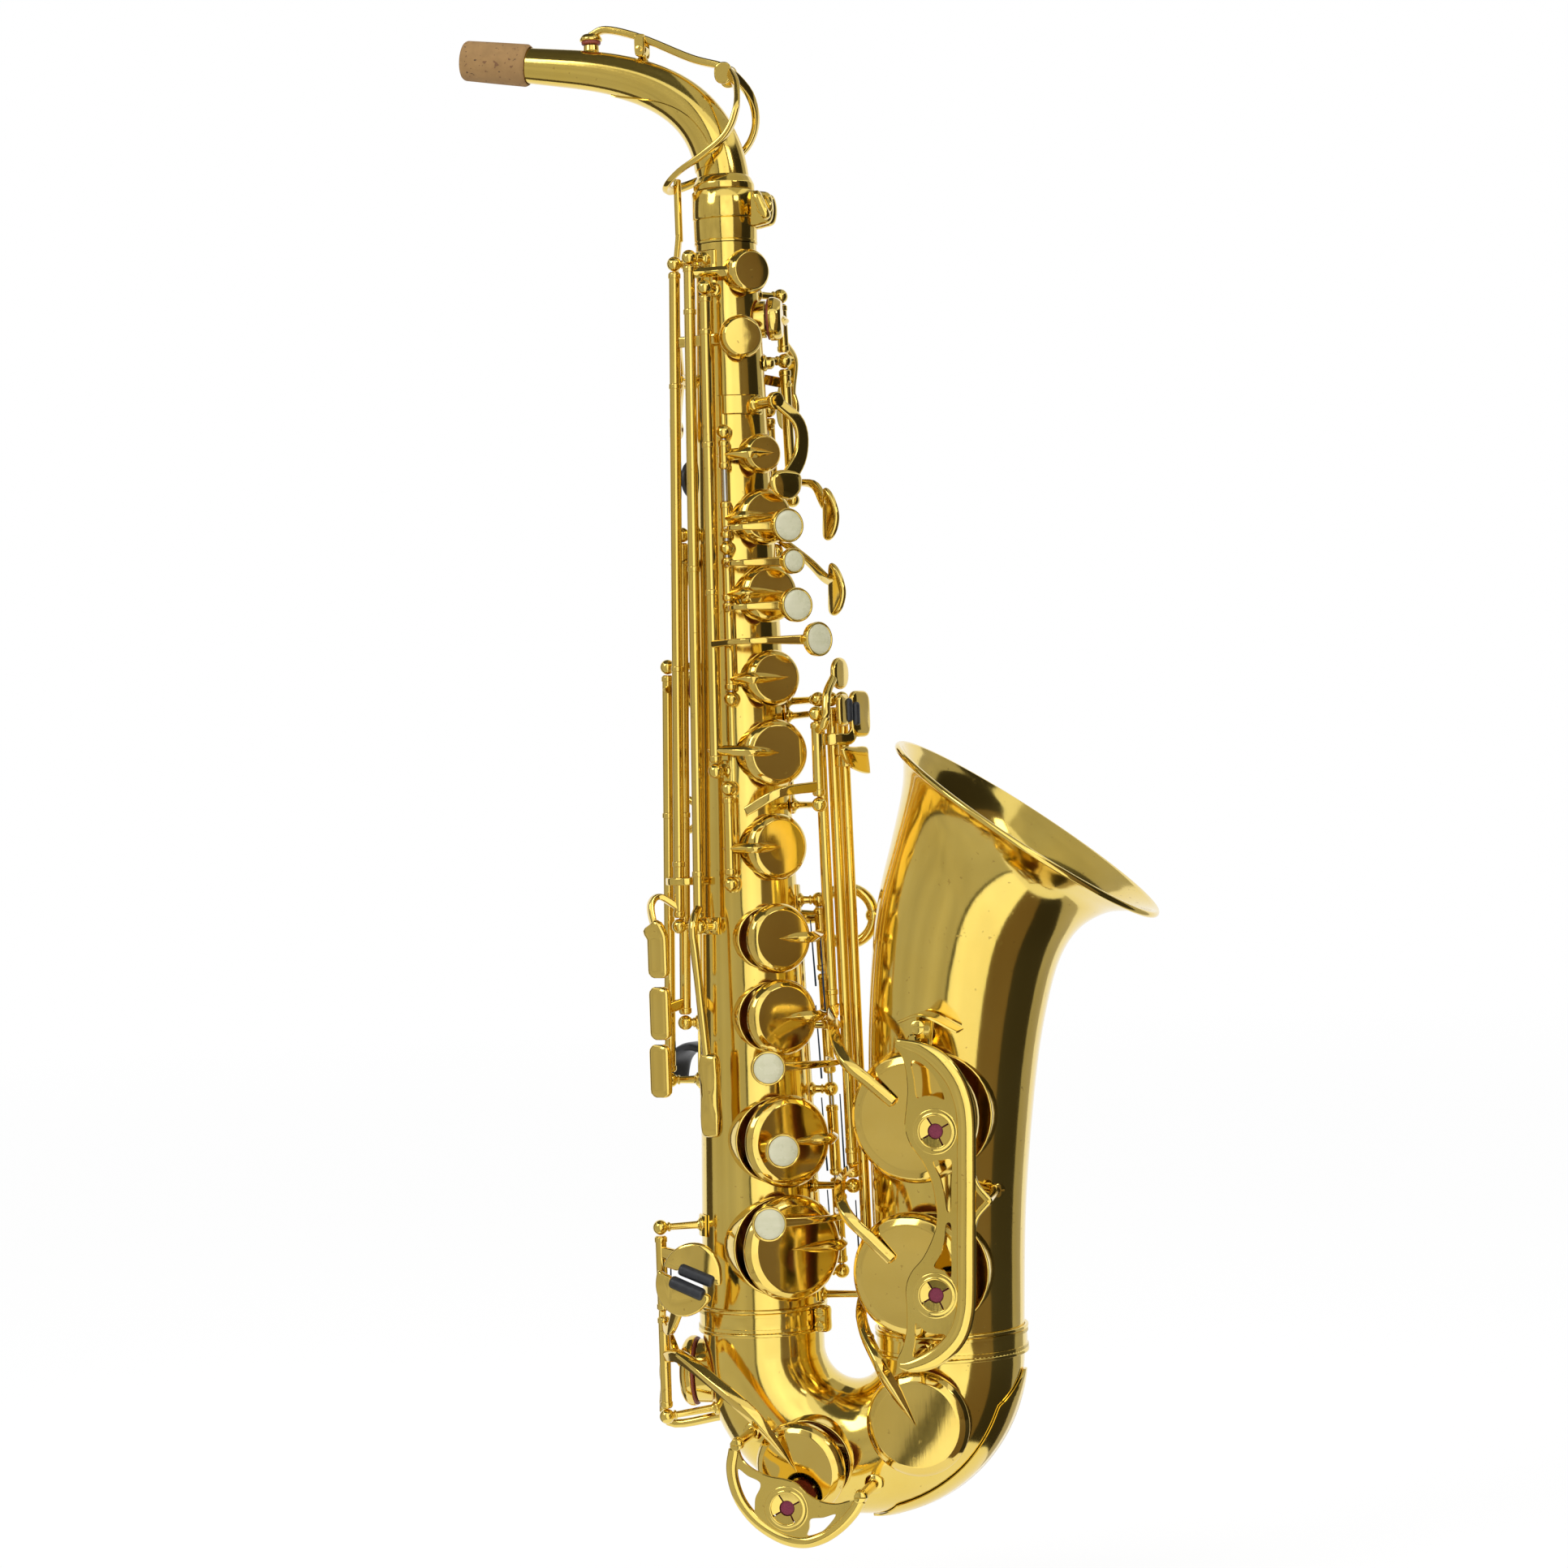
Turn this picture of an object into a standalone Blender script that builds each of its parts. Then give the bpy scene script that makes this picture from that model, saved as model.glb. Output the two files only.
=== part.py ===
"""Alto saxophone: tube, neck, keys, guards and posts as separate closed solids.

Metres, +Z up along the body tube. +X points from the body tube to the bell and -Y to the player's right.
The origin is the centre of the strap ring. Angles around the body tube start at +X and grow towards -Y.
"""
import math

import bmesh
import bpy
from mathutils import Matrix, Vector

MM = 0.001

# Clearances
SEAT_GAP = 0.3 * MM
RUN_GAP = 0.4 * MM
PAD_GAP = 0.35 * MM

# Facets of round pieces
TUBE_SIDES = 20
HOLE_SIDES = 12
CUP_SIDES = 12
ROD_SIDES = 6
BALL_RINGS = 3

# Body tube
BODY_TOP_Z = 234 * MM
BODY_FOOT_Z = -207 * MM
BODY_TOP_RADIUS = 12.6 * MM
BODY_FOOT_RADIUS = 25 * MM
BODY_WALL = 1.2 * MM
HOLE_RIM = 2.2 * MM
HOLE_WALL = 1.3 * MM

# Neck
RECEIVER_TOP_Z = 256 * MM
RECEIVER_RADIUS = 13.4 * MM
TENON_RADIUS = 11.1 * MM
TENON_DEPTH = 18 * MM
NECK_WALL = 1.0 * MM
NECK_COLLAR_RADIUS = 12.6 * MM
NECK_COLLAR_HEIGHT = 3.5 * MM
NECK_RADIUS = 10.9 * MM
CORK_LENGTH = 29 * MM
CORK_RADIUS = 8.3 * MM
NECK_TIP_RADIUS = 6.4 * MM
NECK_TIP_X = -110.5 * MM
NECK_TIP_Z = 320 * MM
NECK_RISE = 0.16
LUG_LENGTH = 9 * MM
LUG_HEIGHT = 14 * MM
LUG_HALF_WIDTH = 5 * MM
LUG_SLOT = 1.6 * MM
SCREW_RADIUS = 1.6 * MM

# Bow and bell
BOW_RADIUS = 39.5 * MM
BOW_LEG = 14 * MM
BOW_WALL = 1.2 * MM
BELL_FOOT_RADIUS = 29.5 * MM
BELL_FOOT_Z = -216 * MM
BELL_WALL = 1.3 * MM
BELL_RIM_RADIUS = 62 * MM
BELL_RIM_X = 118 * MM
BELL_RIM_Z = -9 * MM
BELL_RIM_TILT = 35.5
RING_HEIGHT = 11 * MM
RING_WALL = 1.8 * MM

# Keys
KEY_TUBE_RADIUS = 2.3 * MM
STACK_ROD_RADIUS = 1.1 * MM
BALL_RADIUS = 3.1 * MM
BALL_FLAT = BALL_RADIUS * (1 - math.cos(math.pi / (BALL_RINGS + 1)))
POST_RADIUS = 1.7 * MM
RIB_THICKNESS = 1.2 * MM
CUP_HEIGHT = 6.2 * MM
LOW_CUP_HEIGHT = 7 * MM
ARM_WIDTH = 4.6 * MM
ARM_THICKNESS = 2.4 * MM
PEARL_RADIUS = 7 * MM
PEARL_HEIGHT = 4.2 * MM
KEY_LIFT = 4.2 * MM
SMALL_KEY_LIFT = 3 * MM
LOW_KEY_LIFT = 6 * MM

# Strap ring and thumb pieces
STRAP_ANGLE = 192
STRAP_Z = 0.0
STRAP_STAND = 9 * MM
STRAP_RING_RADIUS = 6.6 * MM
STRAP_BAR_RADIUS = 1.6 * MM
THUMB_ANGLE = 208
THUMB_HOOK_Z = -104 * MM

# Guards
GUARD_Y = -58 * MM
GUARD_THICKNESS = 1.8 * MM
GUARD_WIDTH = 5 * MM
LOW_C_GUARD_Y = -50 * MM
FELT_RADIUS = 6 * MM
FELT_DISC_RADIUS = 8.5 * MM

# Colours
BRASS = (0.80, 0.52, 0.16)
STEEL = (0.62, 0.62, 0.62)
CORK = (0.62, 0.42, 0.24)
BLACK = (0.03, 0.03, 0.03)
FELT = (0.35, 0.05, 0.12)


def clear_scene():
    for item in list(bpy.data.objects):
        bpy.data.objects.remove(item, do_unlink=True)


def body_radius(z):
    share = (BODY_TOP_Z - z) / (BODY_TOP_Z - BODY_FOOT_Z)
    return BODY_TOP_RADIUS + share * (BODY_FOOT_RADIUS - BODY_TOP_RADIUS)


def outward(angle):
    turn = math.radians(angle)
    return Vector((math.cos(turn), -math.sin(turn), 0))


def around(angle):
    turn = math.radians(angle)
    return Vector((-math.sin(turn), -math.cos(turn), 0))


def polar(angle, radius, z):
    return outward(angle) * radius + Vector((0, 0, z))


def off_body(angle, stand, z):
    return polar(angle, body_radius(z) + stand, z)


class ConeRod:
    """A hinge line that follows the taper of the body tube."""

    def __init__(self, angle, stand):
        self.angle = angle
        self.stand = stand

    def at(self, z):
        return off_body(self.angle, self.stand, z)


class UprightRod:
    """A hinge line beside the body tube; lean moves it along -X as it rises."""

    def __init__(self, x, y, lean=0.0):
        self.x = x
        self.y = y
        self.lean = lean

    def at(self, z):
        return Vector((self.x - self.lean * z, self.y, z))


class Hole:
    """A tone hole: the middle of its rim, the way it faces and the radius of its key cup."""

    def __init__(self, rim, normal, cup):
        self.rim = rim
        self.normal = normal.normalized()
        self.cup = cup


def body_hole(angle, z, cup):
    return Hole(off_body(angle, HOLE_RIM, z), outward(angle), cup)


def make_object(name, points, faces):
    mesh = bpy.data.meshes.new(name)
    mesh.from_pydata([tuple(p) for p in points], [], faces)
    shell = bmesh.new()
    shell.from_mesh(mesh)
    bmesh.ops.recalc_face_normals(shell, faces=shell.faces)
    shell.to_mesh(mesh)
    shell.free()
    item = bpy.data.objects.new(name, mesh)
    bpy.context.collection.objects.link(item)
    return item


def frame_across(axis):
    axis = axis.normalized()
    helper = Vector((0, 0, 1))
    if abs(axis.z) > 0.9:
        helper = Vector((1, 0, 0))
    first = axis.cross(helper).normalized()
    return first, axis.cross(first).normalized()


def circle(centre, first, second, radius, sides):
    points = []
    for step in range(sides):
        turn = math.tau * step / sides
        points.append(centre + first * (radius * math.cos(turn)) + second * (radius * math.sin(turn)))
    return points


def skin(rings, closed):
    """Closed solid through rings of equal length; closed joins the last ring to the first."""
    sides = len(rings[0])
    points = [p for ring in rings for p in ring]
    faces = []
    spans = len(rings) if closed else len(rings) - 1
    for row in range(spans):
        here = row * sides
        there = ((row + 1) % len(rings)) * sides
        for step in range(sides):
            nxt = (step + 1) % sides
            faces.append((here + step, here + nxt, there + nxt, there + step))
    if not closed:
        faces.append(tuple(range(sides)))
        faces.append(tuple(range((len(rings) - 1) * sides, len(rings) * sides)))
    return make_object("piece", points, faces)


def turned(profile, base, axis, sides, closed=False):
    """Turned solid: profile holds (radius, height) pairs along the axis."""
    axis = axis.normalized()
    first, second = frame_across(axis)
    return skin([circle(base + axis * h, first, second, r, sides) for r, h in profile], closed)


def cylinder(start, end, radius, sides=ROD_SIDES):
    return turned([(radius, 0), (radius, (end - start).length)], start, end - start, sides)


def ball(centre, radius, sides=ROD_SIDES):
    profile = []
    for row in range(1, BALL_RINGS + 1):
        turn = math.pi * row / (BALL_RINGS + 1)
        profile.append((radius * math.sin(turn), -radius * math.cos(turn)))
    return turned(profile, centre, Vector((0, 0, 1)), sides)


def tangents(points, closed):
    result = []
    last = len(points) - 1
    for step in range(len(points)):
        before = points[step - 1] if step > 0 or closed else points[0]
        after = points[(step + 1) % len(points)] if step < last or closed else points[last]
        result.append((after - before).normalized())
    return result


def round_bar(points, radius, closed=False, sides=ROD_SIDES):
    rings = []
    first = None
    for point, way in zip(points, tangents(points, closed)):
        if first is None:
            first = frame_across(way)[0]
        first = (first - way * first.dot(way)).normalized()
        rings.append(circle(point, first, way.cross(first), radius, sides))
    return skin(rings, closed)


def flat_bar(points, width, thickness, side):
    """Strap along points, wide along side."""
    rings = []
    for point, way in zip(points, tangents(points, False)):
        across = (side - way * side.dot(way)).normalized() * (width / 2)
        up = way.cross(across).normalized() * (thickness / 2)
        rings.append([point - across - up, point + across - up, point + across + up, point - across + up])
    return skin(rings, False)


def slab(centre, half_u, half_v, half_w):
    """Box from three half-edge vectors."""
    low = [centre - half_u - half_v - half_w, centre + half_u - half_v - half_w]
    low += [centre + half_u + half_v - half_w, centre - half_u + half_v - half_w]
    return skin([low, [p + half_w * 2 for p in low]], False)


def sector(angle_from, angle_to, low_z, high_z, stand, thickness, steps):
    """Plate that lies round the body tube."""
    rings = []
    for step in range(steps + 1):
        angle = angle_from + (angle_to - angle_from) * step / steps
        ring = [off_body(angle, stand, low_z), off_body(angle, stand + thickness, low_z)]
        ring += [off_body(angle, stand + thickness, high_z), off_body(angle, stand, high_z)]
        rings.append(ring)
    return skin(rings, False)


def run_boolean(base, tools, operation):
    for tool in tools:
        step = base.modifiers.new("step", 'BOOLEAN')
        step.operation = operation
        step.solver = 'EXACT'
        step.object = tool
    graph = bpy.context.evaluated_depsgraph_get()
    mesh = bpy.data.meshes.new_from_object(base.evaluated_get(graph))
    base.modifiers.clear()
    base.data = mesh
    for tool in tools:
        bpy.data.objects.remove(tool, do_unlink=True)
    return base


def fuse(pieces, cutters=()):
    base = pieces[0]
    if len(pieces) > 1:
        run_boolean(base, pieces[1:], 'UNION')
    if cutters:
        run_boolean(base, list(cutters), 'DIFFERENCE')
    return base


def material(name, colour, roughness, metallic):
    finish = bpy.data.materials.get(name)
    if finish is None:
        finish = bpy.data.materials.new(name)
        finish.use_nodes = True
        shader = finish.node_tree.nodes["Principled BSDF"]
        shader.inputs["Base Color"].default_value = (*colour, 1)
        shader.inputs["Roughness"].default_value = roughness
        shader.inputs["Metallic"].default_value = metallic
    return finish


def brass():
    return material("lacquered_brass", BRASS, 0.18, 1.0)


def steel():
    return material("polished_steel", STEEL, 0.25, 1.0)


def cork():
    return material("neck_cork", CORK, 0.9, 0.0)


def black_plastic():
    return material("black_plastic", BLACK, 0.4, 0.0)


def red_felt():
    return material("red_felt", FELT, 0.95, 0.0)


def settle(item, name, finish, root, origin=None, turn=None):
    """Name a finished solid, put its origin at a point, and hang it on the root."""
    item.name = name
    item.data.name = name
    origin = origin or Vector((0, 0, 0))
    item.data.transform(Matrix.Translation(-origin))
    item.parent = root
    item.matrix_parent_inverse = Matrix.Identity(4)
    place = Matrix.Translation(origin)
    if turn:
        place = place @ Matrix.Rotation(turn[0], 4, turn[1])
    item.matrix_local = place
    item.data.materials.clear()
    item.data.materials.append(finish)
    item.data.shade_smooth()
    item.data.set_sharp_from_angle(angle=math.radians(30))
    return item


class Joint:
    """Where a key turns, the way it opens, its swing and whether it rests open."""

    def __init__(self, point, axis, swing, open_at_rest):
        self.point = point
        self.axis = axis
        self.swing = swing
        self.open_at_rest = open_at_rest


JOINTS = {}


# Hinge lines
ROD_HIGH_E = ConeRod(149.5, 9.5 * MM)
ROD_HIGH_FS = ConeRod(118.5, 9.5 * MM)
ROD_G = ConeRod(99.5, 9.5 * MM)
ROD_UPPER = ConeRod(86, 5.2 * MM)
ROD_GS = ConeRod(91, 5.6 * MM)
ROD_LOWER = ConeRod(-6, 9 * MM)
ROD_SIDE_C = ConeRod(161, 6.3 * MM)
ROD_SIDE_BB = ConeRod(173, 13 * MM)
ROD_PALM_D = ConeRod(-59, 7 * MM)
ROD_PALM = ConeRod(-46, 12.5 * MM)
BELL_KEY_LEAN = 0.012
BELL_GAP = 2 * BOW_RADIUS - BELL_FOOT_RADIUS - BODY_FOOT_RADIUS
ROD_LOW_B = UprightRod(BODY_FOOT_RADIUS + 0.4082 * BELL_GAP, -9 * MM, BELL_KEY_LEAN)
ROD_LOW_BB = UprightRod(BODY_FOOT_RADIUS + 0.5837 * BELL_GAP, -5 * MM, BELL_KEY_LEAN)
ROD_LOW_CS = UprightRod(BODY_FOOT_RADIUS + 0.7306 * BELL_GAP, -0.5 * MM, BELL_KEY_LEAN)
ROD_PINKY = UprightRod(-36.5 * MM, -21.5 * MM)
ROD_GS_TOUCH = UprightRod(36 * MM, -19.5 * MM)

UPPER_ANGLE = 42
LOWER_ANGLE = 57

# Tone holes of the body tube
HOLES = {
    "high_f_sharp": body_hole(47, 221 * MM, 9.3 * MM),
    "high_e": body_hole(61, 194 * MM, 9.0 * MM),
    "palm_f": body_hole(-8, 203 * MM, 9.0 * MM),
    "palm_eb": body_hole(-95, 184 * MM, 9.0 * MM),
    "palm_d": body_hole(-97, 160 * MM, 9.5 * MM),
    "side_c": body_hole(203, 104 * MM, 10.0 * MM),
    "side_bb": body_hole(214, 52 * MM, 11.0 * MM),
    "c": body_hole(UPPER_ANGLE, 146 * MM, 8.2 * MM),
    "b": body_hole(UPPER_ANGLE, 120 * MM, 11.5 * MM),
    "bis": body_hole(UPPER_ANGLE, 89 * MM, 12.0 * MM),
    "a": body_hole(UPPER_ANGLE, 54.5 * MM, 11.5 * MM),
    "g": body_hole(44, 24 * MM, 13.7 * MM),
    "g_sharp": body_hole(46, -14 * MM, 13.7 * MM),
    "f_sharp": body_hole(LOWER_ANGLE, -51 * MM, 14.2 * MM),
    "f": body_hole(LOWER_ANGLE, -83 * MM, 15.5 * MM),
    "e": body_hole(LOWER_ANGLE, -133 * MM, 18.8 * MM),
    "d": body_hole(LOWER_ANGLE, -176 * MM, 21.5 * MM),
}


def chimney(hole, depth):
    """Solid stub of a tone hole, from below the tube wall to its rim."""
    base = hole.rim - hole.normal * depth
    return turned([(hole.cup - HOLE_WALL, 0), (hole.cup - HOLE_WALL, depth)], base, hole.normal, HOLE_SIDES)


def hole_cutter(hole, depth):
    base = hole.rim - hole.normal * depth
    reach = depth + 2 * MM
    radius = hole.cup - 2 * HOLE_WALL
    return turned([(radius, 0), (radius, reach)], base, hole.normal, HOLE_SIDES)


def make_body_tube(root):
    axis = Vector((0, 0, 1))
    foot = Vector((0, 0, BODY_FOOT_Z))
    length = BODY_TOP_Z - BODY_FOOT_Z
    tube = turned([(BODY_FOOT_RADIUS, 0), (BODY_TOP_RADIUS, length)], foot, axis, TUBE_SIDES)
    stubs = []
    cutters = []
    for hole in HOLES.values():
        depth = hole.rim.xy.length * 0.62
        stubs.append(chimney(hole, depth))
        cutters.append(hole_cutter(hole, depth))
    slack = BODY_WALL
    bore = turned([(BODY_FOOT_RADIUS - BODY_WALL, -slack), (BODY_TOP_RADIUS - BODY_WALL, length + slack)],
                  foot, axis, TUBE_SIDES)
    fuse([tube] + stubs, [bore] + cutters)
    return settle(tube, "body_tube", brass(), root)


def bow_station(turn):
    """Centre, section axes and radius of the bow at an angle round its bend, 0 at the body leg."""
    centre = Vector((BOW_RADIUS, 0, BODY_FOOT_Z - BOW_LEG))
    out = Vector((-math.cos(turn), 0, -math.sin(turn)))
    share = turn / math.pi
    radius = BODY_FOOT_RADIUS + share * (BELL_FOOT_RADIUS - BODY_FOOT_RADIUS)
    return centre + out * BOW_RADIUS, out, radius


def bow_sections(inset):
    side = Vector((0, 1, 0))
    rings = []
    steps = 9
    for step in range(-1, steps + 2):
        turn = math.pi * min(max(step, 0), steps) / steps
        centre, out, radius = bow_station(turn)
        if step == -1:
            centre.z = BODY_FOOT_Z - SEAT_GAP
        if step == steps + 1:
            centre.z = BELL_FOOT_Z - SEAT_GAP
        rings.append(circle(centre, out, side, radius - inset, TUBE_SIDES))
    return rings


def shell_of(outer, inner):
    """Open-ended shell from matching outer and inner rings."""
    return skin(outer + inner[::-1], True)


def bow_hole(turn_degrees, lean_degrees, cup):
    centre, out, radius = bow_station(math.radians(turn_degrees))
    lean = math.radians(lean_degrees)
    normal = Vector((0, -1, 0)) * math.cos(lean) + out * math.sin(lean)
    return Hole(centre + normal * (radius + HOLE_RIM), normal, cup)


LOW_C_HOLE = bow_hole(70, 8, 18.8 * MM)
LOW_CS_HOLE = bow_hole(143, 0, 21 * MM)
LOW_EB_HOLE = Hole(polar(176, BODY_FOOT_RADIUS + HOLE_RIM, BODY_FOOT_Z - 23 * MM), outward(176), 14.5 * MM)


def make_bow(root):
    outer = bow_sections(0)
    solid = skin(outer, False)
    inner = bow_sections(BOW_WALL)
    lift = Vector((0, 0, BOW_WALL))
    inner[0] = [p + lift for p in inner[0]]
    inner[-1] = [p + lift for p in inner[-1]]
    bore = skin(inner, False)
    holes = [LOW_C_HOLE, LOW_CS_HOLE, LOW_EB_HOLE]
    depth = BODY_FOOT_RADIUS * 0.66
    stubs = [chimney(hole, depth) for hole in holes]
    fuse([solid] + stubs, [bore] + [hole_cutter(hole, depth) for hole in holes])
    return settle(solid, "bow", brass(), root)


def bell_stations():
    """Centre x, z, radius and tilt in degrees from the bow joint to the rim."""
    foot_x = 2 * BOW_RADIUS
    foot_z = BELL_FOOT_Z
    rows = [
        (0.000, 0.000, BELL_FOOT_RADIUS, 0),
        (0.020, 0.260, BELL_FOOT_RADIUS + 1.8 * MM, 0),
        (0.100, 0.520, BELL_FOOT_RADIUS + 4.6 * MM, 5),
        (0.200, 0.680, BELL_FOOT_RADIUS + 6.8 * MM, 11),
        (0.330, 0.800, BELL_FOOT_RADIUS + 9.2 * MM, 19),
        (0.520, 0.890, BELL_FOOT_RADIUS + 12.5 * MM, 28),
        (0.730, 0.952, BELL_RIM_RADIUS - 14.0 * MM, 33),
        (0.880, 0.984, BELL_RIM_RADIUS - 7.0 * MM, BELL_RIM_TILT),
        (1.000, 1.000, BELL_RIM_RADIUS, BELL_RIM_TILT),
    ]
    result = []
    for across, up, radius, tilt in rows:
        x = foot_x + across * (BELL_RIM_X - foot_x)
        z = foot_z + up * (BELL_RIM_Z - foot_z)
        result.append((x, z, radius, math.radians(tilt)))
    return result


def bell_rings(inset, grow_low, grow_high):
    side = Vector((0, 1, 0))
    rings = []
    stations = bell_stations()
    for row, (x, z, radius, tilt) in enumerate(stations):
        centre = Vector((x, 0, z))
        way = Vector((math.sin(tilt), 0, math.cos(tilt)))
        if row == 0:
            centre = centre - way * grow_low
        if row == len(stations) - 1:
            centre = centre + way * grow_high
        first = Vector((math.cos(tilt), 0, -math.sin(tilt)))
        rings.append(circle(centre, first, side, radius - inset, TUBE_SIDES))
    return rings


def bell_at(z):
    """Centre x and radius of the bell at a height below its flare."""
    rows = bell_stations()
    for low, high in zip(rows, rows[1:]):
        if low[1] <= z <= high[1]:
            share = (z - low[1]) / (high[1] - low[1])
            return low[0] + share * (high[0] - low[0]), low[2] + share * (high[2] - low[2])
    return rows[0][0], rows[0][2]


def bell_hole(z, cup):
    x, radius = bell_at(z)
    return Hole(Vector((x - 1.5 * MM, -radius - HOLE_RIM, z)), Vector((0, -1, 0)), cup)


LOW_B_HOLE = bell_hole(-121.5 * MM, 26.3 * MM)
LOW_BB_HOLE = bell_hole(-184.5 * MM, 25 * MM)


def make_bell(root):
    solid = skin(bell_rings(0, 0, 0), False)
    bore = skin(bell_rings(BELL_WALL, BELL_WALL, BELL_WALL), False)
    holes = [LOW_B_HOLE, LOW_BB_HOLE]
    depth = BELL_FOOT_RADIUS * 0.7
    stubs = [chimney(hole, depth) for hole in holes]
    fuse([solid] + stubs, [bore] + [hole_cutter(hole, depth) for hole in holes])
    rim_x, rim_z, rim_radius, tilt = bell_stations()[-1]
    way = Vector((math.sin(tilt), 0, math.cos(tilt)))
    first = Vector((math.cos(tilt), 0, -math.sin(tilt)))
    bead = round_bar(circle(Vector((rim_x, 0, rim_z)) - way * BELL_WALL, first, Vector((0, 1, 0)),
                            rim_radius, TUBE_SIDES), BELL_WALL, closed=True, sides=6)
    fuse([solid, bead])
    return settle(solid, "bell", brass(), root)


def joint_ring(name, x, z, radius, root):
    low = radius + SEAT_GAP
    high = low + RING_WALL
    half = RING_HEIGHT / 2
    profile = [(low, -half), (high, -half), (high, half), (low, half)]
    band = turned(profile, Vector((x, 0, z)), Vector((0, 0, 1)), TUBE_SIDES, closed=True)
    return settle(band, name, brass(), root)


def bow_strip(root):
    """Wear strip on the outside of the bend."""
    rings = []
    half = 6 * MM
    for step in range(4):
        turn = math.radians(100 + step * 20)
        centre, out, radius = bow_station(turn)
        side = Vector((0, 1, 0))
        low = radius + SEAT_GAP
        high = low + 1.4 * MM
        ring = [centre + out * low - side * half, centre + out * high - side * half]
        ring += [centre + out * high + side * half, centre + out * low + side * half]
        rings.append(ring)
    return settle(skin(rings, False), "bow_guard_strip", brass(), root)


def make_receiver(root):
    axis = Vector((0, 0, 1))
    low = BODY_TOP_Z + SEAT_GAP
    inner = TENON_RADIUS + RUN_GAP
    profile = [(inner, 0), (RECEIVER_RADIUS, 0), (RECEIVER_RADIUS, RECEIVER_TOP_Z - low),
               (inner, RECEIVER_TOP_Z - low)]
    sleeve = turned(profile, Vector((0, 0, low)), axis, TUBE_SIDES, closed=True)
    lug_z = RECEIVER_TOP_Z - LUG_HEIGHT / 2 - 1 * MM
    lug_x = RECEIVER_RADIUS + LUG_LENGTH / 2 - 1 * MM
    lug = slab(Vector((lug_x, 0, lug_z)), Vector((LUG_LENGTH / 2 + 0.6 * MM, 0, 0)),
               Vector((0, LUG_HALF_WIDTH, 0)), Vector((0, 0, LUG_HEIGHT / 2)))
    slot = slab(Vector((lug_x, 0, lug_z)), Vector((LUG_LENGTH, 0, 0)), Vector((0, LUG_SLOT / 2, 0)),
                Vector((0, 0, LUG_HEIGHT * 0.8)))
    reach = Vector((0, LUG_HALF_WIDTH * 2, 0))
    middle = Vector((lug_x + 1.5 * MM, 0, lug_z))
    screw_hole = cylinder(middle - reach, middle + reach, SCREW_RADIUS + RUN_GAP)
    fuse([sleeve, lug], [slot, screw_hole])
    settle(sleeve, "neck_receiver", brass(), root)

    head_y = -LUG_HALF_WIDTH - RUN_GAP
    shank = cylinder(middle + Vector((0, LUG_HALF_WIDTH, 0)), middle + Vector((0, head_y - 1 * MM, 0)), SCREW_RADIUS)
    collar = cylinder(middle + Vector((0, head_y, 0)), middle + Vector((0, head_y - 3 * MM, 0)), 3.4 * MM)
    wing = slab(middle + Vector((0, head_y - 5.5 * MM, 0)), Vector((1.5 * MM, 0, 0)),
                Vector((0, 3.2 * MM, 0)), Vector((0, 0, 6.5 * MM)))
    fuse([shank, collar, wing])
    settle(shank, "neck_screw", brass(), root, middle)


def neck_path():
    """Centre points and outer radii from the collar to the tip."""
    base = RECEIVER_TOP_Z + SEAT_GAP
    tip = Vector((NECK_TIP_X, 0, NECK_TIP_Z))
    level = tip + Vector((1, 0, -NECK_RISE)) * (CORK_LENGTH + 18 * MM)
    start = Vector((0, 0, base))
    pull = Vector((0, 0, 36 * MM))
    drag = Vector((38 * MM, 0, -38 * MM * NECK_RISE))
    points = [start]
    steps = 7
    for step in range(1, steps + 1):
        t = step / steps
        a = (1 - t) ** 3
        b = 3 * t * (1 - t) ** 2
        c = 3 * t * t * (1 - t)
        points.append(start * a + (start + pull) * b + (level + drag) * c + level * t ** 3)
    points.append(tip + (level - tip).normalized() * CORK_LENGTH)
    points.append(tip)
    total = sum((q - p).length for p, q in zip(points, points[1:]))
    radii = []
    gone = 0.0
    for index, point in enumerate(points):
        if index:
            gone += (point - points[index - 1]).length
        radii.append(NECK_RADIUS + (NECK_TIP_RADIUS - NECK_RADIUS) * gone / total)
    return points, radii


def pipe_rings(points, radii):
    side = Vector((0, 1, 0))
    rings = []
    for point, way, radius in zip(points, tangents(points, False), radii):
        rings.append(circle(point, side.cross(way).normalized(), side, radius, TUBE_SIDES))
    return rings


NECK_SADDLE = Vector((-33 * MM, 0, 317.5 * MM))
SADDLE_RADIUS = 2.6 * MM
NECK_VENT_X = -55 * MM
VENT_RADIUS = 3.2 * MM
VENT_BORE_RADIUS = 1.2 * MM


def neck_top_at(x):
    points, radii = neck_path()
    for (p, q), radius in zip(zip(points, points[1:]), radii):
        if q.x <= x <= p.x:
            share = (x - p.x) / (q.x - p.x)
            return p.z + share * (q.z - p.z), radius
    return points[-1].z, radii[-1]


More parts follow.
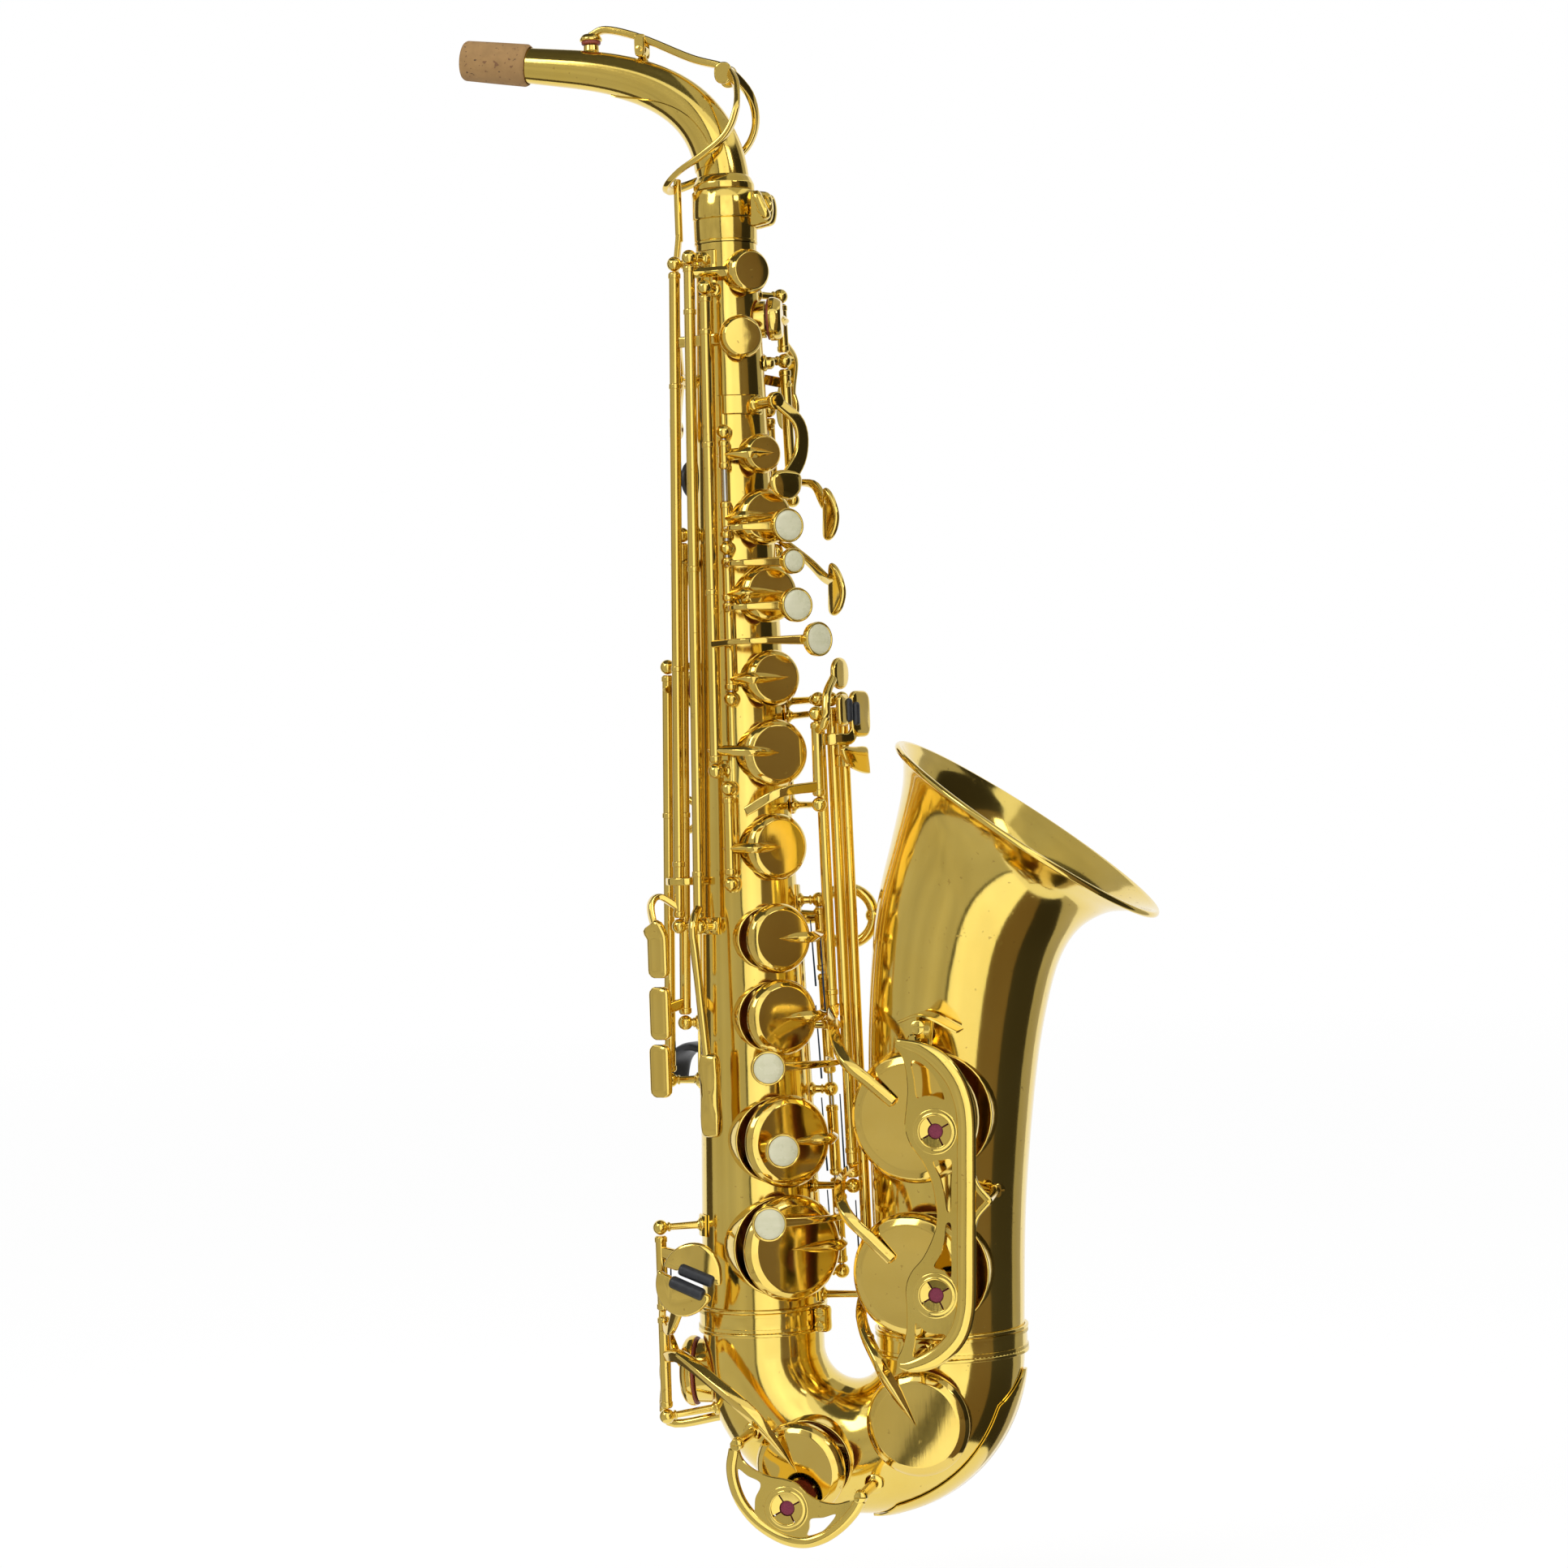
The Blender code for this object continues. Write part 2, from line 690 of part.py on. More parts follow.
def make_neck(root):
    points, radii = neck_path()
    base = RECEIVER_TOP_Z + SEAT_GAP
    run = [Vector((0, 0, base - TENON_DEPTH))] + points
    sizes = [TENON_RADIUS, TENON_RADIUS] + radii[1:]
    tube = skin(pipe_rings(run, sizes), False)
    collar = turned([(NECK_COLLAR_RADIUS, 0), (NECK_COLLAR_RADIUS, NECK_COLLAR_HEIGHT)], Vector((0, 0, base)),
                    Vector((0, 0, 1)), TUBE_SIDES)
    top, radius = neck_top_at(NECK_SADDLE.x)
    post = cylinder(Vector((NECK_SADDLE.x, 0, top + radius - 0.6 * MM)), NECK_SADDLE, POST_RADIUS)
    vent_top, vent_radius = neck_top_at(NECK_VENT_X)
    vent_low = Vector((NECK_VENT_X, 0, vent_top + vent_radius - 0.7 * MM))
    vent_end = vent_low + Vector((0, 0, 3 * MM))
    vent = cylinder(vent_low, vent_end, VENT_RADIUS)
    bore_run = list(run)
    bore_run[0] = run[0] - Vector((0, 0, NECK_WALL))
    bore_run[-1] = run[-1] + (run[-1] - run[-2]).normalized() * NECK_WALL
    bore = skin(pipe_rings(bore_run, [r - NECK_WALL for r in sizes]), False)
    vent_hole = cylinder(vent_low - Vector((0, 0, 4 * MM)), vent_end + Vector((0, 0, 1 * MM)), VENT_BORE_RADIUS)
    fuse([tube, collar, ball(NECK_SADDLE, SADDLE_RADIUS), post, vent], [bore, vent_hole])
    settle(tube, "neck_tube", brass(), root)

    way = (points[-2] - points[-1]).normalized()
    ends = [points[-1], points[-1] + way * (CORK_LENGTH - SEAT_GAP)]
    slope = [radii[-1] + SEAT_GAP, radii[-2] + SEAT_GAP]
    sleeve = shell_of(pipe_rings(ends, [CORK_RADIUS, CORK_RADIUS + 0.4 * MM]), pipe_rings(ends, slope))
    settle(sleeve, "neck_cork", cork(), root)
    return vent_end.z


OCTAVE_LOOP_TOP = Vector((4 * MM, 0, 306 * MM))
OCTAVE_LOOP_FOOT = Vector((-24 * MM, 0, 259 * MM))
OCTAVE_LOOP_HALF_WIDTH = 16 * MM
OCTAVE_BAR_RADIUS = 1.5 * MM
OCTAVE_PIN_GAP = 1.0 * MM
OCTAVE_SWING = math.radians(3.6)
OCTAVE_RATIO = 1.33


def make_neck_octave_key(root, vent_top):
    middle = (OCTAVE_LOOP_TOP + OCTAVE_LOOP_FOOT) / 2
    half = (OCTAVE_LOOP_TOP - OCTAVE_LOOP_FOOT) / 2
    half_way = Vector((0, OCTAVE_LOOP_HALF_WIDTH, 0))
    loop = []
    for step in range(16):
        turn = math.tau * step / 16
        loop.append(middle + half * math.cos(turn) + half_way * math.sin(turn))
    ring = round_bar(loop, OCTAVE_BAR_RADIUS, closed=True, sides=6)
    pad_low = Vector((NECK_VENT_X, 0, vent_top + PAD_GAP))
    cup = turned([(4.6 * MM, 0), (4.6 * MM, 3 * MM), (3 * MM, 4.2 * MM)], pad_low, Vector((0, 0, 1)), CUP_SIDES)
    rise = Vector((0, 0, 5.5 * MM))
    spine = [pad_low + Vector((0, 0, 3.4 * MM)), NECK_SADDLE + rise, OCTAVE_LOOP_TOP + Vector((-14, 0, 6)) * MM,
             OCTAVE_LOOP_TOP]
    arm = flat_bar(spine, 4 * MM, 2.2 * MM, Vector((0, 1, 0)))
    cheeks = []
    for side in (-1, 1):
        cheek = NECK_SADDLE + Vector((0, side * 3.9 * MM, 0))
        cheeks.append(slab(cheek + rise * 0.4, Vector((2 * MM, 0, 0)), Vector((0, 1.1 * MM, 0)), rise * 0.75))
    bridge = slab(NECK_SADDLE + rise, Vector((2 * MM, 0, 0)), Vector((0, 5 * MM, 0)), Vector((0, 0, 1.1 * MM)))
    fuse([arm, ring, cup, bridge] + cheeks)
    settle(arm, "neck_octave_key", brass(), root, NECK_SADDLE)
    JOINTS["neck_octave_key"] = Joint(NECK_SADDLE, Vector((0, 1, 0)), OCTAVE_SWING * OCTAVE_RATIO, False)


def opening_axis(point, axis, hole):
    """Axis turned so that a positive angle lifts the cup off its hole."""
    axis = axis.normalized()
    if axis.cross(hole.rim - point).dot(hole.normal) < 0:
        axis = -axis
    return axis


def cup_solid(hole, height):
    base = hole.rim + hole.normal * PAD_GAP
    radius = hole.cup
    profile = [(radius - 0.9 * MM, 0), (radius, 0.9 * MM), (radius, height * 0.62), (radius * 0.82, height * 0.9),
               (radius * 0.35, height)]
    return turned(profile, base, hole.normal, CUP_SIDES)


def cup_top(hole, height, inset=0.5 * MM):
    return hole.rim + hole.normal * (PAD_GAP + height - inset)


def tube_solid(rod, low, high, radius=KEY_TUBE_RADIUS):
    return cylinder(rod.at(low), rod.at(high), radius)


def plain_arm(points, side=Vector((0, 0, 1)), width=ARM_WIDTH, thickness=ARM_THICKNESS):
    return flat_bar(points, width, thickness, side)


def over_arm(start, hole, height):
    """Arm that leaves the hinge tube, climbs to the cup's edge and ends over its middle."""
    flat = start - hole.rim
    flat = flat - hole.normal * flat.dot(hole.normal)
    edge = cup_top(hole, height) + flat.normalized() * hole.cup * 0.95
    return plain_arm([start, edge, cup_top(hole, height)])


def under_arm(rod, hole, z, passes):
    """Arm that runs close to the tube wall, below the other hinge tubes, into the side of its cup."""
    points = [rod.at(z)]
    for angle, stand in passes:
        points.append(off_body(angle, stand, z))
    middle = hole.rim + hole.normal * (PAD_GAP + 3 * MM)
    flat = points[-1] - middle
    flat = flat - hole.normal * flat.dot(hole.normal)
    points.append(middle + flat.normalized() * hole.cup)
    points.append(middle)
    return plain_arm(points, thickness=1.8 * MM)


def pearl(point, normal, radius=PEARL_RADIUS):
    profile = [(radius * 0.8, -PEARL_HEIGHT), (radius, -PEARL_HEIGHT * 0.55), (radius, -PEARL_HEIGHT * 0.15),
               (radius * 0.6, 0)]
    return turned(profile, point, normal, CUP_SIDES)


def pearl_arm(start, middle, point, normal):
    return plain_arm([start, middle, point - normal * (PEARL_HEIGHT * 0.75)], thickness=2.2 * MM)


def make_key(name, root, rod, low, high, hole, pieces, lift, open_at_rest, bored=False):
    cutters = []
    if bored:
        tube = tube_solid(rod, low, high)
        cutters.append(tube_solid(rod, low - 5 * MM, high + 5 * MM, STACK_ROD_RADIUS + RUN_GAP))
    else:
        tube = tube_solid(rod, low - BALL_FLAT, high + BALL_FLAT)
    point = (rod.at(low) + rod.at(high)) / 2
    axis = opening_axis(point, rod.at(high) - rod.at(low), hole)
    arm = hole.rim - point
    lever = abs(axis.cross(arm).dot(hole.normal))
    swing = lift / lever
    fuse([tube] + pieces, cutters)
    turn = (swing, axis) if open_at_rest else None
    JOINTS[name] = Joint(point, axis, swing, open_at_rest)
    return settle(tube, name, brass(), root, point, turn)


def stack_key(name, root, rod, low, high, hole, extra=()):
    pieces = [cup_solid(hole, CUP_HEIGHT), over_arm(rod.at(hole.rim.z), hole, CUP_HEIGHT)]
    lift = min(KEY_LIFT, hole.cup * 0.3)
    make_key(name, root, rod, low, high, hole, pieces + list(extra), lift, True, bored=True)


def finger_pearl(rod, angle, radius, z, middle_angle, middle_radius, size=PEARL_RADIUS):
    point = polar(angle, radius, z)
    normal = outward(angle)
    arm = pearl_arm(rod.at(z), polar(middle_angle, middle_radius, z), point, normal)
    return [arm, pearl(point, normal, size)]


def make_upper_stack(root):
    rod = ROD_UPPER
    stack_key("c_key", root, rod, 140 * MM, 152 * MM, HOLES["c"])
    stack_key("b_key", root, rod, 112 * MM, 127 * MM, HOLES["b"],
              finger_pearl(rod, 33, 35 * MM, 115.5 * MM, 68, 31 * MM))
    stack_key("bis_key", root, rod, 86.2 * MM, 104 * MM, HOLES["bis"],
              finger_pearl(rod, 31, 36 * MM, 101 * MM, 68, 32 * MM, 5.2 * MM))
    stack_key("a_key", root, rod, 50 * MM, 85.8 * MM, HOLES["a"],
              finger_pearl(rod, 35, 41.5 * MM, 83 * MM, 68, 37 * MM))

    hole = HOLES["g"]
    rod = ROD_G
    pieces = [cup_solid(hole, CUP_HEIGHT), over_arm(rod.at(26 * MM), hole, CUP_HEIGHT)]
    pieces += finger_pearl(rod, 25, 44 * MM, 69 * MM, 66, 40 * MM)
    make_key("g_key", root, rod, 21 * MM, 211 * MM, hole, pieces, KEY_LIFT, True)

    hole = HOLES["g_sharp"]
    rod = ROD_GS
    pieces = [cup_solid(hole, CUP_HEIGHT), over_arm(rod.at(hole.rim.z), hole, CUP_HEIGHT)]
    make_key("g_sharp_key", root, rod, -25 * MM, 7 * MM, hole, pieces, KEY_LIFT, False)


def make_lower_stack(root):
    rod = ROD_LOWER
    stack_key("f_sharp_key", root, rod, -66 * MM, -40 * MM, HOLES["f_sharp"])
    stack_key("f_key", root, rod, -108 * MM, -67 * MM, HOLES["f"],
              finger_pearl(rod, 76, 42 * MM, -102 * MM, 30, 40 * MM))
    hole = HOLES["e"]
    pearl_angle = 70
    stand = polar(pearl_angle, 45 * MM, -135 * MM)
    normal = outward(pearl_angle)
    stem = cylinder(cup_top(hole, CUP_HEIGHT, 2 * MM), stand - normal * 2 * MM, 3 * MM)
    stack_key("e_key", root, rod, -150 * MM, -121 * MM, hole, [stem, pearl(stand, normal)])
    stack_key("d_key", root, rod, -186 * MM, -151 * MM, HOLES["d"],
              finger_pearl(rod, 78, 44 * MM, -164 * MM, 34, 42 * MM))


def touch_plate(centre, normal, width, height, thickness=2.6 * MM):
    side = normal.cross(Vector((0, 0, 1))).normalized()
    up = side.cross(normal).normalized()
    outline = []
    for step in range(10):
        turn = math.tau * (step + 0.5) / 10
        flat = side * (math.copysign(abs(math.cos(turn)) ** 0.6, math.cos(turn)) * width / 2)
        outline.append(centre + flat + up * (math.copysign(abs(math.sin(turn)) ** 0.6, math.sin(turn)) * height / 2))
    half = normal * (thickness / 2)
    return skin([[p - half for p in outline], [p + half for p in outline]], False)


def make_side_keys(root):
    touch_angle = 145.5
    touch_radius = 40 * MM
    face = outward(touch_angle)

    hole = HOLES["high_e"]
    rod = ROD_HIGH_E
    touch = polar(touch_angle, touch_radius, -55 * MM)
    pieces = [cup_solid(hole, CUP_HEIGHT)]
    pieces.append(under_arm(rod, hole, 194 * MM, [(136, 4 * MM), (118.5, 2.6 * MM), (95, 2.6 * MM)]))
    pieces.append(plain_arm([rod.at(-38 * MM), polar(147, 38 * MM, -44 * MM), touch], Vector((0, 0, 1))))
    pieces.append(touch_plate(touch, face, 8 * MM, 21 * MM))
    make_key("high_e_key", root, rod, -42 * MM, 223 * MM, hole, pieces, SMALL_KEY_LIFT, False)

    hole = HOLES["high_f_sharp"]
    rod = ROD_HIGH_FS
    touch = Vector((-9.5, -35, -113)) * MM
    pieces = [cup_solid(hole, CUP_HEIGHT)]
    pieces.append(under_arm(rod, hole, 221 * MM, [(100, 6 * MM)]))
    stem = [rod.at(-37 * MM), polar(113, 37.5 * MM, -46 * MM), polar(107, 36.5 * MM, -97 * MM)]
    pieces.append(round_bar(stem, 1.9 * MM))
    pieces.append(touch_plate(touch, outward(104), 9 * MM, 34 * MM))
    make_key("high_f_sharp_key", root, rod, -42 * MM, 224 * MM, hole, pieces, SMALL_KEY_LIFT, False)

    hole = HOLES["side_c"]
    rod = ROD_SIDE_C
    touch = polar(touch_angle, touch_radius, -80.5 * MM)
    pieces = [cup_solid(hole, CUP_HEIGHT), over_arm(rod.at(hole.rim.z), hole, CUP_HEIGHT)]
    pieces.append(plain_arm([rod.at(-77 * MM), touch], Vector((0, 0, 1))))
    pieces.append(touch_plate(touch, face, 8 * MM, 20 * MM))
    make_key("side_c_key", root, rod, -82 * MM, 112 * MM, hole, pieces, SMALL_KEY_LIFT, False)

    hole = HOLES["side_bb"]
    rod = ROD_SIDE_BB
    touch = polar(touch_angle, touch_radius + 0.7 * MM, -104 * MM)
    pieces = [cup_solid(hole, CUP_HEIGHT), over_arm(rod.at(hole.rim.z), hole, CUP_HEIGHT)]
    pieces.append(plain_arm([rod.at(-102 * MM), touch], Vector((0, 0, 1))))
    pieces.append(touch_plate(touch, face, 8 * MM, 21 * MM))
    make_key("side_bb_key", root, rod, -106 * MM, 58 * MM, hole, pieces, SMALL_KEY_LIFT, False)


def make_palm_keys(root):
    hole = HOLES["palm_d"]
    rod = ROD_PALM_D
    touch = polar(-17, 41 * MM, 91 * MM)
    pieces = [cup_solid(hole, CUP_HEIGHT), over_arm(rod.at(hole.rim.z), hole, CUP_HEIGHT)]
    pieces.append(plain_arm([rod.at(115 * MM), polar(-34, 31 * MM, 104 * MM), touch], outward(-48)))
    pieces.append(touch_plate(touch, outward(-42), 13 * MM, 22 * MM))
    make_key("palm_d_key", root, rod, 112 * MM, 164 * MM, hole, pieces, SMALL_KEY_LIFT, False)

    hole = HOLES["palm_eb"]
    rod = ROD_PALM
    touch = polar(-15, 39.5 * MM, 122 * MM)
    pieces = [cup_solid(hole, CUP_HEIGHT), over_arm(rod.at(178 * MM), hole, CUP_HEIGHT)]
    pieces.append(plain_arm([rod.at(137 * MM), polar(-29, 34 * MM, 135 * MM), touch], outward(-60)))
    pieces.append(touch_plate(touch, outward(-42), 12 * MM, 22 * MM))
    make_key("palm_eb_key", root, rod, 133 * MM, 184 * MM, hole, pieces, SMALL_KEY_LIFT, False)

    hole = HOLES["palm_f"]
    touch = polar(-66, 38 * MM, 171 * MM)
    pieces = [cup_solid(hole, CUP_HEIGHT), over_arm(rod.at(hole.rim.z), hole, CUP_HEIGHT)]
    pieces.append(plain_arm([rod.at(195 * MM), polar(-56, 35 * MM, 189 * MM), touch], outward(-10)))
    pieces.append(touch_plate(touch, outward(-66), 12 * MM, 20 * MM))
    make_key("palm_f_key", root, rod, 191 * MM, 211 * MM, hole, pieces, SMALL_KEY_LIFT, False)


FRONT_F_ANGLE = 36
FRONT_F_Z = 167 * MM
FRONT_F_STAND = 14 * MM


def front_f_post():
    """Post under the front F lever, which stands on the upper stack's rib."""
    normal = outward(FRONT_F_ANGLE)
    base = off_body(FRONT_F_ANGLE, SEAT_GAP + 0.6 * MM, FRONT_F_Z)
    pivot = off_body(FRONT_F_ANGLE, FRONT_F_STAND, FRONT_F_Z)
    return cylinder(base, pivot - normal * (1.6 * MM + SEAT_GAP), 2.4 * MM)


def make_front_f(root):
    """Lever that turns on a screw standing square to the body tube."""
    normal = outward(FRONT_F_ANGLE)
    pivot = off_body(FRONT_F_ANGLE, FRONT_F_STAND, FRONT_F_Z)
    boss = cylinder(pivot - normal * 1.6 * MM, pivot + normal * 2 * MM, 3.6 * MM)
    touch = polar(38, 34 * MM, 133 * MM)
    path = [pivot, polar(20, 33 * MM, 158 * MM), polar(22, 34 * MM, 145 * MM), touch]
    arm = flat_bar(path, 6 * MM, 2.2 * MM, around(FRONT_F_ANGLE))
    paddle = touch_plate(touch, outward(38), 15 * MM, 12 * MM)
    fuse([boss, arm, paddle])
    settle(boss, "front_f_lever", brass(), root, pivot)
    JOINTS["front_f_lever"] = Joint(pivot, normal, math.radians(6), False)


TABLE_TOP_Z = 42 * MM


def table_touch(rod, shift, side, reach, low, high):
    """Flat touch beside a bell-key tube, on a short link; side is the way it stands off along Y."""
    middle = (low + high) / 2
    x = rod.at(middle).x + shift
    near = rod.y + side * 6 * MM
    link = slab(Vector((x - shift / 2, rod.y + side * 3.8 * MM, middle)), Vector((1.2 * MM, 0, 0)),
                Vector((0, 3.8 * MM, 0)), Vector((0, 0, 2.6 * MM)))
    plate = slab(Vector((x, near + side * reach / 2, middle)), Vector((1.3 * MM, 0, 0)),
                 Vector((0, reach / 2, 0)), Vector((0, 0, (high - low) / 2)))
    return [link, plate]


def bell_key_arm(rod, z, leave, hole, arrive, radius):
    """Arm that leaves its tube towards the player's right and comes to the cup from above its edge."""
    start = rod.at(z)
    path = [start, start + Vector(leave) * MM, hole.rim + Vector(arrive) * MM, cup_top(hole, LOW_CUP_HEIGHT)]
    return round_bar(path, radius)


def make_bell_keys(root):
    hole = LOW_B_HOLE
    rod = ROD_LOW_B
    arm = bell_key_arm(rod, -80 * MM, (11, -22, -12), hole, (-20.6, -11.4, 13.5), 2.4 * MM)
    pieces = [cup_solid(hole, LOW_CUP_HEIGHT), arm]
    pieces += table_touch(rod, 0.6 * MM, 1, 16 * MM, 27 * MM, 39 * MM)
    make_key("low_b_key", root, rod, -84 * MM, TABLE_TOP_Z, hole, pieces, LOW_KEY_LIFT, True)

    hole = LOW_BB_HOLE
    rod = ROD_LOW_BB
    arm = bell_key_arm(rod, -145 * MM, (9, -24, -11), hole, (-18, -11.2, 14.5), 2.4 * MM)
    pieces = [cup_solid(hole, LOW_CUP_HEIGHT), arm]
    pieces += table_touch(rod, -3 * MM, 1, 15 * MM, 9 * MM, 25 * MM)
    make_key("low_bb_key", root, rod, -150 * MM, TABLE_TOP_Z, hole, pieces, LOW_KEY_LIFT, True)

    hole = LOW_CS_HOLE
    rod = ROD_LOW_CS
    arm = bell_key_arm(rod, -190 * MM, (4.8, -26.5, -22), hole, (-11, -9.2, 14.8), 2.2 * MM)
    pieces = [cup_solid(hole, LOW_CUP_HEIGHT), arm]
    pieces += table_touch(rod, 2.4 * MM, -1, 12 * MM, 26 * MM, 40 * MM)
    make_key("low_c_sharp_key", root, rod, -195 * MM, TABLE_TOP_Z, hole, pieces, KEY_LIFT, False)

    rod = ROD_GS_TOUCH
    tube = tube_solid(rod, 6 * MM - BALL_FLAT, 36 * MM + BALL_FLAT)
    arm = plain_arm([rod.at(10 * MM), Vector((24, -36, 8)) * MM, Vector((10, -37, 1)) * MM])
    plate = slab(Vector((40, -5, 57)) * MM, Vector((1.3, 0, 0)) * MM, Vector((0, 7.5, 0)) * MM,
                 Vector((0, 0, 6)) * MM)
    neck = round_bar([rod.at(32 * MM), Vector((40.5, -23.5, 36)) * MM, Vector((41, -21, 47)) * MM,
                      Vector((40, -11, 56)) * MM], 1.9 * MM)
    fuse([tube, arm, neck, plate])
    point = rod.at(21 * MM)
    settle(tube, "g_sharp_lever", brass(), root, point)
    JOINTS["g_sharp_lever"] = Joint(point, Vector((0, 0, 1)), math.radians(7), False)


def make_pinky_keys(root):
    rod = ROD_PINKY
    hole = LOW_EB_HOLE
    plate_middle = Vector((-20, -37, -187)) * MM
    face = outward(90)
    up = Vector((0, 0, 6.4 * MM))
    pieces = [cup_solid(hole, CUP_HEIGHT)]
    pieces.append(round_bar([rod.at(-197 * MM), Vector((-39, -14, -207)) * MM, Vector((-36.5, -8, -220)) * MM,
                             cup_top(hole, CUP_HEIGHT)], 2.2 * MM))
    pieces.append(plain_arm([rod.at(-178 * MM), plate_middle + up], Vector((0, 0, 1))))
    pieces.append(touch_plate(plate_middle + up, face, 25 * MM, 11.6 * MM))
    make_key("low_eb_key", root, rod, -202 * MM, -171.5 * MM, hole, pieces, KEY_LIFT, False)

    hole = LOW_C_HOLE
    top = cup_top(hole, LOW_CUP_HEIGHT)
    pieces = [cup_solid(hole, LOW_CUP_HEIGHT)]
    pieces.append(round_bar([rod.at(-236 * MM), Vector((-14, -40, -243)) * MM, Vector((8, -43, -250)) * MM, top],
                            2.4 * MM))
    pieces.append(plain_arm([rod.at(-208 * MM), Vector((-30, -30, -208)) * MM, plate_middle - up],
                            Vector((0, 0, 1))))
    pieces.append(touch_plate(plate_middle - up, face, 25 * MM, 11.6 * MM))
    make_key("low_c_key", root, rod, -242 * MM, -204.5 * MM, hole, pieces, LOW_KEY_LIFT, True)


def make_octave_lever(root):
    """Thumb rocker on the back of the body tube, with the pin that moves the neck key."""
    hinge_z = 180 * MM
    stand = 7 * MM
    pivot = Vector((-body_radius(hinge_z) - stand, 0, hinge_z))
    tube = cylinder(pivot + Vector((0, -5, 0)) * MM, pivot + Vector((0, 3, 0)) * MM, KEY_TUBE_RADIUS)
    loop_foot_inner = OCTAVE_LOOP_FOOT.x + OCTAVE_BAR_RADIUS + OCTAVE_PIN_GAP
    pin_x = loop_foot_inner + 1.6 * MM
    pin = cylinder(Vector((pin_x, 0, 238 * MM)), Vector((pin_x, 0, OCTAVE_LOOP_FOOT.z + 4 * MM)), 1.6 * MM)
    arm = flat_bar([pivot, Vector((-22.5 * MM, 0, 215 * MM)), Vector((pin_x, 0, 240 * MM))], 4.6 * MM, 2.4 * MM,
                   Vector((0, 1, 0)))
    touch = Vector((-body_radius(160 * MM) - 9 * MM, 0, 160 * MM))
    tail = flat_bar([pivot, touch], 4.6 * MM, 2.4 * MM, Vector((0, 1, 0)))
    plate = touch_plate(touch, Vector((-1, 0, 0)), 13 * MM, 11 * MM)
    fuse([tube, arm, tail, pin, plate])
    settle(tube, "octave_lever", brass(), root, pivot)
    JOINTS["octave_lever"] = Joint(pivot, Vector((0, -1, 0)), OCTAVE_SWING, False)
    base_angle = 197
    base = off_body(base_angle, SEAT_GAP, hinge_z)
    head = pivot + Vector((0, 3 * MM + SEAT_GAP + BALL_RADIUS, 0))
    foot = sector(base_angle - 18, base_angle + 18, hinge_z - 4 * MM, hinge_z + 4 * MM, SEAT_GAP, RIB_THICKNESS, 2)
    post = round_bar([base + outward(base_angle) * 0.7 * MM, head], POST_RADIUS)
    fuse([foot, post, ball(head, BALL_RADIUS)])
    settle(foot, "octave_post", brass(), root)


def post_pieces(rod_point, angle, z):
    """Post that leaves the tube square to its wall and ends in a ball on the hinge line."""
    base = off_body(angle, SEAT_GAP + RIB_THICKNESS / 2, z)
    knee = off_body(angle, SEAT_GAP + 3.5 * MM, z)
    return [round_bar([base, knee, rod_point], POST_RADIUS), ball(rod_point, BALL_RADIUS)]


def make_rib(name, root, plates, heads, bores=(), extra=(), base_angles=()):
    """Rib plates lying on the body tube with ball-headed posts; heads are (rod, z) pairs."""
    pieces = []
    for a, b, low, high in plates:
        inset = RIB_THICKNESS / 8 if pieces else 0
        pieces.append(sector(a, b, low, high, SEAT_GAP + inset, RIB_THICKNESS - 2 * inset,
                             max(1, round(abs(b - a) / 12))))
    for index, (rod, z) in enumerate(heads):
        point = rod.at(z)
        angle = base_angles[index] if base_angles else math.degrees(math.atan2(-point.y, point.x))
        pieces += post_pieces(point, angle, z)
    pieces += list(extra)
    cutters = [tube_solid(rod, low, high, STACK_ROD_RADIUS + RUN_GAP) for rod, low, high in bores]
    fuse(pieces, cutters)
    settle(pieces[0], name, brass(), root)


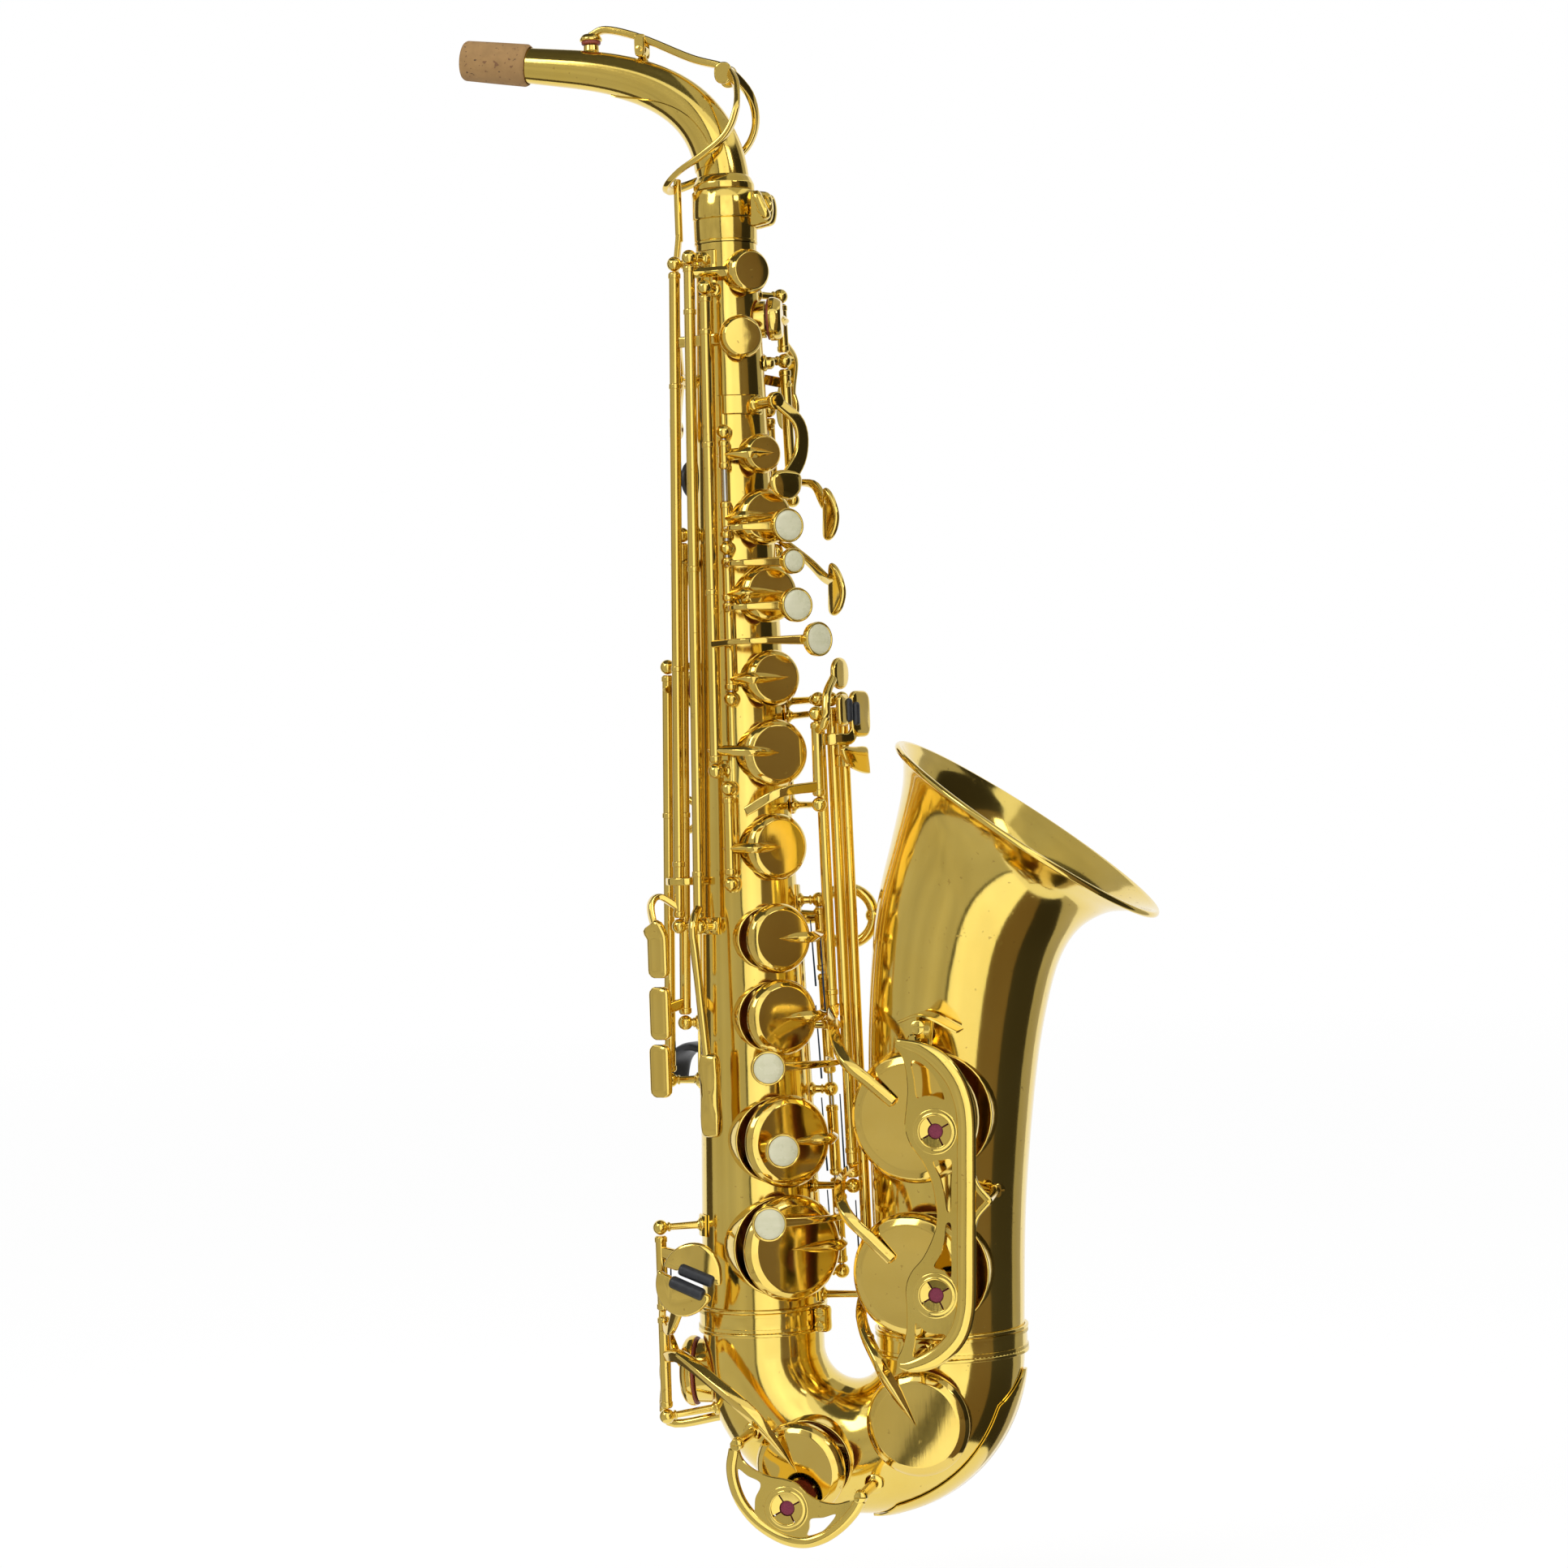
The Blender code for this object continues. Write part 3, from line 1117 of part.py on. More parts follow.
def make_ribs(root):
    reach = BALL_RADIUS + SEAT_GAP
    make_rib("side_rib_top", root, [(95, 156, 224.5 * MM, 231 * MM), (96, 104, 211.5 * MM, 226 * MM)],
             [(ROD_HIGH_E, 223 * MM + reach), (ROD_HIGH_FS, 224 * MM + reach), (ROD_G, 211 * MM + reach)])
    make_rib("side_rib_bottom", root, [(112, 156, -49 * MM, -42 * MM)],
             [(ROD_HIGH_E, -42 * MM - reach), (ROD_HIGH_FS, -42 * MM - reach)])
    make_rib("side_c_rib", root, [(157, 165, -89 * MM, 119 * MM)],
             [(ROD_SIDE_C, -82 * MM - reach), (ROD_SIDE_C, 112 * MM + reach)])
    make_rib("side_bb_rib", root, [(169, 177, -113 * MM, 65 * MM)],
             [(ROD_SIDE_BB, -106 * MM - reach), (ROD_SIDE_BB, 58 * MM + reach)])
    make_rib("upper_stack_rib", root, [(87.5, 97, -32 * MM, 171 * MM), (88, 103, 13 * MM, 22 * MM),
                                            (22, 92, 163 * MM, 171 * MM)],
             [(ROD_UPPER, 152 * MM + reach), (ROD_UPPER, 108 * MM), (ROD_UPPER, 50 * MM - reach),
              (ROD_G, 21 * MM - reach), (ROD_GS, 7 * MM + reach), (ROD_GS, -25 * MM - reach)],
             [(ROD_UPPER, 40 * MM, 165 * MM)], [front_f_post()])
    make_rib("lower_stack_rib", root, [(-11, -1, -200.8 * MM, -30 * MM), (-3, 15, -91 * MM, -84 * MM),
                                       (-3, 9, -155 * MM, -151.6 * MM), (-3, 9, -200.8 * MM, -196.4 * MM)],
             [(ROD_LOWER, -40 * MM + reach), (ROD_LOWER, -114.5 * MM), (ROD_LOWER, -186 * MM - reach),
              (ROD_LOW_B, -84 * MM - reach), (ROD_LOW_BB, -150 * MM - reach), (ROD_LOW_CS, -195 * MM - reach)],
             [(ROD_LOWER, -200 * MM, -30 * MM)])
    make_rib("palm_rib", root, [(-60, -46, 104 * MM, 218 * MM)],
             [(ROD_PALM_D, 112 * MM - reach), (ROD_PALM_D, 164 * MM + reach), (ROD_PALM, 133 * MM - reach),
              (ROD_PALM, 187.5 * MM), (ROD_PALM, 211 * MM + reach)])
    table_z = TABLE_TOP_Z + reach
    make_rib("table_bracket", root, [(-14, -3, -1 * MM, 50 * MM)],
             [(ROD_LOW_B, table_z), (ROD_LOW_BB, table_z), (ROD_LOW_CS, table_z),
              (ROD_GS_TOUCH, 36 * MM + reach), (ROD_GS_TOUCH, 6 * MM - reach)],
             base_angles=(-4, -7.5, -11, -4, -4))

    tube = tube_solid(ROD_UPPER, 44 * MM, 157 * MM, STACK_ROD_RADIUS)
    settle(tube, "upper_stack_rod", steel(), root)
    tube = tube_solid(ROD_LOWER, -192 * MM, -34 * MM, STACK_ROD_RADIUS)
    settle(tube, "lower_stack_rod", steel(), root)


def make_pinky_posts(root, bow):
    reach = BALL_RADIUS + SEAT_GAP
    make_rib("pinky_post_top", root, [(140, 160, -173 * MM, -164 * MM)], [(ROD_PINKY, -171.5 * MM + reach)])
    head = ROD_PINKY.at(-242 * MM - reach)
    centre, out, radius = bow_station(math.radians(30))
    way = (centre - head).normalized()
    gap = run_to_wall(bow, head, way, 4 * MM)
    post = cylinder(head, head + way * (gap - 1 * MM), POST_RADIUS)
    foot = cylinder(head + way * (gap - 1.5 * MM), head + way * gap, 4 * MM)
    fuse([post, foot, ball(head, BALL_RADIUS)])
    settle(post, "pinky_post_bottom", brass(), root)


def make_brace(root, body, bell):
    """Ring brace between the body tube and the bell."""
    z = -44 * MM
    bell_x, bell_radius = bell_at(z)
    centre = Vector(((body_radius(z) + bell_x - bell_radius) / 2 + 1 * MM, 12 * MM, z))
    ring_radius = 11.5 * MM
    points = circle(centre, Vector((1, 0, 0)), Vector((0, 0, 1)), ring_radius, 16)
    ring = round_bar(points, 1.8 * MM, closed=True, sides=6)
    way = Vector((1, 0, 0))
    left = centre - way * ring_radius
    right = centre + way * ring_radius
    leg = cylinder(left, left - way * run_to_wall(body, left, -way, 2 * MM), 2 * MM)
    bell_leg = cylinder(right, right + way * run_to_wall(bell, right, way, 2 * MM), 2 * MM)
    angle = -math.degrees(math.asin(centre.y / body_radius(centre.z)))
    foot = sector(angle - 12, angle + 12, centre.z - 9 * MM, centre.z + 9 * MM, SEAT_GAP, RIB_THICKNESS, 3)
    fuse([ring, leg, foot, bell_leg])
    settle(ring, "bell_brace", brass(), root)


def make_strap_ring(root):
    stand = body_radius(STRAP_Z) + STRAP_STAND
    centre = polar(STRAP_ANGLE, stand, STRAP_Z)
    way = outward(STRAP_ANGLE)
    points = circle(centre, way, Vector((0, 0, 1)), STRAP_RING_RADIUS, 14)
    ring = round_bar(points, STRAP_BAR_RADIUS, closed=True, sides=6)
    foot = sector(STRAP_ANGLE - 13, STRAP_ANGLE + 13, STRAP_Z - 13 * MM, STRAP_Z + 13 * MM, SEAT_GAP,
                  RIB_THICKNESS, 3)
    lump = slab(off_body(STRAP_ANGLE, 1.6 * MM, STRAP_Z), way * 1.3 * MM, around(STRAP_ANGLE) * 1.8 * MM,
                Vector((0, 0, 5 * MM)))
    fuse([foot, ring, lump])
    settle(foot, "strap_ring", brass(), root)


def make_thumb_pieces(root):
    base = sector(THUMB_ANGLE - 15, THUMB_ANGLE + 15, THUMB_HOOK_Z - 14 * MM, THUMB_HOOK_Z + 12 * MM, SEAT_GAP,
                  2 * MM, 3)
    out = [off_body(THUMB_ANGLE, 1.5 * MM, THUMB_HOOK_Z + 6 * MM), off_body(THUMB_ANGLE, 12 * MM, THUMB_HOOK_Z + 7 * MM)]
    out += [off_body(THUMB_ANGLE, 20 * MM, THUMB_HOOK_Z + 2 * MM), off_body(THUMB_ANGLE, 22 * MM, THUMB_HOOK_Z - 8 * MM)]
    hook = flat_bar(out, 15 * MM, 3.6 * MM, around(THUMB_ANGLE))
    fuse([base, hook])
    settle(base, "thumb_hook", black_plastic(), root)

    angle = 196
    z = 139 * MM
    stub = turned([(5 * MM, 0), (5 * MM, 3 * MM), (8 * MM, 4 * MM), (8 * MM, 5.6 * MM), (5 * MM, 7 * MM)],
                  off_body(angle, SEAT_GAP, z), outward(angle), CUP_SIDES)
    settle(stub, "thumb_rest", black_plastic(), root)


def guard_strip(path, y):
    """Flat strip in the plane of the guard, square to its path."""
    up = Vector((0, GUARD_THICKNESS / 2, 0))
    points = [Vector((x, y, z)) for x, z in path]
    rings = []
    for point, way in zip(points, tangents(points, False)):
        across = way.cross(Vector((0, 1, 0))).normalized() * (GUARD_WIDTH / 2)
        rings.append([point - across - up, point + across - up, point + across + up, point - across + up])
    return skin(rings, False)


def guard_disc(x, z, y):
    half = GUARD_THICKNESS / 2
    return cylinder(Vector((x, y - half, z)), Vector((x, y + half, z)), FELT_DISC_RADIUS, CUP_SIDES)


def run_to_wall(wall, start, way, radius):
    """Distance from start to a wall for a round foot, less the seat gap."""
    first, second = frame_across(way)
    reach = []
    for point in [start] + circle(start, first, second, radius, ROD_SIDES):
        hit, where, normal, face = wall.ray_cast(point, way)
        if hit:
            reach.append((where - point).length)
    return min(reach) - SEAT_GAP


def guard_foot(x, z, y, wall):
    radius = 2.2 * MM
    start = Vector((x, y, z))
    way = Vector((0, 1, 0))
    return cylinder(start, start + way * run_to_wall(wall, start, way, radius), radius)


def felt(name, x, z, y, depth, root):
    top = y + GUARD_THICKNESS / 2 + SEAT_GAP
    solid = cylinder(Vector((x, top, z)), Vector((x, top + depth, z)), FELT_RADIUS, CUP_SIDES)
    settle(solid, name, red_felt(), root)


def make_guards(root, bell, bow, ring):
    y = GUARD_Y
    middle = 2 * BOW_RADIUS
    upper = LOW_B_HOLE.rim.z
    path = [(middle + x * MM, upper + z * MM) for x, z in ((-9, 31.5), (5, 28.5), (17, 18.5), (22, 1.5), (23, -33.5))]
    path += [(middle + x * MM, BELL_FOOT_Z + z * MM) for x, z in ((22, 28), (17, 9), (5, -1), (-9, -4))]
    discs = [(middle + 8 * MM, upper - 4.5 * MM), (middle + 6 * MM, LOW_BB_HOLE.rim.z - 5.5 * MM)]
    pieces = [guard_strip(path, y)]
    for x, z in discs:
        pieces.append(guard_disc(x, z, y))
        pieces.append(guard_strip([(x, z), (middle + 22 * MM, z + 6 * MM)], y))
        pieces.append(guard_strip([(x, z), (middle + 22 * MM, z - 9 * MM)], y))
    pieces.append(guard_foot(middle, upper + 30 * MM, y, bell))
    pieces.append(guard_foot(middle + 23 * MM, upper - 33.5 * MM, y, bell))
    pieces.append(guard_foot(middle - 5 * MM, BELL_FOOT_Z - 3 * MM, y, ring))
    fuse(pieces)
    settle(pieces[0], "bell_key_guard", brass(), root)
    felt("low_b_felt", discs[0][0], discs[0][1], y, 1.6 * MM, root)
    felt("low_bb_felt", discs[1][0], discs[1][1], y, 1.6 * MM, root)

    y = LOW_C_GUARD_Y
    rim = LOW_C_HOLE.rim
    path = [(-32.6, 0), (-30.6, -14.1), (-20.6, -26.1), (-6.6, -31.1), (7.4, -27.1), (17.4, -18.1), (22.4, -10.1)]
    path = [(rim.x + x * MM, rim.z + z * MM) for x, z in path]
    disc = (rim.x - 4.6 * MM, rim.z - 14.1 * MM)
    pieces = [guard_strip(path, y), guard_disc(disc[0], disc[1], y)]
    pieces.append(guard_strip([disc, path[1]], y))
    pieces.append(guard_strip([disc, path[5]], y))
    pieces.append(guard_strip([disc, path[3]], y))
    for x, z in (path[0], path[-1]):
        pieces.append(guard_foot(x, z, y, bow))
    fuse(pieces)
    settle(pieces[0], "low_c_guard", brass(), root)
    felt("low_c_felt", disc[0], disc[1], y, 1.6 * MM, root)

    hole = LOW_EB_HOLE
    top = hole.rim + hole.normal * (CUP_HEIGHT + 9 * MM)
    low = Vector((top.x, top.y + 4 * MM, top.z - 22 * MM))
    centre, out, radius = bow_station(math.radians(38))
    way = (centre - low).normalized()
    foot = low + way * run_to_wall(bow, low, way, 1.8 * MM)
    strap = round_bar([foot, low, top], 1.8 * MM)
    disc = cylinder(top - hole.normal * 0.9 * MM, top + hole.normal * 0.9 * MM, 6 * MM, CUP_SIDES)
    fuse([strap, disc])
    settle(strap, "low_eb_guard", brass(), root)


def main():
    clear_scene()
    ring = polar(STRAP_ANGLE, body_radius(STRAP_Z) + STRAP_STAND, STRAP_Z)
    root = bpy.data.objects.new("tube_axis", None)
    bpy.context.collection.objects.link(root)
    root.location = -ring
    body = make_body_tube(root)
    bow = make_bow(root)
    bell = make_bell(root)
    joint_ring("body_bow_ring", 0, BODY_FOOT_Z, BODY_FOOT_RADIUS, root)
    bell_ring = joint_ring("bell_bow_ring", 2 * BOW_RADIUS, BELL_FOOT_Z, BELL_FOOT_RADIUS, root)
    bow_strip(root)
    make_receiver(root)
    vent_top = make_neck(root)
    make_neck_octave_key(root, vent_top)
    make_octave_lever(root)
    make_upper_stack(root)
    make_lower_stack(root)
    make_side_keys(root)
    make_palm_keys(root)
    make_front_f(root)
    make_bell_keys(root)
    make_pinky_keys(root)
    make_ribs(root)
    make_pinky_posts(root, bow)
    make_brace(root, body, bell)
    make_strap_ring(root)
    make_thumb_pieces(root)
    make_guards(root, bell, bow, bell_ring)


main()
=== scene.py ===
"""Alto saxophone in lacquered brass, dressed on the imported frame.

Lengths are millimetres in the tube frame: Z runs up the body tube, +X points to the bell and -Y to the
player's right.
Angles round the body tube start at +X and grow towards -Y.
"""

import math

import bmesh
import bpy
from mathutils import Matrix, Vector


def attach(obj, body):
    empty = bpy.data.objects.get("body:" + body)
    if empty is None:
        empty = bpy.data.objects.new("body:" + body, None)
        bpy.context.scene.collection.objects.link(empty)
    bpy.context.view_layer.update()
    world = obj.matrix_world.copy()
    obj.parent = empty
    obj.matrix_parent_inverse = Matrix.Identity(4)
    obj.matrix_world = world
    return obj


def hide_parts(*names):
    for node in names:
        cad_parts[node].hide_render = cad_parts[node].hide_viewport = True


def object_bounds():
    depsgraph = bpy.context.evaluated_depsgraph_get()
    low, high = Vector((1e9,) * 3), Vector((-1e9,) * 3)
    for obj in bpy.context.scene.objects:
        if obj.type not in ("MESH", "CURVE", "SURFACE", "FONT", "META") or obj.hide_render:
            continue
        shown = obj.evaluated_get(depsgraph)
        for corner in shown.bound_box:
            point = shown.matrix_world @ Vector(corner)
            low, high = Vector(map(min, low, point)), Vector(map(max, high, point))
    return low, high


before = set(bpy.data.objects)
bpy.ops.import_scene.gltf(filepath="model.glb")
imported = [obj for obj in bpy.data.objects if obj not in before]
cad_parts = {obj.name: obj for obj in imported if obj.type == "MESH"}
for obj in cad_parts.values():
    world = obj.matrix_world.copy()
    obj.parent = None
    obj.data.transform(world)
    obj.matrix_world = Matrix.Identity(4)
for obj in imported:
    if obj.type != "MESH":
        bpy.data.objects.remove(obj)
CAD_LOW, CAD_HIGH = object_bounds()

MM = 0.001

# Body tube
BODY_TOP_Z = 234
BODY_FOOT_Z = -207
BODY_TOP_RADIUS = 12.6
BODY_FOOT_RADIUS = 25
BODY_WALL = 1.2
HOLE_RIM = 2.2
HOLE_WALL = 1.3
PAD_GAP = 0.35
SEAT_GAP = 0.3

# Neck and receiver
RECEIVER_TOP_Z = 256
RECEIVER_RADIUS = 13.4
TENON_RADIUS = 11.1
NECK_WALL = 1.0
NECK_COLLAR_RADIUS = 12.6
NECK_COLLAR_HEIGHT = 3.5
NECK_RADIUS = 10.9
NECK_TIP_RADIUS = 6.4
NECK_TIP = Vector((-110.5, 0, 320))
NECK_RISE = 0.16
CORK_LENGTH = 29
CORK_RADIUS = 8.3
LUG_HALF_WIDTH = 5

# Bow and bell
BOW_RADIUS = 39.5
BOW_LEG = 14
TUBE_WALL = 1.2
BELL_FOOT_RADIUS = 29.5
BELL_FOOT_Z = -216
BELL_RIM_RADIUS = 62
BELL_RIM_X = 118
BELL_RIM_Z = -9
BELL_RIM_TILT = 35.5

# Keys
KEY_TUBE_RADIUS = 2.3
BALL_RADIUS = 3.1
CUP_HEIGHT = 6.2
LOW_CUP_HEIGHT = 7
PAD_HEIGHT = 1.7
PEARL_RADIUS = 7
KEY_LIFT = 4.2
SMALL_KEY_LIFT = 3
LOW_KEY_LIFT = 6
TOUCH_THICKNESS = 2.4
ROD_STEEL_RADIUS = 1.1
TABLE_TUBE_TOP_Z = 42
TABLE_STAND = 47.3
TABLE_ROLLER_RADIUS = 1.9
TABLE_ROLLER_HALF = 4.6
PINKY_ROLLER_RADIUS = 2.6

# Strap ring, thumb pieces and guards
STRAP_ANGLE = 192
STRAP_STAND = 9
THUMB_ANGLE = 208
THUMB_HOOK_Z = -104
GUARD_Y = -58
LOW_C_GUARD_Y = -50
SHEET_HALF = 0.9
BOSS_RADIUS = 6.5
BRACE_Y = 12
BRACE_Z = -44
BRACE_RADIUS = 11.5
SHARP_EDGE = 38

UP = Vector((0, 0, 1))
SIDE = Vector((0, 1, 0))


# Places round the body tube


def body_radius(z):
    share = (BODY_TOP_Z - z) / (BODY_TOP_Z - BODY_FOOT_Z)
    return BODY_TOP_RADIUS + share * (BODY_FOOT_RADIUS - BODY_TOP_RADIUS)


def outward(angle):
    turn = math.radians(angle)
    return Vector((math.cos(turn), -math.sin(turn), 0))


def around(angle):
    turn = math.radians(angle)
    return Vector((-math.sin(turn), -math.cos(turn), 0))


def polar(angle, radius, z):
    return outward(angle) * radius + Vector((0, 0, z))


def off_body(angle, stand, z):
    return polar(angle, body_radius(z) + stand, z)


OFFSET = -polar(STRAP_ANGLE, body_radius(0) + STRAP_STAND, 0)


class ConeRod:
    """Hinge line that follows the taper of the body tube."""

    def __init__(self, angle, stand):
        self.angle = angle
        self.stand = stand

    def at(self, z):
        return off_body(self.angle, self.stand, z)


class UprightRod:
    """Hinge line beside the body tube; lean moves it along -X as it rises."""

    def __init__(self, x, y, lean=0.0):
        self.x = x
        self.y = y
        self.lean = lean

    def at(self, z):
        return Vector((self.x - self.lean * z, self.y, z))


class Hole:
    """Tone hole: the middle of its rim, the way it faces and the radius of its key cup."""

    def __init__(self, rim, normal, cup):
        self.rim = rim
        self.normal = normal.normalized()
        self.cup = cup


def body_hole(angle, z, cup):
    return Hole(off_body(angle, HOLE_RIM, z), outward(angle), cup)


ROD_HIGH_E = ConeRod(149.5, 9.5)
ROD_HIGH_FS = ConeRod(118.5, 9.5)
ROD_G = ConeRod(99.5, 9.5)
ROD_UPPER = ConeRod(86, 5.2)
ROD_GS = ConeRod(91, 5.6)
ROD_LOWER = ConeRod(-6, 9)
ROD_SIDE_C = ConeRod(161, 6.3)
ROD_SIDE_BB = ConeRod(173, 13)
ROD_PALM_D = ConeRod(-59, 7)
ROD_PALM = ConeRod(-46, 12.5)
ROD_LOW_B = UprightRod(35, -9, 0.012)
ROD_LOW_BB = UprightRod(39.3, -5, 0.012)
ROD_LOW_CS = UprightRod(42.9, -0.5, 0.012)
ROD_PINKY = UprightRod(-36.5, -21.5)
ROD_GS_TOUCH = UprightRod(36, -19.5)

HOLES = {
    "high_f_sharp": body_hole(47, 221, 9.3),
    "high_e": body_hole(61, 194, 9.0),
    "palm_f": body_hole(-8, 203, 9.0),
    "palm_eb": body_hole(-95, 184, 9.0),
    "palm_d": body_hole(-97, 160, 9.5),
    "side_c": body_hole(203, 104, 10.0),
    "side_bb": body_hole(214, 52, 11.0),
    "c": body_hole(42, 146, 8.2),
    "b": body_hole(42, 120, 11.5),
    "bis": body_hole(42, 89, 12.0),
    "a": body_hole(42, 54.5, 11.5),
    "g": body_hole(44, 24, 13.7),
    "g_sharp": body_hole(46, -14, 13.7),
    "f_sharp": body_hole(57, -51, 14.2),
    "f": body_hole(57, -83, 15.5),
    "e": body_hole(57, -133, 18.8),
    "d": body_hole(57, -176, 21.5),
}


def bow_station(turn):
    """Centre, outward way and radius of the bow at an angle round its bend, 0 at the body leg."""
    centre = Vector((BOW_RADIUS, 0, BODY_FOOT_Z - BOW_LEG))
    out = Vector((-math.cos(turn), 0, -math.sin(turn)))
    radius = BODY_FOOT_RADIUS + turn / math.pi * (BELL_FOOT_RADIUS - BODY_FOOT_RADIUS)
    return centre + out * BOW_RADIUS, out, radius


def bow_hole(turn_degrees, lean_degrees, cup):
    centre, out, radius = bow_station(math.radians(turn_degrees))
    lean = math.radians(lean_degrees)
    normal = Vector((0, -1, 0)) * math.cos(lean) + out * math.sin(lean)
    return Hole(centre + normal * (radius + HOLE_RIM), normal, cup)


def bell_stations():
    """Centre x, z, radius and tilt from the bow joint to the rim."""
    rows = [
        (0.000, 0.000, BELL_FOOT_RADIUS, 0),
        (0.020, 0.260, BELL_FOOT_RADIUS + 1.8, 0),
        (0.100, 0.520, BELL_FOOT_RADIUS + 4.6, 5),
        (0.200, 0.680, BELL_FOOT_RADIUS + 6.8, 11),
        (0.330, 0.800, BELL_FOOT_RADIUS + 9.2, 19),
        (0.520, 0.890, BELL_FOOT_RADIUS + 12.5, 28),
        (0.730, 0.952, BELL_RIM_RADIUS - 14.0, 33),
        (0.880, 0.984, BELL_RIM_RADIUS - 7.0, BELL_RIM_TILT),
        (1.000, 1.000, BELL_RIM_RADIUS, BELL_RIM_TILT),
    ]
    foot_x = 2 * BOW_RADIUS
    result = []
    for share_x, share_z, radius, tilt in rows:
        x = foot_x + share_x * (BELL_RIM_X - foot_x)
        z = BELL_FOOT_Z + share_z * (BELL_RIM_Z - BELL_FOOT_Z)
        result.append(Vector((x, z, radius, math.radians(tilt))))
    return result


def bell_hole(z, cup):
    rows = bell_stations()
    for low, high in zip(rows, rows[1:]):
        if low[1] <= z <= high[1]:
            here = low.lerp(high, (z - low[1]) / (high[1] - low[1]))
            return Hole(Vector((here[0] - 1.5, -here[2] - HOLE_RIM, z)), Vector((0, -1, 0)), cup)


LOW_C_HOLE = bow_hole(70, 8, 18.8)
LOW_CS_HOLE = bow_hole(143, 0, 21)
LOW_EB_HOLE = Hole(polar(176, BODY_FOOT_RADIUS + HOLE_RIM, BODY_FOOT_Z - 23), outward(176), 14.5)
LOW_B_HOLE = bell_hole(-121.5, 26.3)
LOW_BB_HOLE = bell_hole(-184.5, 25)


# Shells: each is a list of points and a list of faces


def skin(rings, closed=False):
    sides = len(rings[0])
    points = [p for ring in rings for p in ring]
    faces = []
    for row in range(len(rings) if closed else len(rings) - 1):
        here = row * sides
        there = ((row + 1) % len(rings)) * sides
        for step in range(sides):
            nxt = (step + 1) % sides
            faces.append((here + step, here + nxt, there + nxt, there + step))
    if not closed:
        faces.append(tuple(range(sides)))
        faces.append(tuple(range((len(rings) - 1) * sides, len(rings) * sides)))
    return points, faces


def across(axis):
    helper = UP if abs(axis.z) < 0.9 else Vector((1, 0, 0))
    first = axis.cross(helper).normalized()
    return first, axis.cross(first).normalized()


def circle(centre, first, second, radius, sides):
    turns = [math.tau * step / sides for step in range(sides)]
    return [centre + first * (radius * math.cos(t)) + second * (radius * math.sin(t)) for t in turns]


def turned(profile, base, axis, sides=32, closed=False):
    """Turned shell: profile holds (radius, height) pairs along the axis."""
    axis = axis.normalized()
    first, second = across(axis)
    return skin([circle(base + axis * h, first, second, max(r, 0.02), sides) for r, h in profile], closed)


def soften(profile, size, closed=False):
    """Profile with each corner rounded."""
    result = []
    last = len(profile) - 1
    for index, corner in enumerate(profile):
        here = Vector(corner)
        if not closed and index in (0, last):
            result.append(tuple(here))
            continue
        before = Vector(profile[index - 1]) - here
        after = Vector(profile[(index + 1) % len(profile)]) - here
        reach = min(size, before.length * 0.45, after.length * 0.45)
        start = here + before.normalized() * reach
        end = here + after.normalized() * reach
        for share in (0.0, 0.33, 0.67, 1.0):
            mix = start.lerp(here, share).lerp(here.lerp(end, share), share)
            result.append(tuple(mix))
    return result


def ball(centre, radius, sides=20, rings=11):
    profile = []
    for row in range(rings + 1):
        turn = math.pi * row / rings
        profile.append((radius * math.sin(turn), -radius * math.cos(turn)))
    return turned(profile, centre, UP, sides)


def flow(values, steps, closed=False):
    """Smooth run through vectors of any length."""
    result = []
    count = len(values)
    spans = count if closed else count - 1
    for span in range(spans):
        if closed:
            p0, p1, p2, p3 = (values[(span + k) % count] for k in (-1, 0, 1, 2))
        else:
            p1, p2 = values[span], values[span + 1]
            p0 = values[span - 1] if span else p1 * 2 - p2
            p3 = values[span + 2] if span + 2 < count else p2 * 2 - p1
        for step in range(steps):
            t = step / steps
            a = p1 * 2 + (p2 - p0) * t
            b = (p0 * 2 - p1 * 5 + p2 * 4 - p3) * (t * t)
            c = (p1 * 3 - p0 - p2 * 3 + p3) * (t * t * t)
            result.append((a + b + c) * 0.5)
    if not closed:
        result.append(values[-1])
    return result


def unit_circle(sides):
    return [(math.cos(math.tau * k / sides), math.sin(math.tau * k / sides)) for k in range(sides)]


def unit_box(corner=0.45):
    points = []
    for sx, sy, turn in ((1, 1, 0), (-1, 1, 90), (-1, -1, 180), (1, -1, 270)):
        for k in range(4):
            t = math.radians(turn + 30 * k)
            x = sx * (1 - corner) + corner * math.cos(t)
            points.append((x, sy * (1 - corner) + corner * math.sin(t)))
    return points


ROUND = unit_circle(16)
STRAP = unit_box()
RIDGE = [(-1, -1), (1, -1), (1, -0.35), (0.22, 0.9), (0, 1), (-0.22, 0.9), (-1, -0.35)]


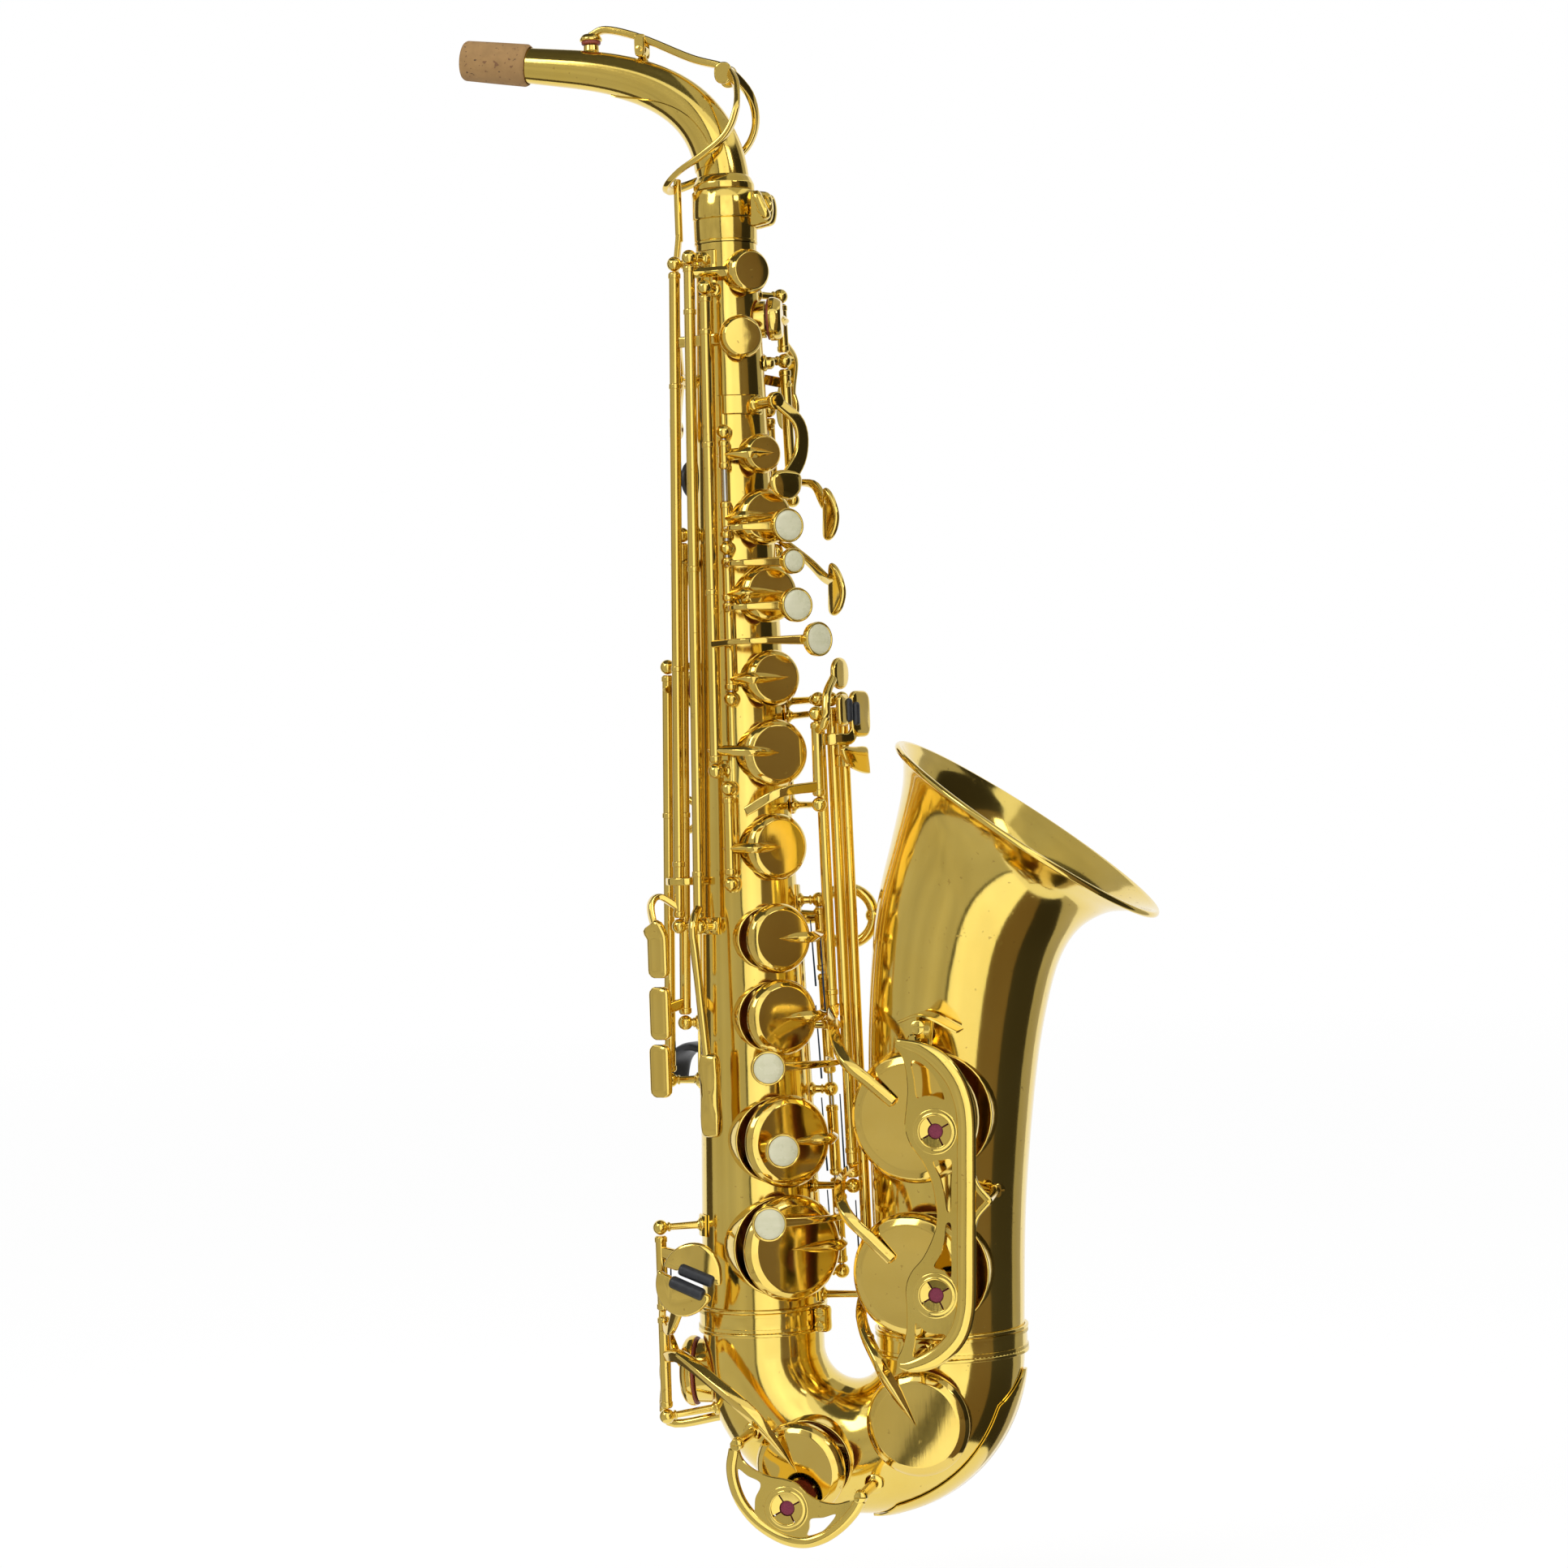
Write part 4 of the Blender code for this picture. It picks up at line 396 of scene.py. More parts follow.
def bar(points, sizes, section=ROUND, side=UP, steps=6, closed=False):
    """Bar along a smooth line; sizes holds half width and half height, for each point or one pair for all."""
    if not isinstance(sizes, list):
        sizes = [sizes] * len(points)
    if steps > 1:
        sizes = flow([Vector(s) for s in sizes], steps, closed)
        points = flow(points, steps, closed)
    count = len(points)
    rings = []
    for index, point in enumerate(points):
        before = points[index - 1] if index or closed else points[0]
        after = points[(index + 1) % count] if index < count - 1 or closed else points[-1]
        way = (after - before).normalized()
        wide = side - way * side.dot(way)
        if wide.length < 0.05:
            wide = across(way)[0]
        wide = wide.normalized()
        tall = way.cross(wide).normalized()
        half_wide, half_tall = max(sizes[index][0], 0.05), max(sizes[index][1], 0.05)
        rings.append([point + wide * (u * half_wide) + tall * (v * half_tall) for u, v in section])
    if not closed:
        for end, into in ((0, 1), (-1, -2)):
            push = (points[end] - points[into]).normalized() * min(sizes[end][0], sizes[end][1]) * 0.35
            cap = [points[end] + push + (p - points[end]) * 0.7 for p in rings[end]]
            if end == 0:
                rings.insert(0, cap)
            else:
                rings.append(cap)
    return skin(rings, closed)


def pipe(start, end, radius, sides=20):
    length = (end - start).length
    edge = min(0.35, radius * 0.3)
    profile = [(radius - edge, 0), (radius, edge), (radius, length - edge), (radius - edge, length)]
    return turned(profile, start, end - start, sides)


def rounded_outline(width, height, power=2.6, count=36):
    points = []
    for step in range(count):
        turn = math.tau * step / count
        c, s = math.cos(turn), math.sin(turn)
        x = math.copysign(abs(c) ** (2 / power), c) * width / 2
        points.append((x, math.copysign(abs(s) ** (2 / power), s) * height / 2))
    return points


def drawn_outline(points, steps=5):
    return [(p.x, p.y) for p in flow([Vector(q) for q in points], steps, True)]


def plate(outline, centre, normal, thickness, up=UP, edge=0.8, curl=0.0, dome=0.0):
    """Pillow-edged plate; curl bends it along its height and dome swells its faces."""
    normal = normal.normalized()
    wide = up.cross(normal).normalized()
    tall = normal.cross(wide).normalized()
    reach = max(abs(y) for x, y in outline)
    half = thickness / 2
    levels = [(-half, edge + 0.6), (-half, edge), (-half * 0.75, edge * 0.35), (-half * 0.25, 0),
              (half * 0.25, 0), (half * 0.75, edge * 0.35), (half, edge), (half + dome, edge * 2.2)]
    rings = []
    for height, inset in levels:
        ring = []
        for x, y in outline:
            far = math.hypot(x, y)
            keep = max(0.05, (far - inset) / far) if far else 0
            bend = curl * (y / reach) ** 2
            ring.append(centre + wide * (x * keep) + tall * (y * keep) + normal * (height + bend))
        rings.append(ring)
    return skin(rings)


def saddle(angle_from, angle_to, low, high, stand=SEAT_GAP, thickness=1.2):
    """Rib plate lying round the body tube, with a softened outer edge."""
    steps = max(2, round(abs(angle_to - angle_from) / 4))
    soft = 0.4
    rings = []
    for step in range(steps + 1):
        angle = angle_from + (angle_to - angle_from) * step / steps
        rise = thickness - (soft if step in (0, steps) else 0)
        ring = [off_body(angle, stand, low), off_body(angle, stand + rise - soft, low)]
        ring += [off_body(angle, stand + rise, low + soft), off_body(angle, stand + rise, high - soft)]
        ring += [off_body(angle, stand + rise - soft, high), off_body(angle, stand, high)]
        rings.append(ring)
    return skin(rings)


# Finishes


class Value:
    """A shader value: sums and products of it add Math nodes."""

    def __init__(self, finish, socket):
        self.finish = finish
        self.socket = socket

    def work(self, operation, first, second):
        return self.finish.node("ShaderNodeMath", {"operation": operation}, {0: first, 1: second})

    def __add__(self, other):
        return self.work('ADD', self, other)

    def __radd__(self, other):
        return self.work('ADD', other, self)

    def __sub__(self, other):
        return self.work('SUBTRACT', self, other)

    def __rsub__(self, other):
        return self.work('SUBTRACT', other, self)

    def __mul__(self, other):
        return self.work('MULTIPLY', self, other)

    def __rmul__(self, other):
        return self.work('MULTIPLY', other, self)

    def __gt__(self, other):
        return self.work('GREATER_THAN', self, other)

    def limited(self):
        return self.finish.node("ShaderNodeClamp", {}, {0: self})


class NodeTree:
    """A node tree, with one way of adding nodes to it."""

    def __init__(self, tree):
        self.tree = tree

    def join(self, socket, value):
        if isinstance(value, Value):
            self.tree.links.new(value.socket, socket)
        else:
            socket.default_value = value

    def node(self, kind, settings, sockets, outlet=0):
        made = self.tree.nodes.new(kind)
        for name, value in settings.items():
            setattr(made, name, value)
        for name, value in sockets.items():
            self.join(made.inputs[name], value)
        return Value(self, made.outputs[outlet])

    def seen(self):
        """1 where the surface is looked at, directly or in metal and glass; 0 where it only gives light."""
        rays = ("Is Camera Ray", "Is Glossy Ray", "Is Transmission Ray")
        camera, gloss, glass = (self.node("ShaderNodeLightPath", {}, {}, ray) for ray in rays)
        return (camera + gloss + glass).limited()


class Finish(NodeTree):
    """A material with its shader, and the textures that the finishes share."""

    def __init__(self, name):
        self.material = bpy.data.materials.new(name)
        self.material.use_nodes = True
        super().__init__(self.material.node_tree)
        self.shader = self.tree.nodes["Principled BSDF"]

    def place(self):
        return self.node("ShaderNodeTexCoord", {}, {}, "Object")

    def noise(self, scale, detail=3.0, rough=0.5):
        sockets = {"Vector": self.place(), "Scale": scale, "Detail": detail, "Roughness": rough}
        return self.node("ShaderNodeTexNoise", {}, sockets)

    def stretched_noise(self, scales, detail=2.0):
        vector = self.node("ShaderNodeMapping", {}, {"Vector": self.place(), "Scale": scales})
        return self.node("ShaderNodeTexNoise", {}, {"Vector": vector, "Scale": 1.0, "Detail": detail})

    def blend(self, share, low, high):
        return self.over(share, (*low, 1), high)

    def over(self, share, low, high):
        return self.node("ShaderNodeMixRGB", {}, {0: share, 1: low, 2: (*high, 1)})

    def bump(self, height, strength, distance):
        return self.node("ShaderNodeBump", {}, {"Height": height, "Strength": strength, "Distance": distance})

    def dress(self, **sockets):
        for name, value in sockets.items():
            self.join(self.shader.inputs[name.replace("_", " ")], value)
        return self.material


def brass_finish(name, light, deep, rough):
    """Lacquered brass: slow shifts of tone, fine rubbing marks and a few dull specks."""
    made = Finish(name)
    tone = (made.noise(28, 4, 0.6) * 1.6 - 0.3).limited()
    rub = made.stretched_noise((900, 900, 60))
    speck = made.noise(420, 2) > 0.72
    colour = made.over(speck * 0.35, made.blend(tone, deep, light), (0.30, 0.16, 0.03))
    grain = made.noise(160, 5, 0.65)
    height = made.noise(46, 2) * 0.8 + rub * 0.06 + grain * 0.05
    return made.dress(Base_Color=colour, Metallic=1.0, Coat_Weight=0.25, Coat_Roughness=0.04,
                      Roughness=rough + grain * 0.05 + rub * 0.03 + speck * 0.15,
                      Normal=made.bump(height, 0.05, 0.002))


def cork_finish():
    made = Finish("cork_sheet")
    grain = made.noise(220, 5, 0.6)
    warm = made.blend((grain * 1.8 - 0.4).limited(), (0.20, 0.108, 0.030), (0.28, 0.158, 0.052))
    pit = made.noise(520, 1) > 0.70
    fleck = made.stretched_noise((420, 640, 640), 1) > 0.71
    colour = made.over(fleck * 0.85, made.over(pit * 0.7, warm, (0.10, 0.035, 0.012)), (0.035, 0.012, 0.006))
    height = grain - pit * 0.8 - fleck * 0.8
    return made.dress(Base_Color=colour, Roughness=0.72 + grain * 0.2, Normal=made.bump(height, 0.35, 0.0006))


def pearl_finish():
    made = Finish("pearl_shell")
    cloud = made.noise(150, 4, 0.6)
    stripe = made.stretched_noise((60, 60, 420), 2)
    colour = made.blend((cloud * 0.8 + stripe * 0.7 - 0.3).limited(), (0.40, 0.39, 0.24), (0.54, 0.52, 0.37))
    return made.dress(Base_Color=colour, Roughness=0.22 + cloud * 0.12, Coat_Weight=0.5, Coat_Roughness=0.08,
                      Normal=made.bump(stripe, 0.02, 0.001))


def leather_finish():
    made = Finish("pad_leather")
    grain = made.noise(900, 4, 0.6)
    colour = made.blend(grain, (0.13, 0.018, 0.008), (0.27, 0.050, 0.022))
    return made.dress(Base_Color=colour, Roughness=0.42 + grain * 0.2, Normal=made.bump(grain, 0.3, 0.0004))


def felt_finish():
    made = Finish("bumper_felt")
    fuzz = made.noise(1500, 6, 0.7)
    colour = made.blend(fuzz, (0.09, 0.008, 0.022), (0.22, 0.025, 0.060))
    return made.dress(Base_Color=colour, Roughness=0.85 + fuzz * 0.15, Normal=made.bump(fuzz, 0.6, 0.0006))


def plastic_finish():
    made = Finish("black_moulding")
    grain = made.noise(500, 3)
    colour = made.blend(grain, (0.006, 0.007, 0.009), (0.022, 0.024, 0.030))
    return made.dress(Base_Color=colour, Roughness=0.28 + grain * 0.18, Normal=made.bump(grain, 0.06, 0.0005))


def spring_finish():
    made = Finish("blued_needle")
    tone = made.noise(300, 2)
    colour = made.blend(tone, (0.012, 0.022, 0.055), (0.03, 0.06, 0.13))
    return made.dress(Base_Color=colour, Metallic=1.0, Roughness=0.25 + tone * 0.1)


def steel_finish():
    made = Finish("screw_steel")
    rub = made.stretched_noise((700, 700, 90))
    colour = made.blend(rub, (0.50, 0.49, 0.46), (0.66, 0.65, 0.62))
    return made.dress(Base_Color=colour, Metallic=1.0, Roughness=0.16 + rub * 0.12)


BRASS_LIGHT = (0.86, 0.66, 0.17)
BRASS_DEEP = (0.80, 0.57, 0.11)
TUBE_BRASS = brass_finish("tube_lacquer", BRASS_LIGHT, BRASS_DEEP, 0.07)
KEY_BRASS = brass_finish("key_lacquer", (0.85, 0.64, 0.17), (0.79, 0.55, 0.105), 0.055)
CORK = cork_finish()
PEARL = pearl_finish()
LEATHER = leather_finish()
FELT = felt_finish()
PLASTIC = plastic_finish()
BLUED = spring_finish()
STEEL = steel_finish()


# Pieces


def make_mesh(name, shells):
    points = []
    faces = []
    for shell_points, shell_faces in shells:
        start = len(points)
        points += [tuple(p) for p in shell_points]
        faces += [tuple(start + k for k in face) for face in shell_faces]
    mesh = bpy.data.meshes.new(name)
    mesh.from_pydata(points, [], faces)
    work = bmesh.new()
    work.from_mesh(mesh)
    bmesh.ops.recalc_face_normals(work, faces=work.faces)
    work.to_mesh(mesh)
    work.free()
    item = bpy.data.objects.new(name, mesh)
    bpy.context.collection.objects.link(item)
    return item


def cut_out(item, tools):
    for tool in tools:
        step = item.modifiers.new("cut", 'BOOLEAN')
        step.operation = 'DIFFERENCE'
        step.solver = 'EXACT'
        step.object = tool
    graph = bpy.context.evaluated_depsgraph_get()
    mesh = bpy.data.meshes.new_from_object(item.evaluated_get(graph))
    item.modifiers.clear()
    item.data = mesh
    for tool in tools:
        bpy.data.objects.remove(tool, do_unlink=True)
    return item


def settle(item, finish, body="body", stands_for=(), turn=None, sharp=SHARP_EDGE):
    """Bring a piece from tube millimetres into the row frame and hang it on its body."""
    place = Matrix.Translation(OFFSET * MM) @ Matrix.Scale(MM, 4)
    if turn:
        point, axis, angle = turn
        place = place @ Matrix.Translation(point) @ Matrix.Rotation(angle, 4, axis)
        place = place @ Matrix.Translation(-point)
    item.data.transform(place)
    item.data.materials.clear()
    item.data.materials.append(finish)
    item.data.shade_smooth()
    item.data.set_sharp_from_angle(angle=math.radians(sharp))
    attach(item, body)
    if stands_for:
        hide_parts(*stands_for)
    return item


def add(name, shells, finish, body="body", stands_for=(), turn=None, sharp=SHARP_EDGE):
    return settle(make_mesh(name, shells), finish, body, stands_for, turn, sharp)


# Tube, bow and bell


def chimney(hole, depth):
    outer = hole.cup - HOLE_WALL
    inner = hole.cup - 2 * HOLE_WALL
    profile = soften([(outer, -depth), (outer, 0), (inner, 0), (inner, -depth)], 0.5, True)
    return turned(profile, hole.rim, hole.normal, 40, True)


def hole_cutter(hole, depth):
    radius = hole.cup - 1.5 * HOLE_WALL
    return make_mesh("cutter", [turned([(radius, -depth), (radius, 3)], hole.rim, hole.normal, 40)])


def make_body_tube():
    steps = 60
    heights = [BODY_FOOT_Z + (BODY_TOP_Z - BODY_FOOT_Z) * k / steps for k in range(steps + 1)]
    profile = [(body_radius(z), z) for z in heights]
    profile += [(body_radius(z) - BODY_WALL, z) for z in heights[::-1]]
    tube = make_mesh("body_tube_shell", [turned(profile, Vector(), UP, 80, True)])
    cut_out(tube, [hole_cutter(hole, hole.rim.xy.length * 0.62) for hole in HOLES.values()])
    settle(tube, TUBE_BRASS, stands_for=["body_tube"])
    add("body_tone_holes", [chimney(hole, hole.rim.xy.length * 0.5) for hole in HOLES.values()], TUBE_BRASS)


def make_bow():
    outer = []
    inner = []
    steps = 48
    for step in range(-2, steps + 3):
        turn = math.pi * min(max(step, 0), steps) / steps
        centre, out, radius = bow_station(turn)
        if step < 0:
            centre.z = BODY_FOOT_Z - SEAT_GAP - BOW_LEG * 0.5 * (step + 2)
        if step > steps:
            foot = centre.z
            centre.z = foot + (BELL_FOOT_Z - SEAT_GAP - foot) * (step - steps) / 2
        outer.append(circle(centre, out, SIDE, radius, 72))
        inner.append(circle(centre, out, SIDE, radius - TUBE_WALL, 72))
    bow = make_mesh("bow_shell", [skin(outer + inner[::-1], True)])
    holes = [LOW_C_HOLE, LOW_CS_HOLE, LOW_EB_HOLE]
    cut_out(bow, [hole_cutter(hole, 16) for hole in holes])
    settle(bow, TUBE_BRASS, stands_for=["bow"])
    add("bow_tone_holes", [chimney(hole, 13) for hole in holes], TUBE_BRASS)


def bell_circle(x, z, radius, tilt, sides=96):
    first = Vector((math.cos(tilt), 0, -math.sin(tilt)))
    return circle(Vector((x, 0, z)), first, SIDE, radius, sides)


def make_bell():
    stations = flow(bell_stations(), 7)
    outer = [bell_circle(*row) for row in stations]
    inner = [bell_circle(row[0], row[1], row[2] - 1.1, row[3]) for row in stations]
    bell = make_mesh("bell_shell", [skin(outer + inner[::-1], True)])
    holes = [LOW_B_HOLE, LOW_BB_HOLE]
    cut_out(bell, [hole_cutter(hole, 18) for hole in holes])
    settle(bell, TUBE_BRASS, stands_for=["bell"])
    x, z, radius, tilt = stations[-1]
    bead = bell_circle(x - 0.7, z - 1.0, radius - 0.1, tilt)
    way = Vector((math.sin(tilt), 0, math.cos(tilt)))
    fine_row = stations[-4]
    fine = bell_circle(fine_row[0], fine_row[1], fine_row[2] + 0.05, fine_row[3])
    shells = [bar(bead, (1.35, 1.35), ROUND, way, 1, True),
              bar(fine, (0.35, 0.35), unit_circle(8), way, 1, True)]
    add("bell_rim_and_tone_holes", shells + [chimney(hole, 15) for hole in holes], TUBE_BRASS)


def knurl(x, z, radius, count=200):
    """Fine ribbed bead round a tube."""
    rings = []
    for height, rise in ((-0.9, -0.5), (-0.6, 0.25), (0.6, 0.25), (0.9, -0.5)):
        ring = []
        for step in range(count):
            turn = math.tau * step / count
            reach = radius + rise + (0.16 if step % 2 else -0.16) * (rise > 0)
            ring.append(Vector((x + reach * math.cos(turn), reach * math.sin(turn), z + height)))
        rings.append(ring)
    rings.append([Vector((x + (p.x - x) * 0.96, p.y * 0.96, z + 0.9)) for p in rings[0]])
    rings.append([Vector((x + (p.x - x) * 0.96, p.y * 0.96, z - 0.9)) for p in rings[0]])
    return skin(rings, True)


def screw_head(point, axis, radius, height=1.6):
    """Slotted head made of two halves with the slot left between them."""
    axis = axis.normalized()
    first, second = across(axis)
    shells = [turned(soften([(radius, 0), (radius, height * 0.5)], 0.2), point, axis, 20)]
    for sign in (-1, 1):
        outline = []
        for step in range(15):
            turn = math.pi * (step / 14)
            y = max(radius * 0.98 * math.sin(turn), radius * 0.16)
            outline.append((radius * 0.98 * math.cos(turn), sign * y))
        low = [point + axis * height * 0.45 + first * x + second * y for x, y in outline]
        shells.append(skin([low, [p + axis * height * 0.4 for p in low],
                            [point + (p - point) * 0.82 + axis * height * 0.6 for p in low]]))
    return shells


def joint_band(name, x, z, radius, node):
    low = radius + SEAT_GAP
    profile = [(low, -5.5), (low + 1.5, -5.5), (low + 1.5, -4.3), (low + 0.9, -3.9), (low + 0.9, 3.9),
               (low + 1.5, 4.3), (low + 1.5, 5.5), (low, 5.5)]
    band = turned(soften(profile, 0.4, True), Vector((x, 0, z)), UP, 96, True)
    shells = [band, knurl(x, z - 3.1, low + 0.9), knurl(x, z + 3.1, low + 0.9)]
    return add(name, shells, TUBE_BRASS, stands_for=[node], sharp=50)


def ring_clamp():
    """Clamp lug of the body-to-bow ring, with its two screws."""
    angle = 19
    middle = polar(angle, BODY_FOOT_RADIUS + 4.6, BODY_FOOT_Z)
    shells = [plate(rounded_outline(5.5, 11, 5), middle, around(angle), 5.5, UP)]
    for rise in (-2.8, 2.8):
        shells += screw_head(middle + around(angle) * 2.6 + UP * rise, around(angle), 2.1)
    add("ring_clamp_lug", shells, TUBE_BRASS)


STRIP_SECTION = [(-1, 0), (-1, 0.5), (-0.9, 1.0), (-0.5, 1.2), (0, 1.3), (0.5, 1.2), (0.9, 1.0), (1, 0.5),
                 (1, 0), (0.5, 0), (0, 0), (-0.5, 0)]


def make_bow_strip():
    rings = []
    for step in range(41):
        centre, out, radius = bow_station(math.radians(94 + step * 2))
        half = math.radians(33) * min(1.0, min(step, 40 - step) / 7 + 0.12)
        low = radius + SEAT_GAP
        ring = []
        for share, rise in STRIP_SECTION:
            way = out * math.cos(share * half) + SIDE * math.sin(share * half)
            ring.append(centre + way * (low + rise))
        rings.append(ring)
    add("bow_wear_strip", [skin(rings)], TUBE_BRASS, stands_for=["bow_guard_strip"])


# Neck


def make_receiver():
    low = BODY_TOP_Z + SEAT_GAP
    inner = TENON_RADIUS + 0.4
    height = RECEIVER_TOP_Z - low
    profile = [(inner, 0), (13.0, 0), (13.1, 0.8), (12.75, 1.1), (13.0, 1.5), (13.15, 9.6), (12.8, 9.9),
               (13.25, 10.3), (RECEIVER_RADIUS, 10.8), (RECEIVER_RADIUS, height - 0.4), (13.1, height),
               (inner, height)]
    shells = [turned(profile, Vector((0, 0, low)), UP, 64, True)]
    lug_z = RECEIVER_TOP_Z - 8
    cheek = [(-5.5, 6.4), (1, 6.8), (4.2, 5.2), (5.2, 0), (4.2, -5.2), (1, -6.8), (-5.5, -6.4)]
    cheek = drawn_outline(cheek)
    for sign in (-1, 1):
        shells.append(plate(cheek, Vector((16.2, sign * 2.9, lug_z)), Vector((0, -1, 0)), 4.1, UP, 0.7))
    add("neck_receiver_collar", shells, TUBE_BRASS, stands_for=["neck_receiver"])

    middle = Vector((RECEIVER_RADIUS + 5, 0, lug_z))
    head = middle + Vector((0, -LUG_HALF_WIDTH - 0.4, 0))
    way = Vector((0, -1, 0))
    shells = [pipe(middle + Vector((0, 4.8, 0)), head, 1.6)]
    profile = soften([(3.4, 0), (3.4, 1.2), (2.4, 1.8), (2.4, 2.6), (2.9, 3.2)], 0.4)
    shells.append(turned(profile, head, way, 24))
    thumb = [(0, 6.4), (2.4, 5.0), (2.9, 0), (2.4, -5.0), (0, -6.4), (-2.4, -5.0), (-2.9, 0), (-2.4, 5.0)]
    facing, upright = Vector((0.92, 0, 0.39)), Vector((-0.39, 0, 0.92))
    shells.append(plate(drawn_outline(thumb), head + way * 5.4, facing, 3.2, upright, 0.9, 0, 0.3))
    add("neck_clamp_screw", shells, TUBE_BRASS, "neck_screw", ["neck_screw"])


def neck_path(steps=40):
    base = Vector((0, 0, RECEIVER_TOP_Z + SEAT_GAP))
    level = NECK_TIP + Vector((1, 0, -NECK_RISE)) * (CORK_LENGTH + 18)
    first = base + Vector((0, 0, 36))
    second = level + Vector((38, 0, -38 * NECK_RISE))
    points = []
    for step in range(steps + 1):
        t = step / steps
        mix = base * (1 - t) ** 3 + first * (3 * t * (1 - t) ** 2)
        points.append(mix + second * (3 * t * t * (1 - t)) + level * t ** 3)
    shoulder = NECK_TIP + (level - NECK_TIP).normalized() * CORK_LENGTH
    points += [level.lerp(shoulder, 0.5), shoulder, shoulder.lerp(NECK_TIP, 0.5), NECK_TIP]
    total = sum((q - p).length for p, q in zip(points, points[1:]))
    radii = []
    gone = 0.0
    for index, point in enumerate(points):
        gone += (point - points[index - 1]).length if index else 0
        radii.append(NECK_RADIUS + (NECK_TIP_RADIUS - NECK_RADIUS) * gone / total)
    return points, radii


def neck_rings(points, radii, sides=56):
    rings = []
    for index, point in enumerate(points):
        way = (points[min(index + 1, len(points) - 1)] - points[max(index - 1, 0)]).normalized()
        rings.append(circle(point, SIDE.cross(way).normalized(), SIDE, radii[index], sides))
    return rings


def neck_top_at(x):
    points, radii = neck_path(7)
    for (p, q), radius in zip(zip(points, points[1:]), radii):
        if q.x <= x <= p.x:
            return p.z + (x - p.x) / (q.x - p.x) * (q.z - p.z), radius
    return points[-1].z, radii[-1]


NECK_SADDLE = Vector((-33, 0, 317.5))
NECK_VENT_X = -55
OCTAVE_LOOP_TOP = Vector((4, 0, 306))
OCTAVE_LOOP_FOOT = Vector((-24, 0, 259))


def neck_brace(points, radii):
    """Stiffening sleeve soldered under the bend, coming to a point towards the cork."""
    rings = []
    last = 33
    for index in range(4, last + 1):
        way = (points[index + 1] - points[index - 1]).normalized()
        down = way.cross(SIDE).normalized()
        if down.z > 0:
            down = -down
        share = (index - 4) / (last - 4)
        reach = math.radians(87) * max(0.04, 1 - share ** 2.2)
        ring = []
        for step in range(13):
            turn = reach * (step / 6 - 1)
            slant = down * math.cos(turn) + SIDE * math.sin(turn)
            ring.append(points[index] + slant * (radii[index] + 0.55))
        for step in range(12, -1, -1):
            turn = reach * 1.04 * (step / 6 - 1)
            slant = down * math.cos(turn) + SIDE * math.sin(turn)
            ring.append(points[index] + slant * (radii[index] - 0.4))
        rings.append(ring)
    return skin(rings)


def make_neck():
    points, radii = neck_path()
    base = RECEIVER_TOP_Z + SEAT_GAP
    run = [Vector((0, 0, base - 18)), Vector((0, 0, base - 0.5))] + points
    sizes = [TENON_RADIUS, TENON_RADIUS] + radii
    outer = neck_rings(run, sizes)
    inner = neck_rings(run, [r - NECK_WALL for r in sizes])
    shells = [skin(outer + inner[::-1], True), neck_brace(points, radii)]
    collar = [(10.4, 0), (NECK_COLLAR_RADIUS, 0), (NECK_COLLAR_RADIUS, 2.6), (12.2, NECK_COLLAR_HEIGHT),
              (11.4, 5.2), (10.4, 6.4)]
    shells.append(turned(soften(collar, 0.5, True), Vector((0, 0, base)), UP, 64, True))
    top, radius = neck_top_at(NECK_SADDLE.x)
    foot = Vector((NECK_SADDLE.x, 0, top + radius - 0.6))
    shells.append(bar([foot, foot.lerp(NECK_SADDLE, 0.4), NECK_SADDLE], [(2.8, 2.8), (1.8, 1.8), (1.8, 1.8)]))
    shells.append(pipe(NECK_SADDLE - SIDE * 2.5, NECK_SADDLE + SIDE * 2.5, 2.5))
    vent_top, vent_radius = neck_top_at(NECK_VENT_X)
    vent = Vector((NECK_VENT_X, 0, vent_top + vent_radius - 0.7))
    nipple = soften([(4.2, -0.6), (3.3, 0.6), (3.2, 3), (1.2, 3), (1.2, -0.6)], 0.3, True)
    shells.append(turned(nipple, vent, UP, 28, True))
    add("neck_pipe", shells, TUBE_BRASS, "neck", ["neck_tube"])

    way = (points[-3] - NECK_TIP).normalized()
    profile = [(6.6, 0), (7.6, 0), (CORK_RADIUS, 1.0), (CORK_RADIUS + 0.3, 15), (CORK_RADIUS + 0.5, 27.6),
               (CORK_RADIUS - 0.2, 28.6), (7.6, 28.7)]
    sleeve = turned(soften(profile, 0.6, True), NECK_TIP, way, 56, True)
    add("neck_cork_sleeve", [sleeve], CORK, "neck", ["neck_cork"])
    tip = [(5.5, -0.1), (6.3, -0.1), (6.35, 0.5), (6.35, 3), (5.5, 3)]
    add("neck_tip_ring", [turned(tip, NECK_TIP, way, 48, True)], TUBE_BRASS, "neck")
    return vent.z + 3


